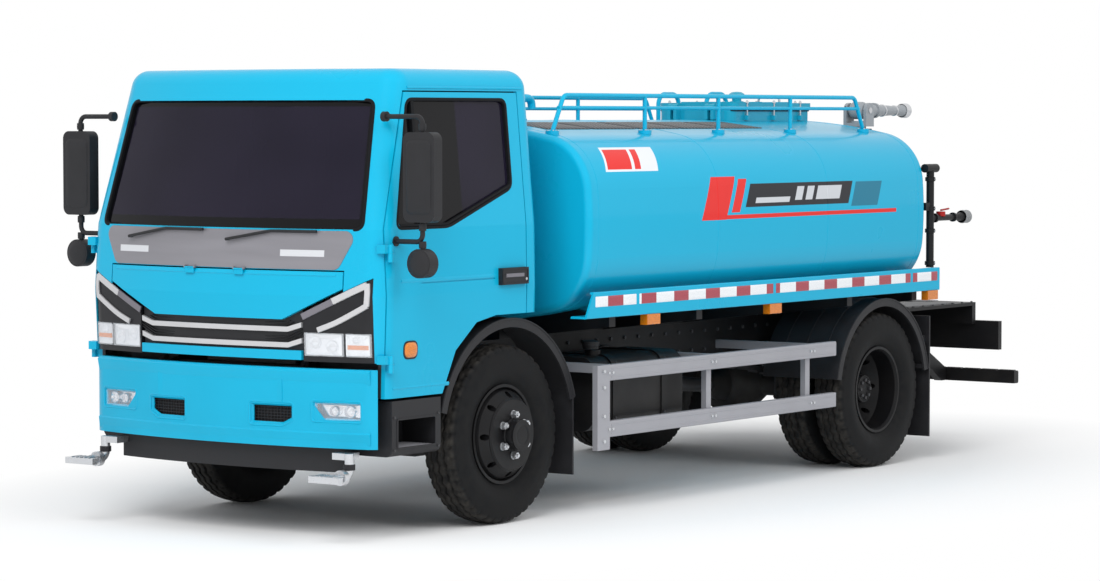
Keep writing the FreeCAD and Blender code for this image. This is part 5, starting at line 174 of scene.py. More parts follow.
def corners_rounded(points, radius, steps=6, closed=True):
    """Outline with each corner cut back by radius and bent through it by a parabola."""
    p = np.asarray(points, float)
    back, ahead = np.roll(p, 1, axis=0) - p, np.roll(p, -1, axis=0) - p
    back /= np.linalg.norm(back, axis=1)[:, None]
    ahead /= np.linalg.norm(ahead, axis=1)[:, None]
    t = np.linspace(0, 1, steps)[None, :, None]
    first, last = (p + back * radius)[:, None], (p + ahead * radius)[:, None]
    bend = (1 - t) ** 2 * first + 2 * t * (1 - t) * p[:, None] + t ** 2 * last
    if closed:
        return bend.reshape(-1, p.shape[1])
    return np.concatenate((p[:1], bend[1:-1].reshape(-1, p.shape[1]), p[-1:]))


def edge_normals(path, closed):
    """Mitred normals of a flat line: each is as long as keeps the width even in a bend."""
    ahead = np.roll(path, -1, axis=0) - path
    if not closed:
        ahead[-1] = ahead[-2]
    ahead /= np.maximum(np.linalg.norm(ahead, axis=1), 1e-9)[:, None]
    behind = np.roll(ahead, 1, axis=0)
    if not closed:
        behind[0] = ahead[0]
    normals = np.stack((ahead[:, 1], -ahead[:, 0]), axis=1)
    others = np.stack((behind[:, 1], -behind[:, 0]), axis=1)
    total = normals + others
    return total / np.maximum(1 + np.sum(normals * others, axis=1), 0.3)[:, None]


def moulding(points, closed):
    """Patch through the rings of a moulding, closed round or drawn in to each end's middle."""
    if not closed:
        ends = [np.broadcast_to(ring.mean(axis=0), ring.shape)[None]
                for ring in (points[0], points[-1])]
        points = np.concatenate((ends[0], points, ends[1]))
    return grid(points, wrap_rows=closed, wrap_columns=True)


def relief(path, section, lift, closed=False):
    """Moulding on a surface: a section of (across, height) is carried along a flat line,
    and lift gives the point in space for (line + across) at that height."""
    path, section = np.asarray(path, float), np.asarray(section, float)
    normals = edge_normals(path, closed)
    u = path[:, None, 0] + normals[:, None, 0] * section[None, :, 0]
    v = path[:, None, 1] + normals[:, None, 1] * section[None, :, 0]
    return moulding(lift(u, v, np.broadcast_to(section[None, :, 1], u.shape)), closed)


def pad(outline, profile, lift):
    """Plate on a surface: the outline is scaled about its middle by each (scale, height)
    of the profile, and lift gives each ring's points in space."""
    outline, profile = np.asarray(outline, float), np.asarray(profile, float)
    low, high = outline.min(axis=0), outline.max(axis=0)
    middle = (low + high) / 2
    rings = middle + (outline[None] - middle) * profile[:, 0][:, None, None]
    h = np.broadcast_to(profile[:, 1][:, None], rings.shape[:2])
    return grid(lift(rings[..., 0], rings[..., 1], h), wrap_columns=True)


def sweep(path, section, up, closed=False):
    """Section of (side, rise) carried along a line in space; side is tangent x up."""
    path, section = np.asarray(path, float), np.asarray(section, float)
    tangent = np.gradient(path, axis=0)
    if closed:
        tangent = np.roll(path, -1, axis=0) - np.roll(path, 1, axis=0)
    tangent /= np.linalg.norm(tangent, axis=1)[:, None]
    side = np.cross(tangent, np.asarray(up, float))
    side /= np.linalg.norm(side, axis=1)[:, None]
    rise = np.cross(side, tangent)
    return moulding(path[:, None] + side[:, None] * section[None, :, :1]
                    + rise[:, None] * section[None, :, 1:], closed)


def circle(radius, count=12, phase=0.0, flat=1.0):
    """Points evenly round a circle, or a closed round section; flat scales its rise."""
    a = phase + np.arange(count) * 2 * math.pi / count
    return np.stack((radius * np.cos(a), radius * flat * np.sin(a)), axis=1)


def spots(centre, radius, count, phase=0.0, axis=2):
    """Places evenly round a circle about a centre; the axis is 0 for x, 1 for y, 2 for z."""
    return np.insert(circle(radius, count, phase), axis, 0.0, axis=1) + centre


def bar_section(width, low, high, soft):
    """Closed section of a flat bar, width across, from low to high, with soft edges."""
    half = width / 2
    return np.array([(-half, low), (half, low), (half, high - soft), (half - soft, high),
                     (-half + soft, high), (-half, high - soft)])


def band(inner, outer, half, soft):
    """Profile of a ring round an axis, from one end to the other, with sloped edges."""
    return [(inner, -half), (outer, soft - half), (outer, half - soft), (inner, half)]


def plate_profile(low, high, soft, size):
    """Rings of a closed plate: flat below, a soft upper edge, then in to its middle."""
    shrink = 1 - 2 * soft / size
    return [(0, low), (1, low), (1, high - soft), (shrink, high), (shrink * 0.5, high),
            (0, high)]


def box_loop(u0, u1, v0, v1, radius=0.0, steps=5):
    """Rectangle from (u0, v0) to (u1, v1) with round corners."""
    loop = [(u0, v0), (u1, v0), (u1, v1), (u0, v1)]
    return corners_rounded(loop, radius, steps) if radius else np.array(loop)


# Surfaces of the truck, as lifts from two coordinates and a height

def hull_front(x, z, out=0.0):
    """Y of the cab's bowed front: its place at z, less the arc's rise, less out."""
    return AXLE1 - np.interp(z, HULL_Z, HULL_AHEAD) + FRONT_ARC - np.sqrt(
        FRONT_ARC ** 2 - x ** 2) - out


def on_front(u, v, h):
    """Point on the cab's front at x = u and z = v."""
    return np.stack((u, hull_front(u, v, h), v), axis=-1)


def on_bumper(u, v, h):
    """Point on the bumper's upright front at x = u and z = v."""
    return np.stack((u, hull_front(u, np.full_like(v, HULL_Z[0]), h), v), axis=-1)


def on_side(side):
    """Lift for the cab's side at y = u and z = v."""
    return lambda u, v, h: np.stack((side * (np.interp(v, HULL_Z, HULL_HALF) + h), u, v), axis=-1)


def on_crown(u, v, h):
    """Point on the tank's crown at x = u and y = v: the arc's height at x plus h."""
    return np.stack((u, v, TANK_TOP - TANK_CROWN + np.sqrt(TANK_CROWN ** 2 - u ** 2) + h), axis=-1)


def on_plane(origin, across, upward, outward):
    """Lift for a flat face given by its origin and three directions."""
    base = [np.asarray(value, float) for value in (origin, across, upward, outward)]
    return lambda u, v, h: (base[0] + u[..., None] * base[1] + v[..., None] * base[2]
                            + h[..., None] * base[3])


def level(z, y=0.0):
    """Lift from a flat face at z that looks up."""
    return on_plane((0, y, z), LEFT, REAR, UP)


def upright(x, y, way=1):
    """Lift from a flat face at y that looks to the rear, or to the front with way -1."""
    return on_plane((x, y, 0), LEFT, UP, (0, way, 0))


def beside(side, x):
    """Lift from a flat face that looks outwards at a distance x from the middle."""
    return on_plane((side * x, 0, 0), REAR, UP, (side, 0, 0))


# Making pieces

def make(name, body, slot, *parts, sharp=40.0):
    """Mesh object that rides on a body, of pairs of a finish's name and what it covers, which
    is a patch or a list of them; doubles merged, faces turned outwards, shaded smooth."""
    mesh = bpy.data.meshes.new(name)
    patches = [join(part) if isinstance(part, list) else part for part, finish in parts]
    points, quads = join(patches)
    mesh.from_pydata(points.tolist(), [], quads.tolist())
    index = np.repeat(np.arange(len(parts)), [len(faces) for corners, faces in patches])
    mesh.polygons.foreach_set("material_index", index.astype(np.int32))
    for part, finish in parts:
        mesh.materials.append(FINISH[finish])
    work = bmesh.new()
    work.from_mesh(mesh)
    bmesh.ops.remove_doubles(work, verts=work.verts, dist=2e-6)
    bmesh.ops.dissolve_degenerate(work, edges=work.edges, dist=1e-7)
    bmesh.ops.recalc_face_normals(work, faces=work.faces)
    work.to_mesh(mesh)
    work.free()
    mesh.shade_smooth()
    mesh.set_sharp_from_angle(angle=math.radians(sharp))
    piece = bpy.data.objects.new(name, mesh)
    bpy.context.scene.collection.objects.link(piece)
    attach(piece, body)
    return piece


def block(low, high, soft=0.003):
    """Box between two corners, with its upright corners and its top edges softened."""
    low, high = np.minimum(low, high), np.maximum(low, high)
    loop = box_loop(low[0], high[0], low[1], high[1], soft)
    return pad(loop, plate_profile(low[2], high[2], soft / 2, min((high - low)[:2])), level(0))


def lump(centre, halves, soft=0.003):
    """Box round a centre, given by half its sizes."""
    return block(np.subtract(centre, halves), np.add(centre, halves), soft)


def rib(line, width, low, high, soft, lift, closed=False):
    """Flat bar along a line on a surface, from a low to a high height."""
    return relief(line, bar_section(width, low, high, soft), lift, closed)


def plate(loop, low, high, soft, size, lift):
    """Flat plate on a surface, from a low to a high height."""
    return pad(loop, plate_profile(low, high, soft, size), lift)


def tube(path, radius, bend=0.0, up=UP, sides=12):
    """Round bar along a line in space, bent through its corners."""
    line = corners_rounded(path, bend, 6, closed=False) if bend else np.asarray(path, float)
    return sweep(line, circle(radius, sides), up)


def turned(profile, places, direction, sides=24):
    """Surface of revolution set down at one place or several, its axis along a direction."""
    return copies(lathe(profile, sides), places, facing(direction))


def disc(radius, height, places, direction, soft=0.002, sides=24):
    """Round boss of a given height with a soft edge."""
    return turned([(0, -SEAT), (radius, -SEAT), (radius, height - soft), (radius - soft, height),
                   (0, height)], places, direction, sides)


def bolts(width, places, direction, height=None):
    """Bolts of one size at one place or several, seated into the face."""
    way = np.asarray(direction, float)
    return copies(bolt(width, height or width * 0.55), np.asarray(places) - way * SEAT,
                  facing(way))


def mirrored(loop, side):
    """A flat loop for the left, or the same turned over for the right."""
    loop = np.asarray(loop)
    return loop if side > 0 else loop[::-1] * (-1, 1)


def bolt(width, height):
    """Hexagon head on a round washer, with its upper edge chamfered."""
    across = width / math.sqrt(3)
    washer = lathe([(0, 0), (width * 0.62, 0), (width * 0.62, height * 0.16),
                    (across * 0.9, height * 0.16)], 12)
    head = lathe([(across, height * 0.12), (across, height * 0.82),
                  (across * 0.86, height), (0, height)], 6)
    return join([washer, head])


# Finishes

class Socket:
    """An output of a node; arithmetic on it adds Math nodes."""

    def __init__(self, finish, link):
        self.finish, self.link = finish, link

    def maths(self, operation, *others, clamp=False):
        """A Math node with this output first."""
        return self.finish.node("ShaderNodeMath", {"operation": operation, "use_clamp": clamp},
                                dict(enumerate((self,) + others)))

    def __rsub__(self, other):
        return self.maths("MULTIPLY", -1.0).maths("ADD", other)

    __add__ = __radd__ = partialmethod(maths, "ADD")
    __mul__ = __rmul__ = partialmethod(maths, "MULTIPLY")
    __sub__ = partialmethod(maths, "SUBTRACT")
    __truediv__ = partialmethod(maths, "DIVIDE")
    __pow__ = partialmethod(maths, "POWER")
    __mod__ = partialmethod(maths, "FLOORED_MODULO")
    __and__ = partialmethod(maths, "MINIMUM")
    __or__ = partialmethod(maths, "MAXIMUM")
    __abs__ = partialmethod(maths, "ABSOLUTE")

    def step(self, soft):
        """0 below zero and 1 above it, with a soft edge."""
        return (self / soft + 0.5).maths("ADD", 0.0, clamp=True)


class Tree:
    """A node tree, cleared, and the one way to make a node in it."""

    def __init__(self, tree):
        self.tree = tree
        tree.nodes.clear()

    def node(self, kind, settings=None, inputs=None, output=0):
        """A node of any type, with its settings first and then its sockets."""
        item = self.tree.nodes.new(kind)
        for key, value in (settings or {}).items():
            if key == "stops":
                self.set_stops(item.color_ramp, value)
            else:
                setattr(item, key, value)
        for key, value in (inputs or {}).items():
            if isinstance(value, Socket):
                self.tree.links.new(value.link, item.inputs[key])
            else:
                item.inputs[key].default_value = value
        return Socket(self, item.outputs[output]) if item.outputs else None

    def set_stops(self, ramp, stops):
        """Puts (place, grey) stops on a ramp."""
        while len(ramp.elements) < len(stops):
            ramp.elements.new(1.0)
        for element, (place, grey) in zip(ramp.elements, stops):
            element.position = place
            element.color = (grey, grey, grey, 1)


class Finish(Tree):
    """One material round a Principled shader."""

    def __init__(self, name, **constants):
        self.material = bpy.data.materials.new(name)
        self.material.use_nodes = True
        super().__init__(self.material.node_tree)
        self.shader = self.tree.nodes.new("ShaderNodeBsdfPrincipled")
        self.end = self.tree.nodes.new("ShaderNodeOutputMaterial")
        self.tree.links.new(self.shader.outputs[0], self.end.inputs[0])
        self.xyz = None
        self.set(**constants)

    def set(self, **values):
        """Values or links for the shader's sockets, named with underscores."""
        for key, value in values.items():
            socket = self.shader.inputs[key.replace("_", " ")]
            if isinstance(value, Socket):
                self.tree.links.new(value.link, socket)
            elif isinstance(value, (tuple, list)) and len(value) == 3 and socket.type == "RGBA":
                socket.default_value = (*value, 1)
            else:
                socket.default_value = value
        return self

    def place(self):
        """Object coordinates as x, y and z."""
        if self.xyz is None:
            where = self.node("ShaderNodeTexCoord", output=3)
            parts = self.tree.nodes.new("ShaderNodeSeparateXYZ")
            self.tree.links.new(where.link, parts.inputs[0])
            self.xyz = [Socket(self, parts.outputs[k]) for k in range(3)] + [where]
        return self.xyz[:3]

    def noise(self, scale, detail=3.0, stretch=None):
        """Noise in Object coordinates, finer by scale and drawn out by stretch."""
        self.place()
        where = self.xyz[3]
        if stretch:
            where = self.node("ShaderNodeMapping", inputs={0: where, 3: stretch})
        return self.node("ShaderNodeTexNoise", inputs={
            "Vector": where, "Scale": scale, "Detail": detail})

    def cells(self, scale):
        """Distance to the nearest Voronoi point."""
        self.place()
        return self.node("ShaderNodeTexVoronoi", {"feature": "F1"}, {
            "Vector": self.xyz[3], "Scale": scale})

    def ramp(self, value, *stops):
        """A value passed through grey stops."""
        return self.node("ShaderNodeValToRGB", {"stops": stops}, {0: value})

    def mix(self, mask, first, second):
        """Colour between first and second by a mask."""
        def colour(value):
            return value if isinstance(value, Socket) else (*value, 1)
        return self.node("ShaderNodeMix", {"data_type": "RGBA"}, {
            0: mask, 6: colour(first), 7: colour(second)}, output=2)

    def bump(self, height, distance, strength=1.0):
        """Normal from a height pattern of a given depth."""
        return self.set(Normal=self.node("ShaderNodeBump", inputs={
            "Strength": strength, "Distance": distance, "Height": height}))

    def between(self, value, low, high, soft=0.002):
        """1 where a value lies between two limits."""
        return (value - low).step(soft) & (high - value).step(soft)


def shade(colour, amount):
    """A colour made darker or lighter by a factor."""
    return tuple(min(1.0, channel * amount) for channel in colour)


def low_dust_and_shade(finish, colour, low_tint, height, amount=0.35, patch=3.0):
    """Colour mixed in patches towards a second colour low down, fading out towards a height: road
    dust where that colour is dust, painted shade where it is a darker copy of the colour.
    """
    x, y, z = finish.place()
    spread = finish.ramp(finish.noise(patch, 5.0), (0.35, 0.0), (0.7, 1.0))
    fade = (1.0 - z / height).maths("MAXIMUM", 0.0)
    return finish.mix(spread * fade * amount, colour, low_tint)


DUST = (0.16, 0.145, 0.125)


def body_paint(name, colour, marks=None):
    """Glossy paint under a clear coat, with a faint orange peel, a little road film in its gloss
    and painted shade: a darker copy of the paint, in patches, towards the bottom.
    """
    finish = Finish(name, Metallic=0.0, Coat_Roughness=0.04, IOR=1.45, Specular_IOR_Level=0.15)
    # Painted shade: the paint darkens in patches to 0.72 of itself, most at the bottom and gone by
    # 1.2 m.
    base = low_dust_and_shade(finish, colour, shade(colour, 0.72), 1.2, 0.5)
    if marks:
        base = marks(finish, base)
    film = finish.noise(2.2, 4.0)
    finish.set(Base_Color=base, Roughness=film * 0.10 + 0.24, Coat_Weight=0.22)
    return finish.bump(finish.noise(420.0, 1.0), 0.00012, 0.35).material


def satin_paint(name, colour, rough=0.42, low_tint=0.3, grain=160.0):
    """Satin chassis paint over rolled steel, with dust on its lower parts."""
    finish = Finish(name, Metallic=0.0, Specular_IOR_Level=0.25)
    base = low_dust_and_shade(finish, colour, DUST, 1.1, low_tint, 4.0)
    wear = finish.noise(9.0, 4.0)
    finish.set(Base_Color=base, Roughness=wear * 0.22 + (rough - 0.1))
    return finish.bump(finish.noise(grain, 3.0), 0.0006, 0.4).material


def moulded(name, colour, rough=0.5, grain=900.0):
    """Moulded plastic with a fine leather grain and slight scuffs."""
    finish = Finish(name, Metallic=0.0, Specular_IOR_Level=0.3)
    scuff = finish.ramp(finish.noise(14.0, 5.0), (0.45, 0.0), (0.75, 1.0))
    finish.set(Base_Color=finish.mix(scuff * 0.3, colour, shade(colour, 1.9)),
               Roughness=scuff * 0.12 + rough)
    return finish.bump(finish.cells(grain), 0.0003, 0.5).material


def rubber(name, colour, axle=None):
    """Tyre or seal rubber; round an axle it has fine rings and a dusty tread."""
    finish = Finish(name, Metallic=0.0, Specular_IOR_Level=0.12)
    x, y, z = finish.place()
    soft = finish.noise(30.0, 4.0)
    if axle is None:
        finish.set(Base_Color=finish.mix(soft, colour, shade(colour, 1.5)),
                   Roughness=soft * 0.2 + 0.5)
        return finish.bump(finish.noise(600.0, 2.0), 0.0002, 0.4).material
    radius = ((y - axle) * (y - axle) + (z - WHEEL_Z) * (z - WHEEL_Z)) ** 0.5
    tread = (radius - 0.468).step(0.02)
    grime = finish.ramp(finish.noise(22.0, 6.0), (0.35, 0.1), (0.75, 1.0))
    base = finish.mix(grime * tread * 0.22 + grime * 0.05, colour, DUST)
    rings = (radius * 900.0).maths("SINE")
    finish.set(Base_Color=base, Roughness=grime * 0.18 + 0.55)
    return finish.bump(rings * 0.25 + finish.noise(260.0, 3.0), 0.0005, 0.5).material


def metal(name, colour, rough, stretch=(1, 1, 1), grain=120.0, metallic=0.9):
    """Bare metal with drawn-out streaks along its length."""
    finish = Finish(name, Metallic=metallic)
    streak = finish.noise(grain, 3.0, stretch)
    cloud = finish.noise(5.0, 3.0)
    finish.set(Base_Color=finish.mix(cloud * 0.5, colour, shade(colour, 0.78)),
               Roughness=streak * 0.2 + rough)
    return finish.bump(streak, 0.0002, 0.35).material


def tinted_glass(name, opacity):
    """Dark glass, faintly violet, with a black printed edge on the windscreen; its near-black,
    nearly opaque pane is partly tint and partly painted shade of the cab's inside.
    """
    finish = Finish(name, Roughness=0.03, IOR=1.5, Metallic=0.0, Specular_IOR_Level=0.16)
    x, y, z = finish.place()
    half = 0.900 - (z - 1.620) * 0.0932
    rim = (abs(x) - half + 0.034).step(0.003) | (1.672 - z).step(0.003) | (z - 2.252).step(0.003)
    edge = rim & (-2.6 - y).step(0.01)
    cloud = finish.noise(1.3, 2.0)
    # Painted shade: near-black, nearly opaque glass stands in for the dim inside of the cab, partly
    # a real tint.
    finish.set(Base_Color=finish.mix(edge, finish.mix(cloud, (0.006, 0.005, 0.012),
                                                      (0.022, 0.018, 0.036)),
                                     (0.004, 0.004, 0.005)),
               Alpha=edge * (1.0 - opacity) + opacity)
    return finish.material


def clear_lens(name, colour=(0.85, 0.88, 0.92), opacity=0.22):
    """Clear moulded lens with faint upright flutes."""
    finish = Finish(name, Roughness=0.04, IOR=1.49, Metallic=0.0)
    flutes = (finish.place()[0] * 700.0).maths("SINE")
    finish.set(Base_Color=colour, Alpha=finish.noise(3.0, 1.0) * 0.06 + opacity)
    return finish.bump(flutes, 0.0003, 0.2).material


def coloured_lens(name, colour):
    """Coloured lens over small square reflectors."""
    finish = Finish(name, Roughness=0.12, IOR=1.49, Coat_Weight=0.6)
    cell = finish.cells(260.0)
    finish.set(Base_Color=finish.mix(cell, shade(colour, 1.25), shade(colour, 0.55)))
    return finish.bump(cell, 0.0006, 0.5).material


def woven(name, colour):
    """Seat cloth: over-and-under ribs of two crossing sines, with a slight nap."""
    finish = Finish(name, Roughness=0.85, Sheen_Weight=0.35, Sheen_Roughness=0.5)
    x, y, z = finish.place()
    weave = (x * 1400.0).maths("SINE") * ((y + z) * 1400.0).maths("SINE")
    nap = finish.noise(60.0, 4.0)
    finish.set(Base_Color=finish.mix(weave * 0.4 + nap * 0.5, colour, shade(colour, 2.2)))
    return finish.bump(weave, 0.0006, 0.6).material


def castings(name, colour):
    """Rough sand casting with oil-dark hollows."""
    finish = Finish(name, Metallic=0.3)
    pores = finish.cells(140.0)
    oil = finish.ramp(finish.noise(6.0, 5.0), (0.4, 0.0), (0.65, 1.0))
    finish.set(Base_Color=finish.mix(oil * 0.6, colour, shade(colour, 0.3)),
               Roughness=oil * -0.15 + 0.6)
    return finish.bump(pores, 0.0012, 0.5).material


def grey_panel(name, colour):
    """Grey panel under the windscreen, with two plain pale bars and a painted sheen: lighter and
    darker streaks in its colour.
    """
    finish = Finish(name, Metallic=0.25, Coat_Weight=0.2)
    x, y, z = finish.place()
    bars = ((finish.between(x, -0.735, -0.500) | finish.between(x, 0.425, 0.690))
            & finish.between(z, 1.478, 1.512))
    # Painted sheen: streaks of lighter and darker grey in the colour, which also vary the
    # roughness.
    painted_sheen = finish.noise(3.0, 2.0, (0.4, 1, 4))
    finish.set(Base_Color=finish.mix(bars, finish.mix(painted_sheen, shade(colour, 0.8),
                                                      shade(colour, 1.25)),
                                     (0.62, 0.63, 0.66)),
               Roughness=painted_sheen * 0.1 + 0.3)
    return finish.bump(finish.cells(1200.0), 0.00015, 0.3).material


def cab_lining(finish, base):
    """Trim grey inside the cab: where the depth under its rounded outer skin passes a margin.

    The depth is the edge radius less the length of (radius - depth under each face)."""
    x, y, z = finish.place()
    edge, margin = 0.12, 0.016
    above = (z - HULL_Z[2]).maths("MAXIMUM", 0.0)
    half = 1.010 - above * 0.0928
    ahead = (HULL_AHEAD[1] - (z - HULL_Z[1]).maths("MAXIMUM", 0.0) * 0.0754 - above * 0.2114
             - (HULL_Z[1] - z).maths("MAXIMUM", 0.0) * 0.0343)
    depths = (half - abs(x), y - AXLE1 + ahead - x * x / (2 * FRONT_ARC), CAB_BACK - y,
              HULL_Z[3] - z)
    total = 0.0
    for depth in depths:
        short = (edge - depth).maths("MAXIMUM", 0.0)
        total = short * short + total
    inside = (edge - margin - total.maths("SQRT")).step(0.003)
    return finish.mix(inside, base, finish.mix(finish.noise(5.0, 3.0), (0.030, 0.030, 0.033),
                                               (0.040, 0.040, 0.044)))


def tank_marks(red):
    """Marks on the tank's flanks: slanted red bars, a dark band with pale bars, a teal block,
    a thin red line and a pale capsule with two red bars."""
    def paint(finish, base):
        x, y, z = finish.place()
        flank = (abs(x) - 0.95).step(0.004)
        lean = y - (z - 1.73) * 0.45
        def bar(y0, y1, z0, z1):
            return finish.between(lean, y0, y1) & finish.between(z, z0, z1) & flank
        band = bar(0.02, 1.20, 1.668, 1.805)
        grey = (bar(0.12, 0.50, 1.690, 1.722) | bar(0.56, 0.64, 1.700, 1.782)
                | bar(0.68, 0.76, 1.700, 1.782) | bar(0.80, 1.08, 1.700, 1.782))
        reds = (bar(-0.42, -0.16, 1.600, 1.850) | bar(-0.12, -0.03, 1.640, 1.835)
                | (finish.between(y, -0.30, 1.76) & finish.between(z, 1.602, 1.626) & flank))
        teal = bar(1.24, 1.56, 1.650, 1.800)
        cap_red = bar(-1.46, -1.22, 1.905, 2.015) | bar(-1.19, -1.13, 1.905, 2.015)
        cap_white = bar(-1.48, -0.96, 1.893, 2.027)
        base = finish.mix(teal, base, (0.004, 0.17, 0.27))
        base = finish.mix(reds, base, red)
        base = finish.mix(band, base, (0.012, 0.013, 0.018))
        base = finish.mix(grey, base, (0.55, 0.57, 0.60))
        base = finish.mix(cap_white, base, (0.72, 0.74, 0.78))
        return finish.mix(cap_red, base, red)
    return paint


def reflecting_tape(name):
    """White and dull red lengths in turn, over a honeycomb of small cells."""
    finish = Finish(name, Metallic=0.0, Coat_Weight=0.3)
    x, y, z = finish.place()
    red = ((y + 1.66) % 0.33 - 0.18).step(0.002)
    comb = finish.cells(210.0)
    finish.set(Base_Color=finish.mix(red, finish.mix(comb, (0.88, 0.90, 0.92), (0.66, 0.68, 0.71)),
                                     finish.mix(comb, (0.44, 0.05, 0.07), (0.24, 0.02, 0.04))),
               Roughness=comb * 0.2 + 0.25)
    return finish.bump(comb, 0.0003, 0.4).material


def tread_plate(name, colour):
    """Chequer plate: short bars at right angles in turn, raised and rubbed bright."""
    finish = Finish(name, Metallic=0.5)
    x, y, z = finish.place()
    u, v = (x + y) * 28.0, (x - y) * 28.0
    def bars(first, second):
        near = abs((first % 1.0) - 0.5)
        along = abs((second % 1.0) - 0.5)
        return (0.12 - near).step(0.05) & (0.38 - along).step(0.05)
    turn = (((u.maths("FLOOR") + v.maths("FLOOR")) % 2.0) - 0.5).step(0.1)
    raised = bars(u, v) * turn + bars(v, u) * (1.0 - turn)
    finish.set(Base_Color=finish.mix(raised, colour, shade(colour, 3.0)),
               Roughness=raised * -0.2 + 0.55)
    return finish.bump(raised, 0.0015, 0.7).material


def all_finishes(colours):
    """The material of each slot of the record, and those of the scene's own pieces."""
    body = tuple(colours.body)
    return {
        "blue_paint": body_paint("body_blue", body),
        "cab_paint": body_paint("cab_blue", body, cab_lining),
        "tank_paint": body_paint("tank_blue", body, tank_marks(tuple(colours.red))),
        "turquoise_paint": body_paint("fittings_turquoise", tuple(colours.fittings)),
        "black_paint": satin_paint("chassis_black", (0.007, 0.007, 0.008), 0.42, 0.12),
        "axle_paint": satin_paint("axle_black", (0.022, 0.022, 0.024), 0.5, 0.5, 90.0),
        "rim_paint": satin_paint("rim_black", (0.005, 0.005, 0.006), 0.45, 0.05, 200.0),
        "spring_steel": metal("spring_leaf", (0.07, 0.07, 0.075), 0.45, (1, 0.1, 1), 90.0, 0.6),
        "cast_block": castings("engine_casting", (0.10, 0.10, 0.105)),
        "grey_paint": body_paint("pump_grey", (0.30, 0.32, 0.34)),
        "guard_aluminium": metal("guard_rail", tuple(colours.guard), 0.38, (1, 0.03, 1), 160.0,
                                 0.35),
        "bright_metal": metal("bright_steel", (0.66, 0.67, 0.69), 0.2, (1, 1, 0.2), 200.0),
        "chrome_trim": metal("bright_trim", (0.58, 0.575, 0.585), 0.25, (0.1, 1, 1), 90.0, 0.35),
        "blade_grey": metal("blade_grey", (0.20, 0.19, 0.215), 0.3, (0.1, 1, 1), 90.0, 0.4),
        "black_plastic": moulded("black_moulding", (0.016, 0.016, 0.018)),
        "black_gloss": moulded("lamp_housing", (0.010, 0.010, 0.012), 0.15, 2500.0),
        "grey_plastic": grey_panel("screen_panel", (0.21, 0.205, 0.225)),
        # Glass at 0.86 and 0.90 opacity: partly tint, partly painted shade of the cab's inside.
        "tinted_glass": tinted_glass("screen_glass", 0.86),
        "door_glass": tinted_glass("side_glass", 0.90),
        "lamp_glass": clear_lens("lamp_lens"),
        "red_lens": coloured_lens("rear_lens_red", (0.45, 0.010, 0.012)),
        "amber_lens": coloured_lens("marker_lens_amber", (0.70, 0.20, 0.010)),
        "tyre_rubber": rubber("seal_rubber", tuple(colours.rubber)),
        "tyre_front": rubber("tyre_rubber_front", tuple(colours.rubber), AXLE1),
        "tyre_rear": rubber("tyre_rubber_rear", tuple(colours.rubber), AXLE2),
        "cab_trim": moulded("cab_inside", (0.045, 0.045, 0.05), 0.6, 700.0),
        "seat_cloth": woven("seat_weave", (0.045, 0.045, 0.052)),
        "reflector": metal("reflector_bowl", (0.86, 0.87, 0.90), 0.05, metallic=1.0),
        "tape": reflecting_tape("reflecting_tape"),
        "lamp_white": coloured_lens("lamp_lens_white", (0.62, 0.64, 0.66)),
        "rear_tape": coloured_lens("rear_tape_red", (0.34, 0.012, 0.014)),
        "red_paint": satin_paint("valve_red", (0.34, 0.012, 0.010), 0.35, 0.1),
        "pump_metal": metal("cast_alloy", (0.30, 0.31, 0.32), 0.4, grain=150.0, metallic=0.5),
        "tread_plate": tread_plate("tread_plate", (0.05, 0.052, 0.056)),
        "mirror": metal("mirror_face", (0.80, 0.82, 0.85), 0.02, grain=20.0, metallic=1.0),
    }


FINISH = {}
NODE_FINISH = {
    "cab_shell": "cab_paint", "door_left": "cab_paint", "door_right": "cab_paint",
    "water_tank": "tank_paint", "door_glass_left": "door_glass", "door_glass_right": "door_glass",
    "tyre_front_left": "tyre_front", "tyre_front_right": "tyre_front",
    "tyres_rear_left": "tyre_rear", "tyres_rear_right": "tyre_rear",
}


class TANKER_OT_finishes(bpy.types.Operator):
    """Give every solid of the frame its finish"""

    bl_idname = "tanker.finishes"
    bl_label = "Finishes"

    def execute(self, context):
        FINISH.update(all_finishes(context.scene.tanker_colours))
        slots = {part["node"]: part["material_slot"] for part in frame["record"]["subparts"]}
        for node, item in frame["nodes"].items():
            material = FINISH[NODE_FINISH.get(node, slots[node])]
            for number in range(len(item.material_slots)):
                item.material_slots[number].material = material
        return {"FINISHED"}


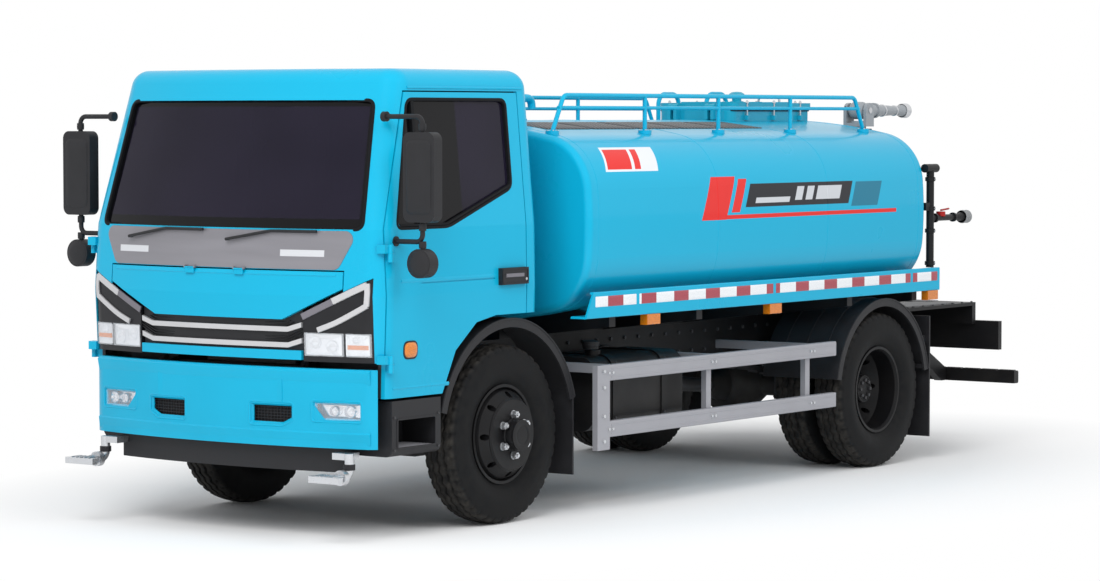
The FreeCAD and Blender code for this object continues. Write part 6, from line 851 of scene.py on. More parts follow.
class TANKER_OT_stage(bpy.types.Operator):
    """Set up the camera, the pale floor and the soft light"""

    bl_idname = "tanker.stage"
    bl_label = "Stage"

    def execute(self, context):
        scene = context.scene
        scene.view_settings.view_transform = "Standard"
        lens = bpy.data.cameras.new("camera")
        lens.sensor_width = 36.0
        lens.angle = math.radians(18.3631)
        camera = bpy.data.objects.new("camera", lens)
        camera.location = (11.8402, -16.9249, 2.1967)
        camera.rotation_euler = (math.pi / 2 - 0.0509, 0, 0.6225)
        scene.collection.objects.link(camera)
        scene.camera = camera
        self.world(scene)
        self.lamp(scene, "key_light", (5.0, -14.0, 12.0), (0.2, -1.0, 1.1), 9.0, 1750.0)
        self.lamp(scene, "side_light", (16.0, -3.0, 12.0), (0.0, 0.3, 1.2), 9.0, 1000.0)
        self.floor(scene)
        return {"FINISHED"}

    def world(self, scene):
        """Plain light all round, seen as white by the camera, glass and metal."""
        world = bpy.data.worlds.new("studio")
        world.use_nodes = True
        scene.world = world
        sky = Tree(world.node_tree)
        camera, gloss, glass = (sky.node("ShaderNodeLightPath", output="Is %s Ray" % kind)
                                for kind in ("Camera", "Glossy", "Transmission"))
        plain = sky.node("ShaderNodeBackground", inputs={0: (0.96, 0.98, 1.0, 1), 1: 0.68})
        white = sky.node("ShaderNodeBackground", inputs={0: (1, 1, 1, 1), 1: 1.0})
        mixed = sky.node("ShaderNodeMixShader", inputs={
            0: camera | (gloss | glass), 1: plain, 2: white})
        sky.node("ShaderNodeOutputWorld", inputs={0: mixed})

    def lamp(self, scene, name, place, aim, size, power):
        """A large soft lamp at a place, turned to an aim."""
        light = bpy.data.lights.new(name, "AREA")
        light.size, light.energy = size, power
        lamp = bpy.data.objects.new(name, light)
        lamp.visible_glossy = False
        turn = facing(np.array(place) - np.array(aim))
        lamp.matrix_world = Matrix([(*turn[k], place[k]) for k in range(3)] + [(0, 0, 0, 1)])
        scene.collection.objects.link(lamp)

    def floor(self, scene):
        """Pale floor that keeps the shadow and turns plain white further out."""
        mesh = bpy.data.meshes.new("floor")
        far = 150.0
        mesh.from_pydata([(-far, -far, 0), (far, -far, 0), (far, far, 0), (-far, far, 0)],
                         [], [(0, 1, 2, 3)])
        floor = bpy.data.objects.new("floor", mesh)
        scene.collection.objects.link(floor)
        finish = Finish("floor_pale", Roughness=0.9, Specular_IOR_Level=0.1,
                        Base_Color=(0.90, 0.90, 0.90))
        x, y, z = finish.place()
        distance = (x * x * 3.0 + y * y) ** 0.5
        out = ((distance - 3.3) / 2.2).maths("ADD", 0.0, clamp=True)
        seen = finish.node("ShaderNodeLightPath", output="Is Camera Ray")
        glow = finish.node("ShaderNodeEmission", inputs={0: (1, 1, 1, 1)})
        mixed = finish.node("ShaderNodeMixShader", inputs={
            0: out & seen, 1: Socket(finish, finish.shader.outputs[0]), 2: glow})
        finish.tree.links.new(mixed.link, finish.end.inputs[0])
        mesh.materials.append(finish.material)


# Tyres and wheels

TYRE_SIDE = [(0.0747, 0.2550), (0.0747, 0.2700), (0.0790, 0.2780), (0.0905, 0.2920),
             (0.1030, 0.3130), (0.1110, 0.3380), (0.1145, 0.3640), (0.1128, 0.3920),
             (0.1075, 0.4200), (0.1025, 0.4440), (0.0995, 0.4580), (0.0960, 0.4680),
             (0.0900, 0.4750)]
TYRE_RADIUS, TREAD_HALF, CROWN_FALL = 0.487, 0.0880, 0.011
GROOVES, GROOVE_HALF, GROOVE_SWING, GROOVE_WALL = (-0.042, 0.0, 0.042), 0.0065, 0.012, 0.0022
NUT_CIRCLE = 0.111
HUB_CAP = [(0.085, 0.0), (0.092, 0.0), (0.092, 0.008), (0.085, 0.012), (0.085, 0.048),
           (0.078, 0.0615), (0.052, 0.0640), (0.046, 0.0600), (0.0, 0.0600)]
HUB_FLANGE = [(0.086, 0.0), (0.096, 0.0), (0.096, 0.014), (0.086, 0.018), (0.086, 0.112),
              (0.074, 0.1212), (0.0, 0.1212)]


def bell(radius, middle, width, height):
    """Bell curve of a given height and width about a radius."""
    return height * np.exp(-((radius - middle) / width) ** 2)


def tyre_patch(middle, axle, sizes):
    """Closed tyre: a half section is mirrored and turned about the axle, its radius less the
    depth of three zigzag grooves and the shoulder notches; bells lift rings on its sides."""
    side = smooth_line(TYRE_SIDE, 3)
    crown = np.linspace(TREAD_HALF, -TREAD_HALF, 53)
    top = np.stack((crown, TYRE_RADIUS - CROWN_FALL * (crown / TREAD_HALF) ** 2), axis=1)
    section = np.concatenate((side, top, side[::-1] * (-1, 1)))
    across, radius = section[:, 0][None, :], section[:, 1][None, :]
    steps = sizes.tread_turns * 8
    angle = (np.arange(steps) * 2 * math.pi / steps)[:, None]
    blocks = angle * sizes.tread_turns / (2 * math.pi)
    zigzag = np.abs((blocks * 2) % 2 - 1) - 0.5
    gap = np.min([np.abs(across - place - zigzag * GROOVE_SWING) for place in GROOVES], axis=0)
    groove = np.clip((GROOVE_HALF - gap) / GROOVE_WALL, 0, 1) * (radius > 0.47)
    notch = np.clip((0.16 - np.abs(blocks % 1 - 0.5)) / 0.06, 0, 1)
    notch = notch * np.clip((np.abs(across) - 0.066) / 0.006, 0, 1) * (radius > 0.452)
    lift = bell(radius, 0.300, 0.004, 0.0012) + bell(radius, 0.440, 0.003, 0.0010)
    lift = lift + bell(radius, 0.322, 0.007, 0.0006) * np.sin(angle * 180)
    x = middle + across + np.sign(across) * lift
    r = radius - np.maximum(groove, notch * 0.8) * sizes.tread_depth
    points = np.stack((x, axle + r * np.cos(angle), WHEEL_Z + r * np.sin(angle)), axis=-1)
    return grid(points, wrap_rows=True, wrap_columns=True)


class TANKER_OT_tyres(bpy.types.Operator):
    """Make the six tyres with their tread and side walls"""

    bl_idname = "tanker.tyres"
    bl_label = "Tyres"

    def execute(self, context):
        for word, side in SIDES:
            for end, body, node, axle, places in (
                    ("front_", "wheel_front_", "tyre_front_", AXLE1, (0.870,)),
                    ("rear_", "wheels_rear_", "tyres_rear_", AXLE2, (0.709, 0.989))):
                tyres = [tyre_patch(side * x, axle, context.scene.tanker_sizes) for x in places]
                tread = make("tyre_tread_" + end + word, body + word, "tyre_rubber",
                             (tyres, "tyre_" + end[:-1]), sharp=35.0)
                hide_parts(node + word)
        return {"FINISHED"}


class TANKER_OT_wheels(bpy.types.Operator):
    """Add nuts, hub caps and flanges to the wheels"""

    bl_idname = "tanker.wheels"
    bl_label = "Wheel fittings"

    def execute(self, context):
        width = context.scene.tanker_sizes.nut_width
        nut = join([bolt(width, 0.031), lathe([(0.009, 0.028), (0.009, 0.040), (0, 0.041)], 10)])
        for word, side in SIDES:
            way, turn = (side, 0, 0), facing((side, 0, 0))
            front, rear = (side * 1.0192, AXLE1, WHEEL_Z), (side * 0.8582, AXLE2, WHEEL_Z)
            front_nuts, rear_nuts = (copies(nut, spots(hub, NUT_CIRCLE, 6, math.pi / 6, 0), turn)
                                     for hub in (front, rear))
            make("wheel_nuts_front_" + word, "wheel_front_" + word, "rim_paint",
                 (front_nuts, "bright_metal"), (turned(HUB_CAP, front, way, 40), "rim_paint"))
            ends = spots((side * 0.9792, AXLE2, WHEEL_Z), 0.056, 8, 0, 0)
            make("wheel_nuts_rear_" + word, "wheels_rear_" + word, "rim_paint",
                 (rear_nuts, "spring_steel"), (turned(HUB_FLANGE, rear, way, 40), "rim_paint"),
                 (copies(bolt(0.022, 0.012), ends, turn), "spring_steel"))
        return {"FINISHED"}


# Cab

WINDSCREEN = [(-0.900, 1.620), (0.900, 1.620), (0.838, 2.285), (-0.838, 2.285)]
DOOR_WINDOW = [(-3.19, 1.625), (-2.75, 1.625), (-2.17, 1.82), (-2.17, 2.29), (-3.03, 2.29)]


class TANKER_OT_glazing(bpy.types.Operator):
    """Put rubber seals round the windscreen and the door windows"""

    bl_idname = "tanker.glazing"
    bl_label = "Window seals"

    def execute(self, context):
        half = context.scene.tanker_sizes.seal_width / 2
        section = [(-half, -0.022), (half, -0.022), (half, 0.0005), (half * 0.6, 0.0022),
                   (-half * 0.6, 0.0022), (-half, -0.002)]
        panes = [("windscreen_seal", WINDSCREEN, on_front, "cab")]
        panes += [("door_seal_" + word, DOOR_WINDOW, on_side(side), "door_" + word)
                  for word, side in SIDES]
        for name, loop, lift, body in panes:
            seal = relief(corners_rounded(loop, 0.045, 8), section, lift, closed=True)
            make(name, body, "black_plastic", (seal, "tyre_rubber"))
        return {"FINISHED"}


# Lines on the left lamp, with each blade's width and height; the last one is dull
BLADES = (([(0.745, 1.250), (0.84, 1.294), (0.935, 1.337)], 0.034, 0.0035),
          ([(0.937, 1.232), (0.86, 1.190), (0.76, 1.140), (0.655, 1.100)], 0.028, 0.0035),
          ([(0.935, 1.345), (0.938, 1.290), (0.933, 1.228)], 0.026, 0.0030),
          ([(0.562, 1.166), (0.66, 1.211), (0.76, 1.257)], 0.034, 0.0))
HEAD_LAMP = [(1, 0), (1, 0.0040), (0.90, 0.0055), (0.80, 0.0018), (0.55, 0.0010),
             (0.42, 0.0045), (0.2, 0.0058), (0, 0.0060)]
FOG_LAMP = [(1, 0), (1, 0.022), (0.92, 0.025), (0.7, 0.008), (0.4, 0.004), (0.3, 0.018),
            (0, 0.021)]


def round_lamp(profile, radius, x, z, face_z, depth, side):
    """Lamp sunk into the bowed front, turned from a profile of (share of radius, height)."""
    place = (side * x, hull_front(x, face_z, -depth), z)
    return turned(np.asarray(profile) * (radius, 1), place, (side * x / FRONT_ARC, -1, 0), 32)


class TANKER_OT_headlamps(bpy.types.Operator):
    """Build the headlamps: reflectors, round lamps and bright rising blades"""

    bl_idname = "tanker.headlamps"
    bl_label = "Headlamps"

    def execute(self, context):
        for word, side in SIDES:
            blades = [rib(smooth_line(np.asarray(line) * (side, 1), 6), width, -0.009, high, 0.002,
                          on_front)
                      for line, width, high in BLADES]
            make("lamp_blades_" + word, "cab", "chrome_trim", (blades[:3], "chrome_trim"),
                 (blades[3:], "blade_grey"))
            plates = [plate(mirrored(box_loop(u0, u1, 0.971, 1.079, 0.006), side),
                            -0.0081, -0.0068, 0.0005, 0.108, on_front)
                      for u0, u1 in ((0.580, 0.788), (0.812, 0.944))]
            lamps = [round_lamp(HEAD_LAMP, radius, x, z, z, 0.0070, side) for x, z, radius
                     in ((0.633, 1.036, 0.036), (0.735, 1.014, 0.036), (0.872, 1.052, 0.020))]
            amber = plate(mirrored(box_loop(0.822, 0.938, 1.003, 1.026), side),
                          -0.0070, -0.0035, 0.001, 0.02, on_front)
            make("lamp_units_" + word, "cab", "chrome_trim", (plates, "reflector"),
                 (lamps, "reflector"), (amber, "amber_lens"))
        return {"FINISHED"}


BUMPER_LINES = ((0.884, [(0.062, -0.002), (0.004, 0.011), (-0.002, 0.0105), (-0.014, -0.002)]),
                (0.566, [(0.055, -0.002), (0.0, 0.0055), (-0.010, -0.002)]))
BUMPER_HOLE = [(0.230, 0.6025), (0.430, 0.6025), (0.490, 0.6325), (0.490, 0.7075),
               (0.230, 0.7075)]
FOG_SEAT = [(0.620, 0.634), (0.890, 0.634), (0.890, 0.726), (0.620, 0.726)]
FOG_CORNER = [(0.617, 0.631), (0.690, 0.631), (0.617, 0.712)]
RIM_SECTION = [(0.016, -0.001), (0.011, 0.0035), (0.008, 0.0035), (-0.010, -0.014),
               (-0.010, -0.020), (0.001, -0.020)]


class TANKER_OT_bumper(bpy.types.Operator):
    """Give the bumper its ledge, crease, bevelled openings, mesh and fog lamps"""

    bl_idname = "tanker.bumper"
    bl_label = "Bumper"

    def execute(self, context):
        lines = [relief([(x, z) for x in np.linspace(-0.945, 0.945, 41)], section, on_bumper)
                 for z, section in BUMPER_LINES]
        make("bumper_ledges", "chassis", "blue_paint", (lines, "blue_paint"))
        bars = [((0.226, z), (0.494, z), 0.005, -0.036, -0.026)
                for z in np.arange(0.612, 0.705, 0.0155)]
        bars += [((x, 0.598), (x, 0.712), 0.004, -0.034, -0.028)
                 for x in np.arange(0.236, 0.490, 0.0205)]
        for word, side in SIDES:
            def face_plate(loop, *profile):
                return plate(mirrored(loop, side), *profile, on_bumper)
            rims = [relief(corners_rounded(mirrored(loop, side), 0.012), RIM_SECTION, on_bumper,
                           closed=True) for loop in (BUMPER_HOLE, FOG_SEAT)]
            rims.append(face_plate(FOG_CORNER, -0.0085, -0.001, 0.002, 0.07))
            make("bumper_rims_" + word, "chassis", "blue_paint", (rims, "blue_paint"))
            mesh = [rib(mirrored([start, end], side), *size, 0.001, on_bumper)
                    for start, end, *size in bars]
            mesh.append(face_plate(box_loop(0.222, 0.498, 0.594, 0.716),
                                   -0.0435, -0.0395, 0.001, 0.1))
            make("bumper_mesh_" + word, "chassis", "black_plastic", (mesh, "black_plastic"))
            shell = face_plate(box_loop(0.624, 0.886, 0.638, 0.722, 0.008),
                               -0.047, -0.040, 0.001, 0.08)
            lamps = [round_lamp(FOG_LAMP, radius, x, 0.680, HULL_Z[0], 0.0405, side)
                     for x, radius in ((0.815, 0.033), (0.725, 0.028))]
            make("fog_units_" + word, "chassis", "bright_metal", (shell, "reflector"),
                 (lamps, "reflector"))
        return {"FINISHED"}


def risen(middle, half, reach, slope=0.457):
    """Line across the grille: level in the middle, then rising outwards to each side."""
    end = middle + (reach - half) * slope
    return [(-reach, end), (-half, middle), (half, middle), (reach, end)]


class TANKER_OT_grille(bpy.types.Operator):
    """Add the grille's slats and the crease of the front flap"""

    bl_idname = "tanker.grille"
    bl_label = "Grille"

    def execute(self, context):
        slats = [rib(corners_rounded(risen(middle, 0.455, reach), 0.02, 5, closed=False),
                     0.005, -0.026, -0.013, 0.001, on_front)
                 for middle, reach in ((1.031, 0.600), (1.045, 0.585), (1.059, 0.575),
                                      (1.116, 0.50), (1.132, 0.48))]
        make("grille_slats", "front_flap", "black_plastic", (slats, "black_gloss"))
        crease = relief([(x, 1.386) for x in np.linspace(-0.76, 0.76, 31)],
                        [(-0.016, -0.001), (0.004, 0.0035), (0.010, -0.001)], on_front)
        make("flap_crease", "front_flap", "blue_paint", (crease, "blue_paint"))
        return {"FINISHED"}


HANDLE_X, MIRROR_X, MIRROR_BACK, MIRROR_FRONT = 1.0457, 1.19, -3.1651, -3.2349
ROUND_MIRROR_Z = 1.450
LAMP_DOME = [(0, 0.002), (1, 0.002), (0.98, 0.006), (0.86, 0.011), (0.5, 0.0135), (0, 0.014)]
MIRROR_RIM = [(0.062, -SEAT), (0.070, -SEAT), (0.070, 0.006), (0.064, 0.007), (0.062, 0.004),
              (0.0615, -SEAT)]
MIRROR_CLAMP = [(0.013, -0.018), (0.019, -0.018), (0.020, 0), (0.019, 0.018), (0.013, 0.018)]
MIRROR_HEAD = [(0, -0.001), (1, -0.001), (0.97, 0.004), (0.9, 0.007), (0.6, 0.009), (0, 0.010)]
ROUND_HEAD = [(0.068, -SEAT), (0.062, 0.006), (0.040, 0.012), (0, 0.015)]


class TANKER_OT_doors(bpy.types.Operator):
    """Add handles, side lamps, mirror faces, window bars and creases to the doors"""

    bl_idname = "tanker.doors"
    bl_label = "Door fittings"

    def execute(self, context):
        for word, side in SIDES:
            body, flank = "door_" + word, on_side(side)
            crease = relief([(-3.16, 1.352), (-2.345, 1.352)],
                            [(-0.012, -0.001), (-0.004, 0.003), (0.004, 0.003), (0.012, -0.001)],
                            flank)
            sill = relief([(-3.22, 0.800), (-2.745, 0.800)],
                          [(-0.010, -0.001), (0.0, 0.003), (0.010, -0.001)], flank)
            make("door_creases_" + word, body, "blue_paint", ([crease, sill], "blue_paint"))
            bars = [rib([(-2.985, 1.634), (-2.985, 2.282)], 0.024, -0.020, 0.0008, 0.001, flank),
                    rib([(-3.165, 1.640), (-2.76, 1.640), (-2.185, 1.832)],
                        0.012, -0.012, 0.0035, 0.001, flank)]
            make("door_window_bars_" + word, body, "black_plastic", (bars, "tyre_rubber"))
            self.handle(word, side)
            base = plate(box_loop(-3.138, -3.018, 0.946, 1.042, 0.040, 8),
                         -SEAT, 0.003, 0.001, 0.09, flank)
            lens = pad(box_loop(-3.130, -3.026, 0.954, 1.034, 0.036, 8), LAMP_DOME, flank)
            make("door_lamp_" + word, body, "amber_lens", (base, "black_plastic"),
                 (lens, "amber_lens"))
            self.mirrors(word, side)
        return {"FINISHED"}

    def handle(self, word, side):
        """Grey lever and lock on the black handle housing."""
        face = beside(side, HANDLE_X)
        lever = rib([(-2.290, 1.350), (-2.130, 1.350)], 0.020, -0.001, 0.007, 0.002, face)
        rim = rib(box_loop(-2.313, -2.087, 1.307, 1.383, 0.010), 0.008, -0.001, 0.004, 0.001,
                  face, closed=True)
        lock = disc(0.008, 0.004, (side * HANDLE_X, -2.103, 1.327), (side, 0, 0), 0.001, 16)
        make("door_lever_" + word, "door_" + word, "black_plastic", (lever, "blade_grey"),
             (rim, "black_plastic"), (lock, "bright_metal"))

    def mirrors(self, word, side):
        """Bright faces on the rear of the mirror heads, with their rims, clamps and fronts."""
        x = side * MIRROR_X
        back, front = upright(x, MIRROR_BACK), upright(x, MIRROR_FRONT, -1)
        centre, ahead = (x, MIRROR_BACK, ROUND_MIRROR_Z), (x, MIRROR_FRONT, ROUND_MIRROR_Z)
        faces = [plate(box_loop(-0.078, 0.078, 1.690, 2.090, 0.030, 6),
                       -0.001, 0.002, 0.0005, 0.15, back),
                 disc(0.060, 0.003, centre, REAR)]
        rims = [rib(box_loop(-0.088, 0.088, 1.678, 2.102, 0.034, 6),
                    0.014, -0.001, 0.006, 0.002, back, closed=True),
                turned(MIRROR_RIM, centre, REAR, 32)]
        rims += [turned(MIRROR_CLAMP, (x, -3.200, z), UP, 16) for z in (1.635, 2.146, 1.545)]
        rims += [pad(box_loop(-0.080, 0.080, 1.700, 2.080, 0.035, 6), MIRROR_HEAD, front),
                 turned(ROUND_HEAD, ahead, FRONT, 32)]
        make("mirror_faces_" + word, "door_" + word, "black_plastic", (faces, "mirror"),
             (rims, "black_plastic"))


# Guards. Each arch edge: axle, radius, x, first and last angle, steps, bead radius and flatness
ARCHES = ((AXLE1, 0.6255, 0.9985, 15.5, 164.5, 48, 0.0065, 1.0),
          (AXLE2, 0.5705, 1.1165, 10.5, 169.5, 48, 0.0065, 1.0),
          (AXLE2, 0.5745, 0.70, 30, 150, 40, 0.005, 0.6),
          (AXLE2, 0.5745, 0.85, 30, 150, 40, 0.005, 0.6),
          (AXLE2, 0.5745, 1.0, 30, 150, 40, 0.005, 0.6),
          (AXLE1, 0.6295, 0.80, 25, 155, 40, 0.004, 0.6),
          (AXLE1, 0.6295, 0.90, 25, 155, 40, 0.004, 0.6))
# Strips that hold the mud flaps: y, x from and to, z
FLAP_STRIPS = ((-1.5952, 0.735, 0.995, 0.668), (2.1992, 0.590, 1.108, 0.880),
               (2.1992, 0.590, 1.108, 0.190))
RAIL_FACE, STEP_FACE = 1.1218, 1.0078


def arch(axle, radius, x, low, high, steps, bead, flat):
    """Bead round a mudguard's edge: a circle about the axle from one angle to another."""
    a = np.radians(np.linspace(low, high, steps))
    path = np.stack((np.full(steps, x), axle + radius * np.cos(a), WHEEL_Z + radius * np.sin(a)),
                    axis=1)
    return sweep(path, circle(bead, 8, flat=flat), LEFT)


class TANKER_OT_guards(bpy.types.Operator):
    """Edge the mudguards, bolt the flaps and dress the side guards and steps"""

    bl_idname = "tanker.guards"
    bl_label = "Guards"

    def execute(self, context):
        for word, side in SIDES:
            edges = [arch(axle, radius, side * x, *rest) for axle, radius, x, *rest in ARCHES]
            heads = []
            for y, x0, x1, z in FLAP_STRIPS:
                low, high = sorted((side * x0, side * x1))
                edges.append(block((low, y - SEAT, z), (high, y + 0.005, z + 0.030)))
                heads.append(bolts(0.014, [(x, y + 0.005, z + 0.015) for x
                                           in np.linspace(low + 0.03, high - 0.03, 5)], REAR))
            make("guard_edges_" + word, "chassis", "black_paint", (edges, "black_plastic"),
                 (heads, "spring_steel"))
            self.side_guard(word, side)
            self.step(word, side)
        return {"FINISHED"}

    def side_guard(self, word, side):
        """Ribs, bolts and end caps of the pale side guard."""
        face, way = beside(side, RAIL_FACE), (side, 0, 0)
        ribs, heads, caps = [], [], []
        for low in (0.734, 0.420):
            ribs += [rib([(-1.405, low + z), (1.000, low + z)], 0.007, -0.001, 0.002, 0.0008, face)
                     for z in (0.022, 0.068)]
            heads += [bolts(0.017, [(side * RAIL_FACE, y + dy, low + 0.045)
                                    for dy in (-0.018, 0.018)], way)
                      for y in (-1.413, -0.363, 0.738)]
            caps.append(block((side * 1.089, 1.0190, low + 0.001),
                              (side * 1.1215, 1.0260, low + 0.089)))
        heads.append(bolts(0.020, [(side * RAIL_FACE, -1.48, z) for z in (0.40, 0.54, 0.70, 0.79)],
                           way))
        make("side_guard_ribs_" + word, "chassis", "guard_aluminium", (ribs, "guard_aluminium"),
             (heads, "bright_metal"), (caps, "black_plastic"))

    def step(self, word, side):
        """Raised treads in the step's opening and bolts on its face."""
        treads = [block((side * x, -3.170, 0.4885), (side * (x + 0.010), -2.870, 0.493), 0.002)
                  for x in np.arange(0.810, 0.995, 0.022)]
        rim = rib(box_loop(-3.181, -2.859, 0.489, 0.639, 0.012), 0.010, -0.001, 0.004, 0.001,
                  beside(side, STEP_FACE), closed=True)
        heads = bolts(0.013, [(side * STEP_FACE, y, z) for y in (-3.205, -2.836)
                              for z in (0.480, 0.650)], (side, 0, 0))
        make("step_treads_" + word, "chassis", "black_paint", (treads, "guard_aluminium"),
             (rim, "black_plastic"), (heads, "spring_steel"))


# Tank

TANK_HALF, TANK_SIDE, TANK_CORNER = 1.115, 2.400, 0.330
LID_BOLT_Z, LID_TOP = 2.228, 2.2868
LID_STATIONS = (1.30, 1.62, 1.94)
VENT_X, VENT_Y = 0.15, -0.95
RAIL_X, RAIL_FRONT, RAIL_LENGTH = 0.80, -1.52, 3.40
BREATHER = [(0.045, -SEAT), (0.045, 0.010), (0.030, 0.014), (0.030, 0.040), (0.050, 0.044),
            (0.050, 0.058), (0.030, 0.070), (0, 0.072)]
OVERFLOW = [(0.045, -0.004), (0.045, 0.050), (0.052, 0.052), (0.052, 0.070), (0.040, 0.078),
            (0, 0.080)]


def tank_outline(grow, steps=24):
    """Barrel section as (x, z): wide arcs above and beside, small arcs at the corners. The
    corner's centre is where the arcs about both hubs, each less the corner, meet."""
    middle = (TANK_TOP + TANK_LOW) / 2
    crown_hub, side_hub = TANK_TOP - TANK_CROWN - middle, TANK_HALF - TANK_SIDE
    a, b = TANK_CROWN - TANK_CORNER, TANK_SIDE - TANK_CORNER
    span = math.hypot(side_hub, crown_hub)
    along = (a * a - b * b + span * span) / (2 * span)
    across = math.sqrt(a * a - along * along)
    ux, uz = side_hub / span, -crown_hub / span
    cx, cz = ux * along + uz * across, crown_hub + uz * along - ux * across
    top, beside_end = math.atan2(cz - crown_hub, cx), math.atan2(cz, cx - side_hub)
    parts = []
    for hub, radius, start, end in (((side_hub, 0), TANK_SIDE, 0, beside_end),
                                    ((cx, cz), TANK_CORNER, beside_end, top),
                                    ((0, crown_hub), TANK_CROWN, top, math.pi / 2)):
        t = np.linspace(start, end, steps, endpoint=False)
        parts.append(np.stack((hub[0] + (radius + grow) * np.cos(t),
                               hub[1] + (radius + grow) * np.sin(t)), axis=1))
    quarter = np.concatenate(parts + [np.array([(0, crown_hub + TANK_CROWN + grow)])])
    upper = np.concatenate((quarter, (quarter * (-1, 1))[::-1][1:]))
    return np.concatenate((upper, (upper * (1, -1))[::-1][1:-1])) + (0, middle)


def tank_ring(y, width, height):
    """Bead all round the tank at y: the barrel section, grown by each height of its profile."""
    rings = []
    for shift, grow in ((-width / 2, -0.001), (-width * 0.3, height), (width * 0.3, height),
                        (width / 2, -0.001)):
        rings.append(np.insert(tank_outline(grow), 1, y + shift, axis=1))
    return grid(np.stack(rings), wrap_rows=True, wrap_columns=True)


class TANKER_OT_tank_top(bpy.types.Operator):
    """Weld seams, walkway, manhole clamps, vents and handrail feet of the tank"""

    bl_idname = "tanker.tank_top"
    bl_label = "Tank top"

    def execute(self, context):
        seams = [tank_ring(y, 0.008, 0.0012) for y in (-1.515, -0.30, 0.93, 2.045)]
        make("tank_seams", "chassis", "blue_paint", (seams, "tank_paint"))
        walk = [plate(box_loop(low, low + 0.30, start, start + 0.44, 0.012),
                      -0.001, 0.004, 0.001, 0.3, on_crown)
                for low in (0.36, -0.66) for start in np.arange(-1.38, 0.90, 0.46)]
        make("tank_walkway", "chassis", "black_plastic", (walk, "tread_plate"))
        self.manhole()
        self.vent()
        foot_z = TANK_TOP - TANK_CROWN + math.sqrt(TANK_CROWN ** 2 - RAIL_X ** 2) + 0.0185
        feet = [bolts(0.009, spots((side * RAIL_X, RAIL_FRONT + RAIL_LENGTH * share, foot_z),
                                   0.030, 4, 0.785), UP)
                for side in (1, -1) for share in (0.0, 0.27, 0.5, 0.74, 1.0)]
        make("rail_foot_bolts", "chassis", "turquoise_paint", (feet, "bright_metal"))
        return {"FINISHED"}

    def manhole(self):
        """Swing bolts round the lid, its gasket, stiffening ribs and handle."""
        places = [(side * 0.294, y) for side in (1, -1) for y in LID_STATIONS]
        places += [(x, 2.114) for x in (-0.15, 0.15)]
        lugs, nuts = [], []
        for x, y in places:
            lugs.append(lump((x, y, LID_BOLT_Z - 0.035), (0.014, 0.014, 0.015)))
            nuts.append(turned([(0.006, -0.045), (0.006, 0.075), (0, 0.075)],
                               (x, y, LID_BOLT_Z), UP, 10))
            nuts.append(bolts(0.020, (x, y, LID_BOLT_Z + 0.058), UP, 0.012))
        lip = rib(box_loop(-0.280, 0.280, 1.152, 2.100, 0.06, 8), 0.012, 2.234, 2.2455, 0.003,
                  level(0), closed=True)
        make("manhole_clamps", "chassis", "turquoise_paint", (lugs, "turquoise_paint"),
             (nuts, "bright_metal"), (lip, "tyre_rubber"))
        lines = [[(-0.20, y), (0.20, y)] for y in LID_STATIONS] + [[(0.0, 1.24), (0.0, 2.00)]]
        ribs = [rib(line, 0.020, -0.001, 0.008, 0.003, level(LID_TOP))
                for line in lines]
        ribs.append(turned(BREATHER, (0.12, 1.45, LID_TOP), UP, 24))
        grip = tube([(-0.08, 2.03, 2.285), (-0.08, 2.03, 2.325), (0.08, 2.03, 2.325),
                     (0.08, 2.03, 2.285)], 0.008, 0.02, REAR)
        make("manhole_lid_ribs", "manhole_lid", "turquoise_paint", (ribs, "turquoise_paint"),
             (grip, "bright_metal"))

    def vent(self):
        """Gooseneck air vent and a capped overflow on the crown."""
        crown = float(on_crown(np.array(VENT_X), np.array(0.0), np.array(0.0))[2])
        neck = tube([(VENT_X, VENT_Y, crown - 0.005), (VENT_X, VENT_Y, crown + 0.13),
                     (VENT_X, VENT_Y + 0.13, crown + 0.13), (VENT_X, VENT_Y + 0.13, crown + 0.07)],
                    0.024, 0.05, LEFT, 16)
        collar = disc(0.050, 0.012, (VENT_X, VENT_Y, crown - 0.001), UP)
        cap = turned(OVERFLOW, (-VENT_X, VENT_Y, crown), UP, 28)
        heads = bolts(0.011, spots((VENT_X, VENT_Y, crown + 0.011), 0.038, 6), UP)
        make("tank_vents", "chassis", "blue_paint", ([neck, collar, cap], "blue_paint"),
             (heads, "bright_metal"))


# Rear end

RISER, PUMP_Z, DECK_Z, MONITOR_Z = (0.420, 2.470), 1.1597, 0.9673, 2.2402
REAR_FACE, LAMP_FACE, POST_NOZZLE_Z = 3.1549, 3.1829, 1.550
REAR_DOME = [(0, -SEAT), (1, -SEAT), (0.97, 0.004), (0.8, 0.0065), (0, 0.007)]
POST_CLAMPS = (1.262, 1.470, 1.612, 1.800)
NOZZLE_TIP = [(0.040, -0.070), (0.043, -0.060), (0.043, -0.046), (0.0395, -0.040),
              (0.0415, -0.010), (0.043, 0.0), (0.030, 0.001), (0.024, -0.03), (0, -0.03)]


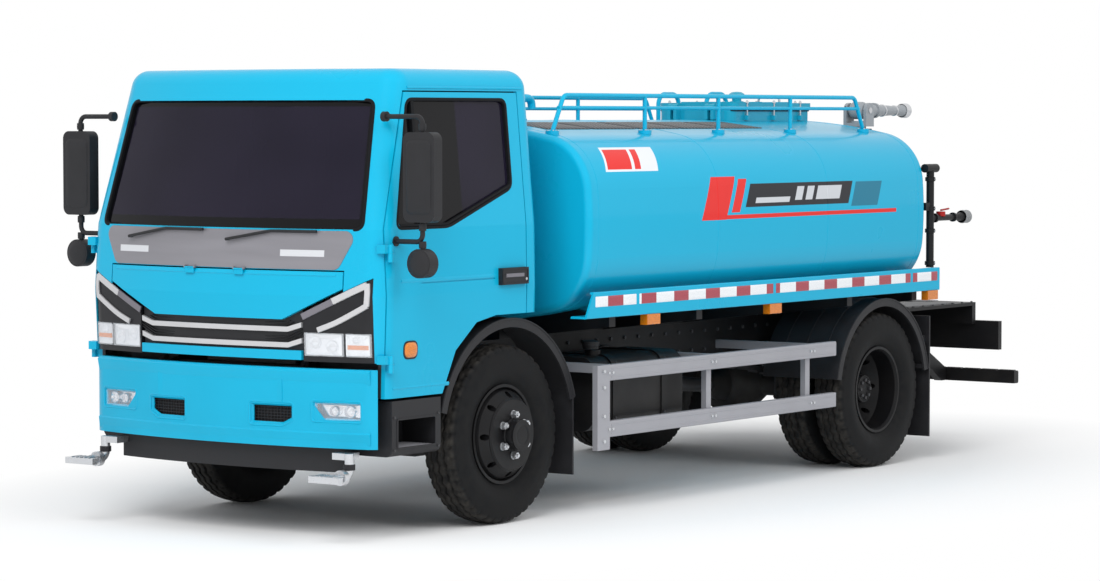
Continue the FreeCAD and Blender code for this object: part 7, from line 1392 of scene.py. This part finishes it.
class TANKER_OT_rear(bpy.types.Operator):
    """Dress the deck, the rear lamps, the ladder, the low step and the spray posts"""

    bl_idname = "tanker.rear"
    bl_label = "Rear end"

    def execute(self, context):
        deck = [block((x, y, DECK_Z - SEAT), (x1, y1, DECK_Z + 0.004)) for x, y, x1, y1 in
                ((-0.66, 2.90, -0.02, 3.09), (0.04, 2.90, 0.68, 3.09), (0.62, 2.24, 0.93, 2.86))]
        step = [block((x, 3.538, 0.4845), (x + 0.12, 3.582, 0.489))
                for x in np.arange(-0.99, 0.9, 0.134)]
        make("deck_treads", "chassis", "black_paint", (deck, "tread_plate"),
             (step, "black_plastic"))
        heads = [bolts(0.016, [(x, 3.1548, z) for x in np.arange(-0.66, 0.67, 0.12)
                               for z in (0.675, 0.825)], REAR),
                 bolts(0.014, [(x, y, DECK_Z) for x in (-0.93, 0.935)
                               for y in np.arange(2.30, 3.10, 0.13)], UP)]
        make("deck_bolts", "chassis", "black_paint", (heads, "spring_steel"))
        for word, side in SIDES:
            self.lamps(word, side)
            self.post(word, side)
        board = upright(0, REAR_FACE)
        bare = plate(box_loop(-0.22, 0.22, 0.690, 0.810, 0.012), -SEAT, 0.006, 0.001, 0.1, board)
        lights = [block((x - 0.02, 3.1545, 0.815), (x + 0.02, 3.180, 0.835))
                  for x in (-0.14, 0.14)]
        make("plate_place", "chassis", "black_paint", (bare, "guard_aluminium"),
             (lights, "black_plastic"))
        tape = [plate(box_loop(x, x + 0.16, 0.702, 0.738, 0.003),
                      -SEAT, 0.0012, 0.0004, 0.03, board)
                for x in (-0.62, -0.42, 0.26, 0.46)]
        make("rear_tape", "chassis", "red_lens", (tape, "rear_tape"))
        grips = [turned(band(0.0125, 0.0150, 0.130, 0.004), (-0.64, 2.215, z), LEFT, 16)
                 for z in (1.2075, 1.4775, 1.7475, 2.0175)]
        make("ladder_grips", "chassis", "black_plastic", (grips, "black_plastic"))
        return {"FINISHED"}

    def lamps(self, word, side):
        """Bezel and three chambers of a rear lamp."""
        face = upright(0, LAMP_FACE)
        rim = rib(mirrored(box_loop(0.766, 1.092, 0.697, 0.803, 0.010), side),
                  0.010, -0.010, 0.006, 0.002, face, closed=True)
        chambers = [(pad(mirrored(box_loop(u0, u1, 0.709, 0.791, 0.006), side), REAR_DOME, face),
                     key) for u0, u1, key in ((0.780, 0.872, "lamp_white"),
                                              (0.880, 0.976, "red_lens"),
                                              (0.984, 1.078, "amber_lens"))]
        make("rear_lamp_faces_" + word, "chassis", "red_lens", (rim, "black_plastic"), *chambers)

    def post(self, word, side):
        """Clamps, valve and nozzle rings of a rear spray post."""
        x, y = side * 1.100, 2.220
        rings = [turned(band(0.0245, 0.033, 0.014, 0.002), (x, y, z), UP, 20)
                 for z in POST_CLAMPS]
        rings += [turned(band(0.0195, 0.030, 0.010, 0.002), (x, y + s, POST_NOZZLE_Z), REAR,
                         20) for s in (0.06, 0.30)]
        valve = [disc(0.030, 0.030, (x, y + 0.14, 1.560), UP),
                 tube([(x, y + 0.14, 1.598), (x + side * 0.002, y + 0.24, 1.606)], 0.006)]
        heads = [bolts(0.010, [(x + side * 0.033, y, z) for z in POST_CLAMPS], (side, 0, 0)),
                 turned(NOZZLE_TIP, (x, y + 0.480, POST_NOZZLE_Z), REAR, 24)]
        make("post_fittings_" + word, "chassis", "bright_metal", (rings, "black_paint"),
             (heads, "pump_metal"), (valve, "red_paint"))


FLANGE_CIRCLE, FLANGE_BOLT = 0.078, 0.018
VALVE_Z, WHEEL_OUT, GAUGE_OUT, GAUGE_Z = 1.330, 0.143, 0.050, 1.72
VALVE_NECK = [(0.030, 0.03), (0.030, 0.085), (0.018, 0.090), (0.009, 0.092), (0.009, 0.150),
              (0, 0.150)]
GAUGE = [(0.012, -0.010), (0.012, 0.020), (0.034, 0.022), (0.036, 0.028), (0.036, 0.044),
         (0.032, 0.046)]
MONITOR_TIP = [(0.0440, -0.055), (0.0480, -0.050), (0.0495, -0.004), (0.0450, 0.0),
               (0.0400, -0.001)]


class TANKER_OT_pump(bpy.types.Operator):
    """Add flange bolts, cooling fins, valves, gauges and couplings to pump and monitor"""

    bl_idname = "tanker.pump"
    bl_label = "Pump and monitor"

    def execute(self, context):
        x, y = RISER
        # Bolt circles: centre, radius, count, phase, axis and direction
        circles = [((x, y, z), FLANGE_CIRCLE, 8, 0.4, 2, (0, 0, way))
                   for z, way in ((2.0680, -1), (1.5500, -1), (1.5940, 1))]
        circles.append(((x - 0.286, 2.1622, 1.230), FLANGE_CIRCLE, 8, 0.4, 1, REAR))
        circles += [((x + end, y, PUMP_Z), 0.160, 10, 0.2, 0, (way, 0, 0))
                    for end, way in ((-0.416, -1), (-0.156, 1))]
        heads = [bolts(FLANGE_BOLT, spots(*circle_at), way) for *circle_at, way in circles]
        body = [turned(band(0.1230, 0.1330, 0.004, 0.002), (x - 0.412 + s, y, PUMP_Z), LEFT,
                       40) for s in np.arange(-0.43, 0.0, 0.030)]
        body.append(block((x - 0.72, y - 0.05, PUMP_Z + 0.112),
                          (x - 0.56, y + 0.05, PUMP_Z + 0.175), 0.008))
        body.append(tube([(x - 0.64, y + 0.045, PUMP_Z + 0.145),
                          (x - 0.64, y + 0.16, PUMP_Z + 0.145), (x - 0.64, y + 0.16, DECK_Z)],
                         0.009, 0.04, LEFT))
        self.valve(x, y)
        make("pump_fins", "chassis", "grey_paint", (body, "grey_paint"), (heads, "spring_steel"))
        dial = (x, y + GAUGE_OUT, GAUGE_Z)
        make("pump_gauge", "chassis", "bright_metal",
             (turned(GAUGE, dial, REAR, 28), "black_plastic"),
             (turned([(0.032, 0.0425), (0, 0.0425)], dial, REAR, 28), "lamp_white"),
             (turned([(0.0398, 0), (0.047, 0.003), (0.047, 0.030), (0.0398, 0.034)],
                     (x + 0.11, y, PUMP_Z), LEFT, 28), "bright_metal"))
        self.monitor(x, y)
        return {"FINISHED"}

    def valve(self, x, y):
        """Handwheel valve on the riser."""
        cast = [turned(band(0.056, 0.060, 0.055, 0.010), (x, y, VALVE_Z), UP, 28),
                turned(VALVE_NECK, (x, y, VALVE_Z), REAR, 16)]
        hub = (x, y + WHEEL_OUT, VALVE_Z)
        wheel = [sweep(spots(hub, 0.062, 32, 0, 1), circle(0.006, 8), REAR, closed=True)]
        wheel += [tube([hub, (x + 0.060 * math.cos(t), hub[1], VALVE_Z + 0.060 * math.sin(t))],
                       0.004, 0, REAR, 8) for t in (0.5, 2.07, 3.64, 5.21)]
        make("riser_valve", "chassis", "grey_paint", (cast, "grey_paint"), (wheel, "red_paint"))

    def monitor(self, x, y):
        """Bolts, tiller and rings of the water monitor."""
        eyes = [disc(0.020, 0.006, (x + s * 0.0875, y, MONITOR_Z), (s, 0, 0)) for s in (-1, 1)]
        heads = bolts(FLANGE_BOLT, spots((x, y, 2.1120), FLANGE_CIRCLE, 8, 0.4), UP)
        make("turret_bolts", "monitor_turret", "bright_metal", (heads, "spring_steel"),
             (eyes, "bright_metal"))
        rings = [turned(band(r - 0.004, r + 0.004, 0.008, 0.002), (x, y + s, MONITOR_Z),
                        REAR, 28) for s, r in ((0.10, 0.0440), (0.30, 0.0370), (0.46, 0.0315))]
        rings.append(turned(MONITOR_TIP, (x, y + 0.6198, MONITOR_Z), REAR, 32))
        tiller = tube([(x - 0.045, y + 0.14, MONITOR_Z), (x - 0.075, y + 0.14, MONITOR_Z),
                       (x - 0.075, y - 0.045, MONITOR_Z + 0.02)], 0.008, 0.02)
        make("monitor_fittings", "monitor_barrel", "bright_metal", (rings, "bright_metal"),
             (tiller, "black_plastic"))


# Chassis

RAIL_OUTER, RAIL_INNER, SPRING_X, BRAKE_X = 0.4397, 0.4265, 0.405, 0.530
BRAKE_CAN = [(0.030, -0.03), (0.062, -0.020), (0.072, 0.0), (0.072, 0.012), (0.078, 0.014),
             (0.078, 0.026), (0.072, 0.028), (0.072, 0.075), (0.055, 0.090), (0, 0.092)]
FUEL_CAP = [(0.044, -0.002), (0.044, 0.012), (0.050, 0.014), (0.050, 0.040), (0.042, 0.046),
            (0, 0.047)]


class TANKER_OT_chassis(bpy.types.Operator):
    """Bolt the frame, clamp the springs and add brakes, lines and tank fittings"""

    bl_idname = "tanker.chassis"
    bl_label = "Chassis"

    def execute(self, context):
        for word, side in SIDES:
            heads = [bolts(0.020, [(side * RAIL_OUTER, y, z) for y in np.arange(-2.75, 2.70, 0.145)
                                   for z in (0.775, 0.890)], (side, 0, 0))]
            clamps, plates = [], []
            near, far = side * (SPRING_X - 0.043), side * (SPRING_X + 0.043)
            for axle, low in ((AXLE1, 0.520), (AXLE2, 0.400)):
                for y in (axle - 0.070, axle + 0.070):
                    clamps.append(tube([(near, y, low), (near, y, 0.630), (far, y, 0.630),
                                        (far, y, low)], 0.0075, 0.018, REAR, 10))
                    heads.append(bolts(0.020, [(near, y, low + 0.012), (far, y, low + 0.012)],
                                       DOWN, 0.014))
                plates += [block((side * SPRING_X - 0.052, axle - 0.085, z0),
                                 (side * SPRING_X + 0.052, axle + 0.085, z1))
                           for z0, z1 in ((0.6145, 0.628), (low + 0.010, low + 0.022))]
            make("spring_clamps_" + word, "chassis", "spring_steel",
                 (clamps + heads, "spring_steel"), (plates, "black_paint"))
            self.brakes(word, side)
        lines = [tube([(side * RAIL_INNER, start, z), (side * RAIL_INNER, end, z)], 0.0055, 0,
                      LEFT, 8)
                 for k, z in enumerate((0.915, 0.900, 0.885))
                 for side, start, end in ((-1, -2.6, 2.0), (1, -2.6 + 0.1 * k, 1.2))]
        make("air_lines", "chassis", "black_plastic", (lines, "tyre_rubber"))
        self.tanks()
        return {"FINISHED"}

    def brakes(self, word, side):
        """Brake chamber and its hose on the drive axle."""
        x = side * BRAKE_X
        can = turned(BRAKE_CAN, (x, AXLE2 - 0.115, WHEEL_Z + 0.02), FRONT, 28)
        stay = block((x - 0.035, AXLE2 - 0.120, WHEEL_Z - 0.030),
                     (x + 0.035, AXLE2 - 0.060, WHEEL_Z + 0.060))
        hose = tube([(x, AXLE2 - 0.200, WHEEL_Z + 0.03), (side * 0.500, AXLE2 - 0.30, 0.60),
                     (side * RAIL_INNER, AXLE2 - 0.35, 0.74),
                     (side * RAIL_INNER, AXLE2 - 0.41, 0.886)], 0.009, 0.05, LEFT, 10)
        make("brake_chamber_" + word, "chassis", "axle_paint", ([can, stay], "axle_paint"),
             (hose, "tyre_rubber"))

    def tanks(self):
        """Cap and strap bolts of the fuel tank, lid and latches of the battery box."""
        fuel = [turned(FUEL_CAP, (0.830, -1.190, 0.8895), UP, 12),
                disc(0.035, 0.008, (0.70, -0.88, 0.8798), UP),
                rib([(-1.322, 0.50), (-1.322, 0.80)], 0.006, -0.001, 0.002, 0.0008,
                    beside(1, 0.950))]
        heads = bolts(0.016, [(0.9570, y, z) for y in (-1.125, -0.630) for z in (0.50, 0.81)],
                      LEFT)
        make("fuel_fittings", "chassis", "black_paint", (fuel, "black_plastic"),
             (heads, "spring_steel"))
        face = beside(-1, 0.8598)
        lid = [rib([(-1.328, 0.800), (-0.772, 0.800)], 0.014, -0.001, 0.006, 0.002, face)]
        lid += [rib([(y, 0.600), (y, 0.780)], 0.018, -0.001, 0.005, 0.002, face)
                for y in np.arange(-1.27, -0.80, 0.11)]
        latches = [block((-0.8698, y - 0.014, 0.760), (-0.8590, y + 0.014, 0.840))
                   for y in (-1.20, -0.90)]
        make("battery_lid", "chassis", "black_plastic", (lid, "black_plastic"),
             (latches, "bright_metal"))


class TANKER_OT_nozzles(bpy.types.Operator):
    """Add clamps, ribs and bolts to the front spray nozzles"""

    bl_idname = "tanker.nozzles"
    bl_label = "Nozzles"

    def execute(self, context):
        for word, side in SIDES:
            x = side * 0.850
            ribs = [block((x + s - 0.003, -3.585, 0.3665), (x + s + 0.003, -3.50, 0.373))
                    for s in (-0.06, -0.03, 0.0, 0.03, 0.06)]
            clamp = turned(band(0.0245, 0.031, 0.016, 0.002), (x, -3.380, 0.400), UP, 20)
            nuts = bolts(0.016, spots((x, -3.440, 0.350), 0.030, 4, 0.785, 1), REAR)
            make("nozzle_fittings_" + word, "chassis", "bright_metal", (ribs, "bright_metal"),
                 (clamp, "black_plastic"), (nuts, "spring_steel"))
        return {"FINISHED"}


# Inside the cab

SEAT_X, LEVER_FOOT, LEVER_TOP = 0.52, (0.02, -2.70, 1.02), (0.03, -2.66, 1.38)
HOOD = [(-0.05, -0.003), (-0.03, 0.035), (0.03, 0.035), (0.05, -0.003)]
LEVER_KNOB = [(0.012, -0.02), (0.026, 0.0), (0.028, 0.02), (0.018, 0.04), (0, 0.044)]
LEVER_BOOT = [(0.09, 0.0), (0.07, 0.03), (0.04, 0.07), (0.014, 0.10)]


class TANKER_OT_cab_inside(bpy.types.Operator):
    """Add vents, a gear lever, belts, seat brackets and wall ribs to the cab"""

    bl_idname = "tanker.cab_inside"
    bl_label = "Cab inside"

    def execute(self, context):
        parts = [lump((x, -3.017 + 0.012 * k, 1.49975), (0.055, 0.003, 0.00325), 0.001)
                 for x in (-0.70, -0.10, 0.12, 0.85) for k in range(5)]
        belts, posts = [], []
        for side in (-1, 1):
            belts.append(sweep([(side * 0.900, -2.010, 2.050), (side * 0.920, -2.012, 1.750),
                                (side * 0.925, -2.012, 1.250)],
                               [(-0.022, 0), (0.022, 0), (0.022, 0.002), (-0.022, 0.002)],
                               (side, 0, 0)))
            parts.append(lump((side * 0.925, -2.0125, 1.205), (0.030, 0.0275, 0.055)))
            parts.append(lump((side * 0.905, -2.011, 2.0575), (0.030, 0.019, 0.0175)))
            parts += [lump((side * SEAT_X + s, -2.190, 1.485), (0.007, 0.025, 0.085))
                      for s in (-0.232, 0.232)]
            posts += [tube([(side * SEAT_X + s, -2.150, 2.050), (side * SEAT_X + s, -2.135, 2.190)],
                           0.007, 0, LEFT, 10) for s in (-0.06, 0.06)]
        parts += [relief([(0.36, 0.0), (0.68, 0.0)], HOOD, level(1.497, -3.08)),
                  tube([LEVER_FOOT, LEVER_TOP], 0.010, 0, LEFT),
                  turned(LEVER_KNOB, LEVER_TOP, UP, 20),
                  turned(LEVER_BOOT, LEVER_FOOT, UP, 24)]
        make("cab_fittings", "cab", "cab_trim", (parts, "cab_trim"), (belts, "guard_aluminium"),
             (posts, "bright_metal"))
        ribs = [relief([(x, 1.30), (x, 1.70)],
                       [(-0.018, -0.001), (-0.010, 0.006), (0.010, 0.006), (0.018, -0.001)],
                       upright(0, -1.9401)) for x in np.arange(-0.75, 0.8, 0.25)]
        ribs += [rib([(-3.02, 2.352), (-2.02, 2.352)], 0.012, -0.002, 0.006, 0.002,
                     on_side(side)) for side in (1, -1)]
        make("cab_ribs", "cab", "blue_paint", (ribs, "blue_paint"))
        return {"FINISHED"}


class TANKER_OT_marks(bpy.types.Operator):
    """Lay the reflecting tape along the side beams"""

    bl_idname = "tanker.marks"
    bl_label = "Tape"

    def execute(self, context):
        height = context.scene.tanker_sizes.tape_height
        for word, side in SIDES:
            tape = [plate(box_loop(start, end, TAPE_Z - height / 2, TAPE_Z + height / 2, 0.004),
                          -0.0003, 0.0006, 0.0003, height, beside(side, VALANCE_FACE))
                    for start, end in ((-1.60, -1.20), (-1.17, 0.245), (0.275, 1.885),
                                       (1.915, 2.23))]
            make("side_tape_" + word, "chassis", "blue_paint", (tape, "tape"))
        return {"FINISHED"}


# Seats

VOXEL, SWELL, PRESSURE, FRAMES = 0.012, 0.012, 4.0, 20
# Half sizes, sewn channels and place of the cushion, the back and the head rest
PADS = (((0.228, 0.218, 0.058), 3, (SEAT_X, -2.385, 1.430)),
        ((0.214, 0.292, 0.042), 3, (SEAT_X, -2.175, 1.800)),
        ((0.125, 0.068, 0.030), 0, (SEAT_X, -2.130, 2.195)))
BACK_LEAN = math.radians(84.5)


def cushion(half, crown):
    """Padded block: a superellipsoid, each sine and cosine of it drawn to a power."""
    v = np.linspace(-math.pi / 2, math.pi / 2, 48)[:, None]
    u = np.linspace(-math.pi, math.pi, 96, endpoint=False)[None, :]
    cos_v, sin_v, cos_u, sin_u = (np.sign(value) * np.abs(value) ** crown
                                  for value in (np.cos(v), np.sin(v), np.cos(u), np.sin(u)))
    points = np.stack((half[0] * cos_v * cos_u, half[1] * cos_v * sin_u,
                       half[2] * sin_v + 0 * u), axis=-1)
    return grid(points, wrap_columns=True)


def blown(patch):
    """Cloth skin of a patch: remeshed to even quads, run under pressure, each move capped."""
    scene = bpy.context.scene
    mesh = bpy.data.meshes.new("skin")
    mesh.from_pydata(patch[0].tolist(), [], patch[1].tolist())
    skin = bpy.data.objects.new("skin", mesh)
    scene.collection.objects.link(skin)
    even = skin.modifiers.new("even", "REMESH")
    even.mode, even.voxel_size = "VOXEL", VOXEL
    view = bpy.context.evaluated_depsgraph_get()
    skin.data = bpy.data.meshes.new_from_object(skin.evaluated_get(view))
    skin.modifiers.clear()
    count = len(skin.data.vertices)
    start, end = np.empty(count * 3), np.empty(count * 3)
    quads = np.empty(len(skin.data.loops), np.int32)
    skin.data.vertices.foreach_get("co", start)
    skin.data.loops.foreach_get("vertex_index", quads)
    cloth = skin.modifiers.new("cloth", "CLOTH").settings
    cloth.use_pressure, cloth.uniform_pressure_force = True, PRESSURE
    cloth.effector_weights.gravity = 0.0
    for step in range(1, FRAMES + 1):
        scene.frame_set(step)
    view = bpy.context.evaluated_depsgraph_get()
    skin.evaluated_get(view).data.vertices.foreach_get("co", end)
    scene.frame_set(1)
    bpy.data.objects.remove(skin)
    start, move = start.reshape(-1, 3), (end - start).reshape(-1, 3)
    far = np.linalg.norm(move, axis=1, keepdims=True)
    return start + move * np.minimum(1.0, SWELL / np.maximum(far, 1e-9)), quads.reshape(-1, 4)


def quilted(patch, half, channels):
    """Patch with sewn channels pressed in along it: a clipped cosine over its width."""
    points, quads = patch
    press = np.clip(np.cos(points[:, 0] / half[0] * math.pi * channels), 0.6, 1.0) - 0.6
    share = np.clip(np.abs(points[:, 2]) / half[2] - 0.4, 0, 1)
    points = points.copy()
    points[:, 2] -= np.sign(points[:, 2]) * press * share * 0.022
    return points, quads


def piping(patch, radius=0.004):
    """Welt round a pad: a tube along the pad's own outline at half its thickness."""
    points = patch[0]
    middle = points[np.abs(points[:, 2]) < VOXEL]
    turn = np.arctan2(middle[:, 1], middle[:, 0])
    order = np.argsort(turn)
    angle = np.linspace(-math.pi, math.pi, 97)[:-1]
    path = np.stack([np.interp(angle, turn[order], middle[order, k], period=2 * math.pi)
                     for k in (0, 1)] + [0 * angle], axis=1)
    return sweep(path, circle(radius, 8), UP, closed=True)


class TANKER_OT_seats(bpy.types.Operator):
    """Make the two seats, their pads blown up as cloth, with welts and head rests"""

    bl_idname = "tanker.seats"
    bl_label = "Seats"

    def execute(self, context):
        cos, sin = math.cos(BACK_LEAN), math.sin(BACK_LEAN)
        lean = np.array([[1, 0, 0], [0, cos, -sin], [0, sin, cos]])
        pads, welts = [], []
        for (half, channels, place), turn in zip(PADS, (np.eye(3), lean, lean)):
            patch = blown(cushion(half, context.scene.tanker_sizes.cushion_crown))
            places = np.array((place, place)) * ((1, 1, 1), (-1, 1, 1))
            welts.append(copies(piping(patch), places, turn))
            if channels:
                patch = quilted(patch, half, channels)
            pads.append(copies(patch, places, turn))
        seats = make("seat_pads", "cab", "seat_cloth", (pads, "seat_cloth"), (welts, "cab_trim"))
        finer = seats.modifiers.new("finer", "SUBSURF")
        finer.levels = finer.render_levels = 1
        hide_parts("seats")
        return {"FINISHED"}


OPERATORS = (
    TANKER_OT_stage, TANKER_OT_finishes, TANKER_OT_tyres, TANKER_OT_wheels, TANKER_OT_glazing,
    TANKER_OT_headlamps, TANKER_OT_bumper, TANKER_OT_grille, TANKER_OT_doors, TANKER_OT_guards,
    TANKER_OT_tank_top, TANKER_OT_rear, TANKER_OT_pump, TANKER_OT_chassis, TANKER_OT_nozzles,
    TANKER_OT_cab_inside, TANKER_OT_marks, TANKER_OT_seats,
)


class TANKER_PT_dressing(bpy.types.Panel):
    """Lists the truck's pieces in the sidebar"""

    bl_label = "Tanker truck"
    bl_idname = "TANKER_PT_dressing"
    bl_space_type = "VIEW_3D"
    bl_region_type = "UI"
    bl_category = "Tanker"

    def draw(self, context):
        column = self.layout.column()
        for group in (context.scene.tanker_sizes, context.scene.tanker_colours):
            for key in group.__annotations__:
                column.prop(group, key)
        for operator in OPERATORS:
            column.operator(operator.bl_idname)


CLASSES = (TankerSizes, TankerColours) + OPERATORS + (TANKER_PT_dressing,)


def register():
    """Register the classes and the scene's two groups of values."""
    for item in CLASSES:
        bpy.utils.register_class(item)
    bpy.types.Scene.tanker_sizes = PointerProperty(type=TankerSizes)
    bpy.types.Scene.tanker_colours = PointerProperty(type=TankerColours)


def unregister():
    """Take the groups and classes away again."""
    del bpy.types.Scene.tanker_colours
    del bpy.types.Scene.tanker_sizes
    for item in reversed(CLASSES):
        bpy.utils.unregister_class(item)


def main():
    """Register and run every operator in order."""
    register()
    for operator in OPERATORS:
        group, name = operator.bl_idname.split(".")
        result = getattr(getattr(bpy.ops, group), name)()
        if "FINISHED" not in result:
            raise RuntimeError("the step %s did not finish" % operator.bl_idname)


if __name__ == "__main__":
    main()
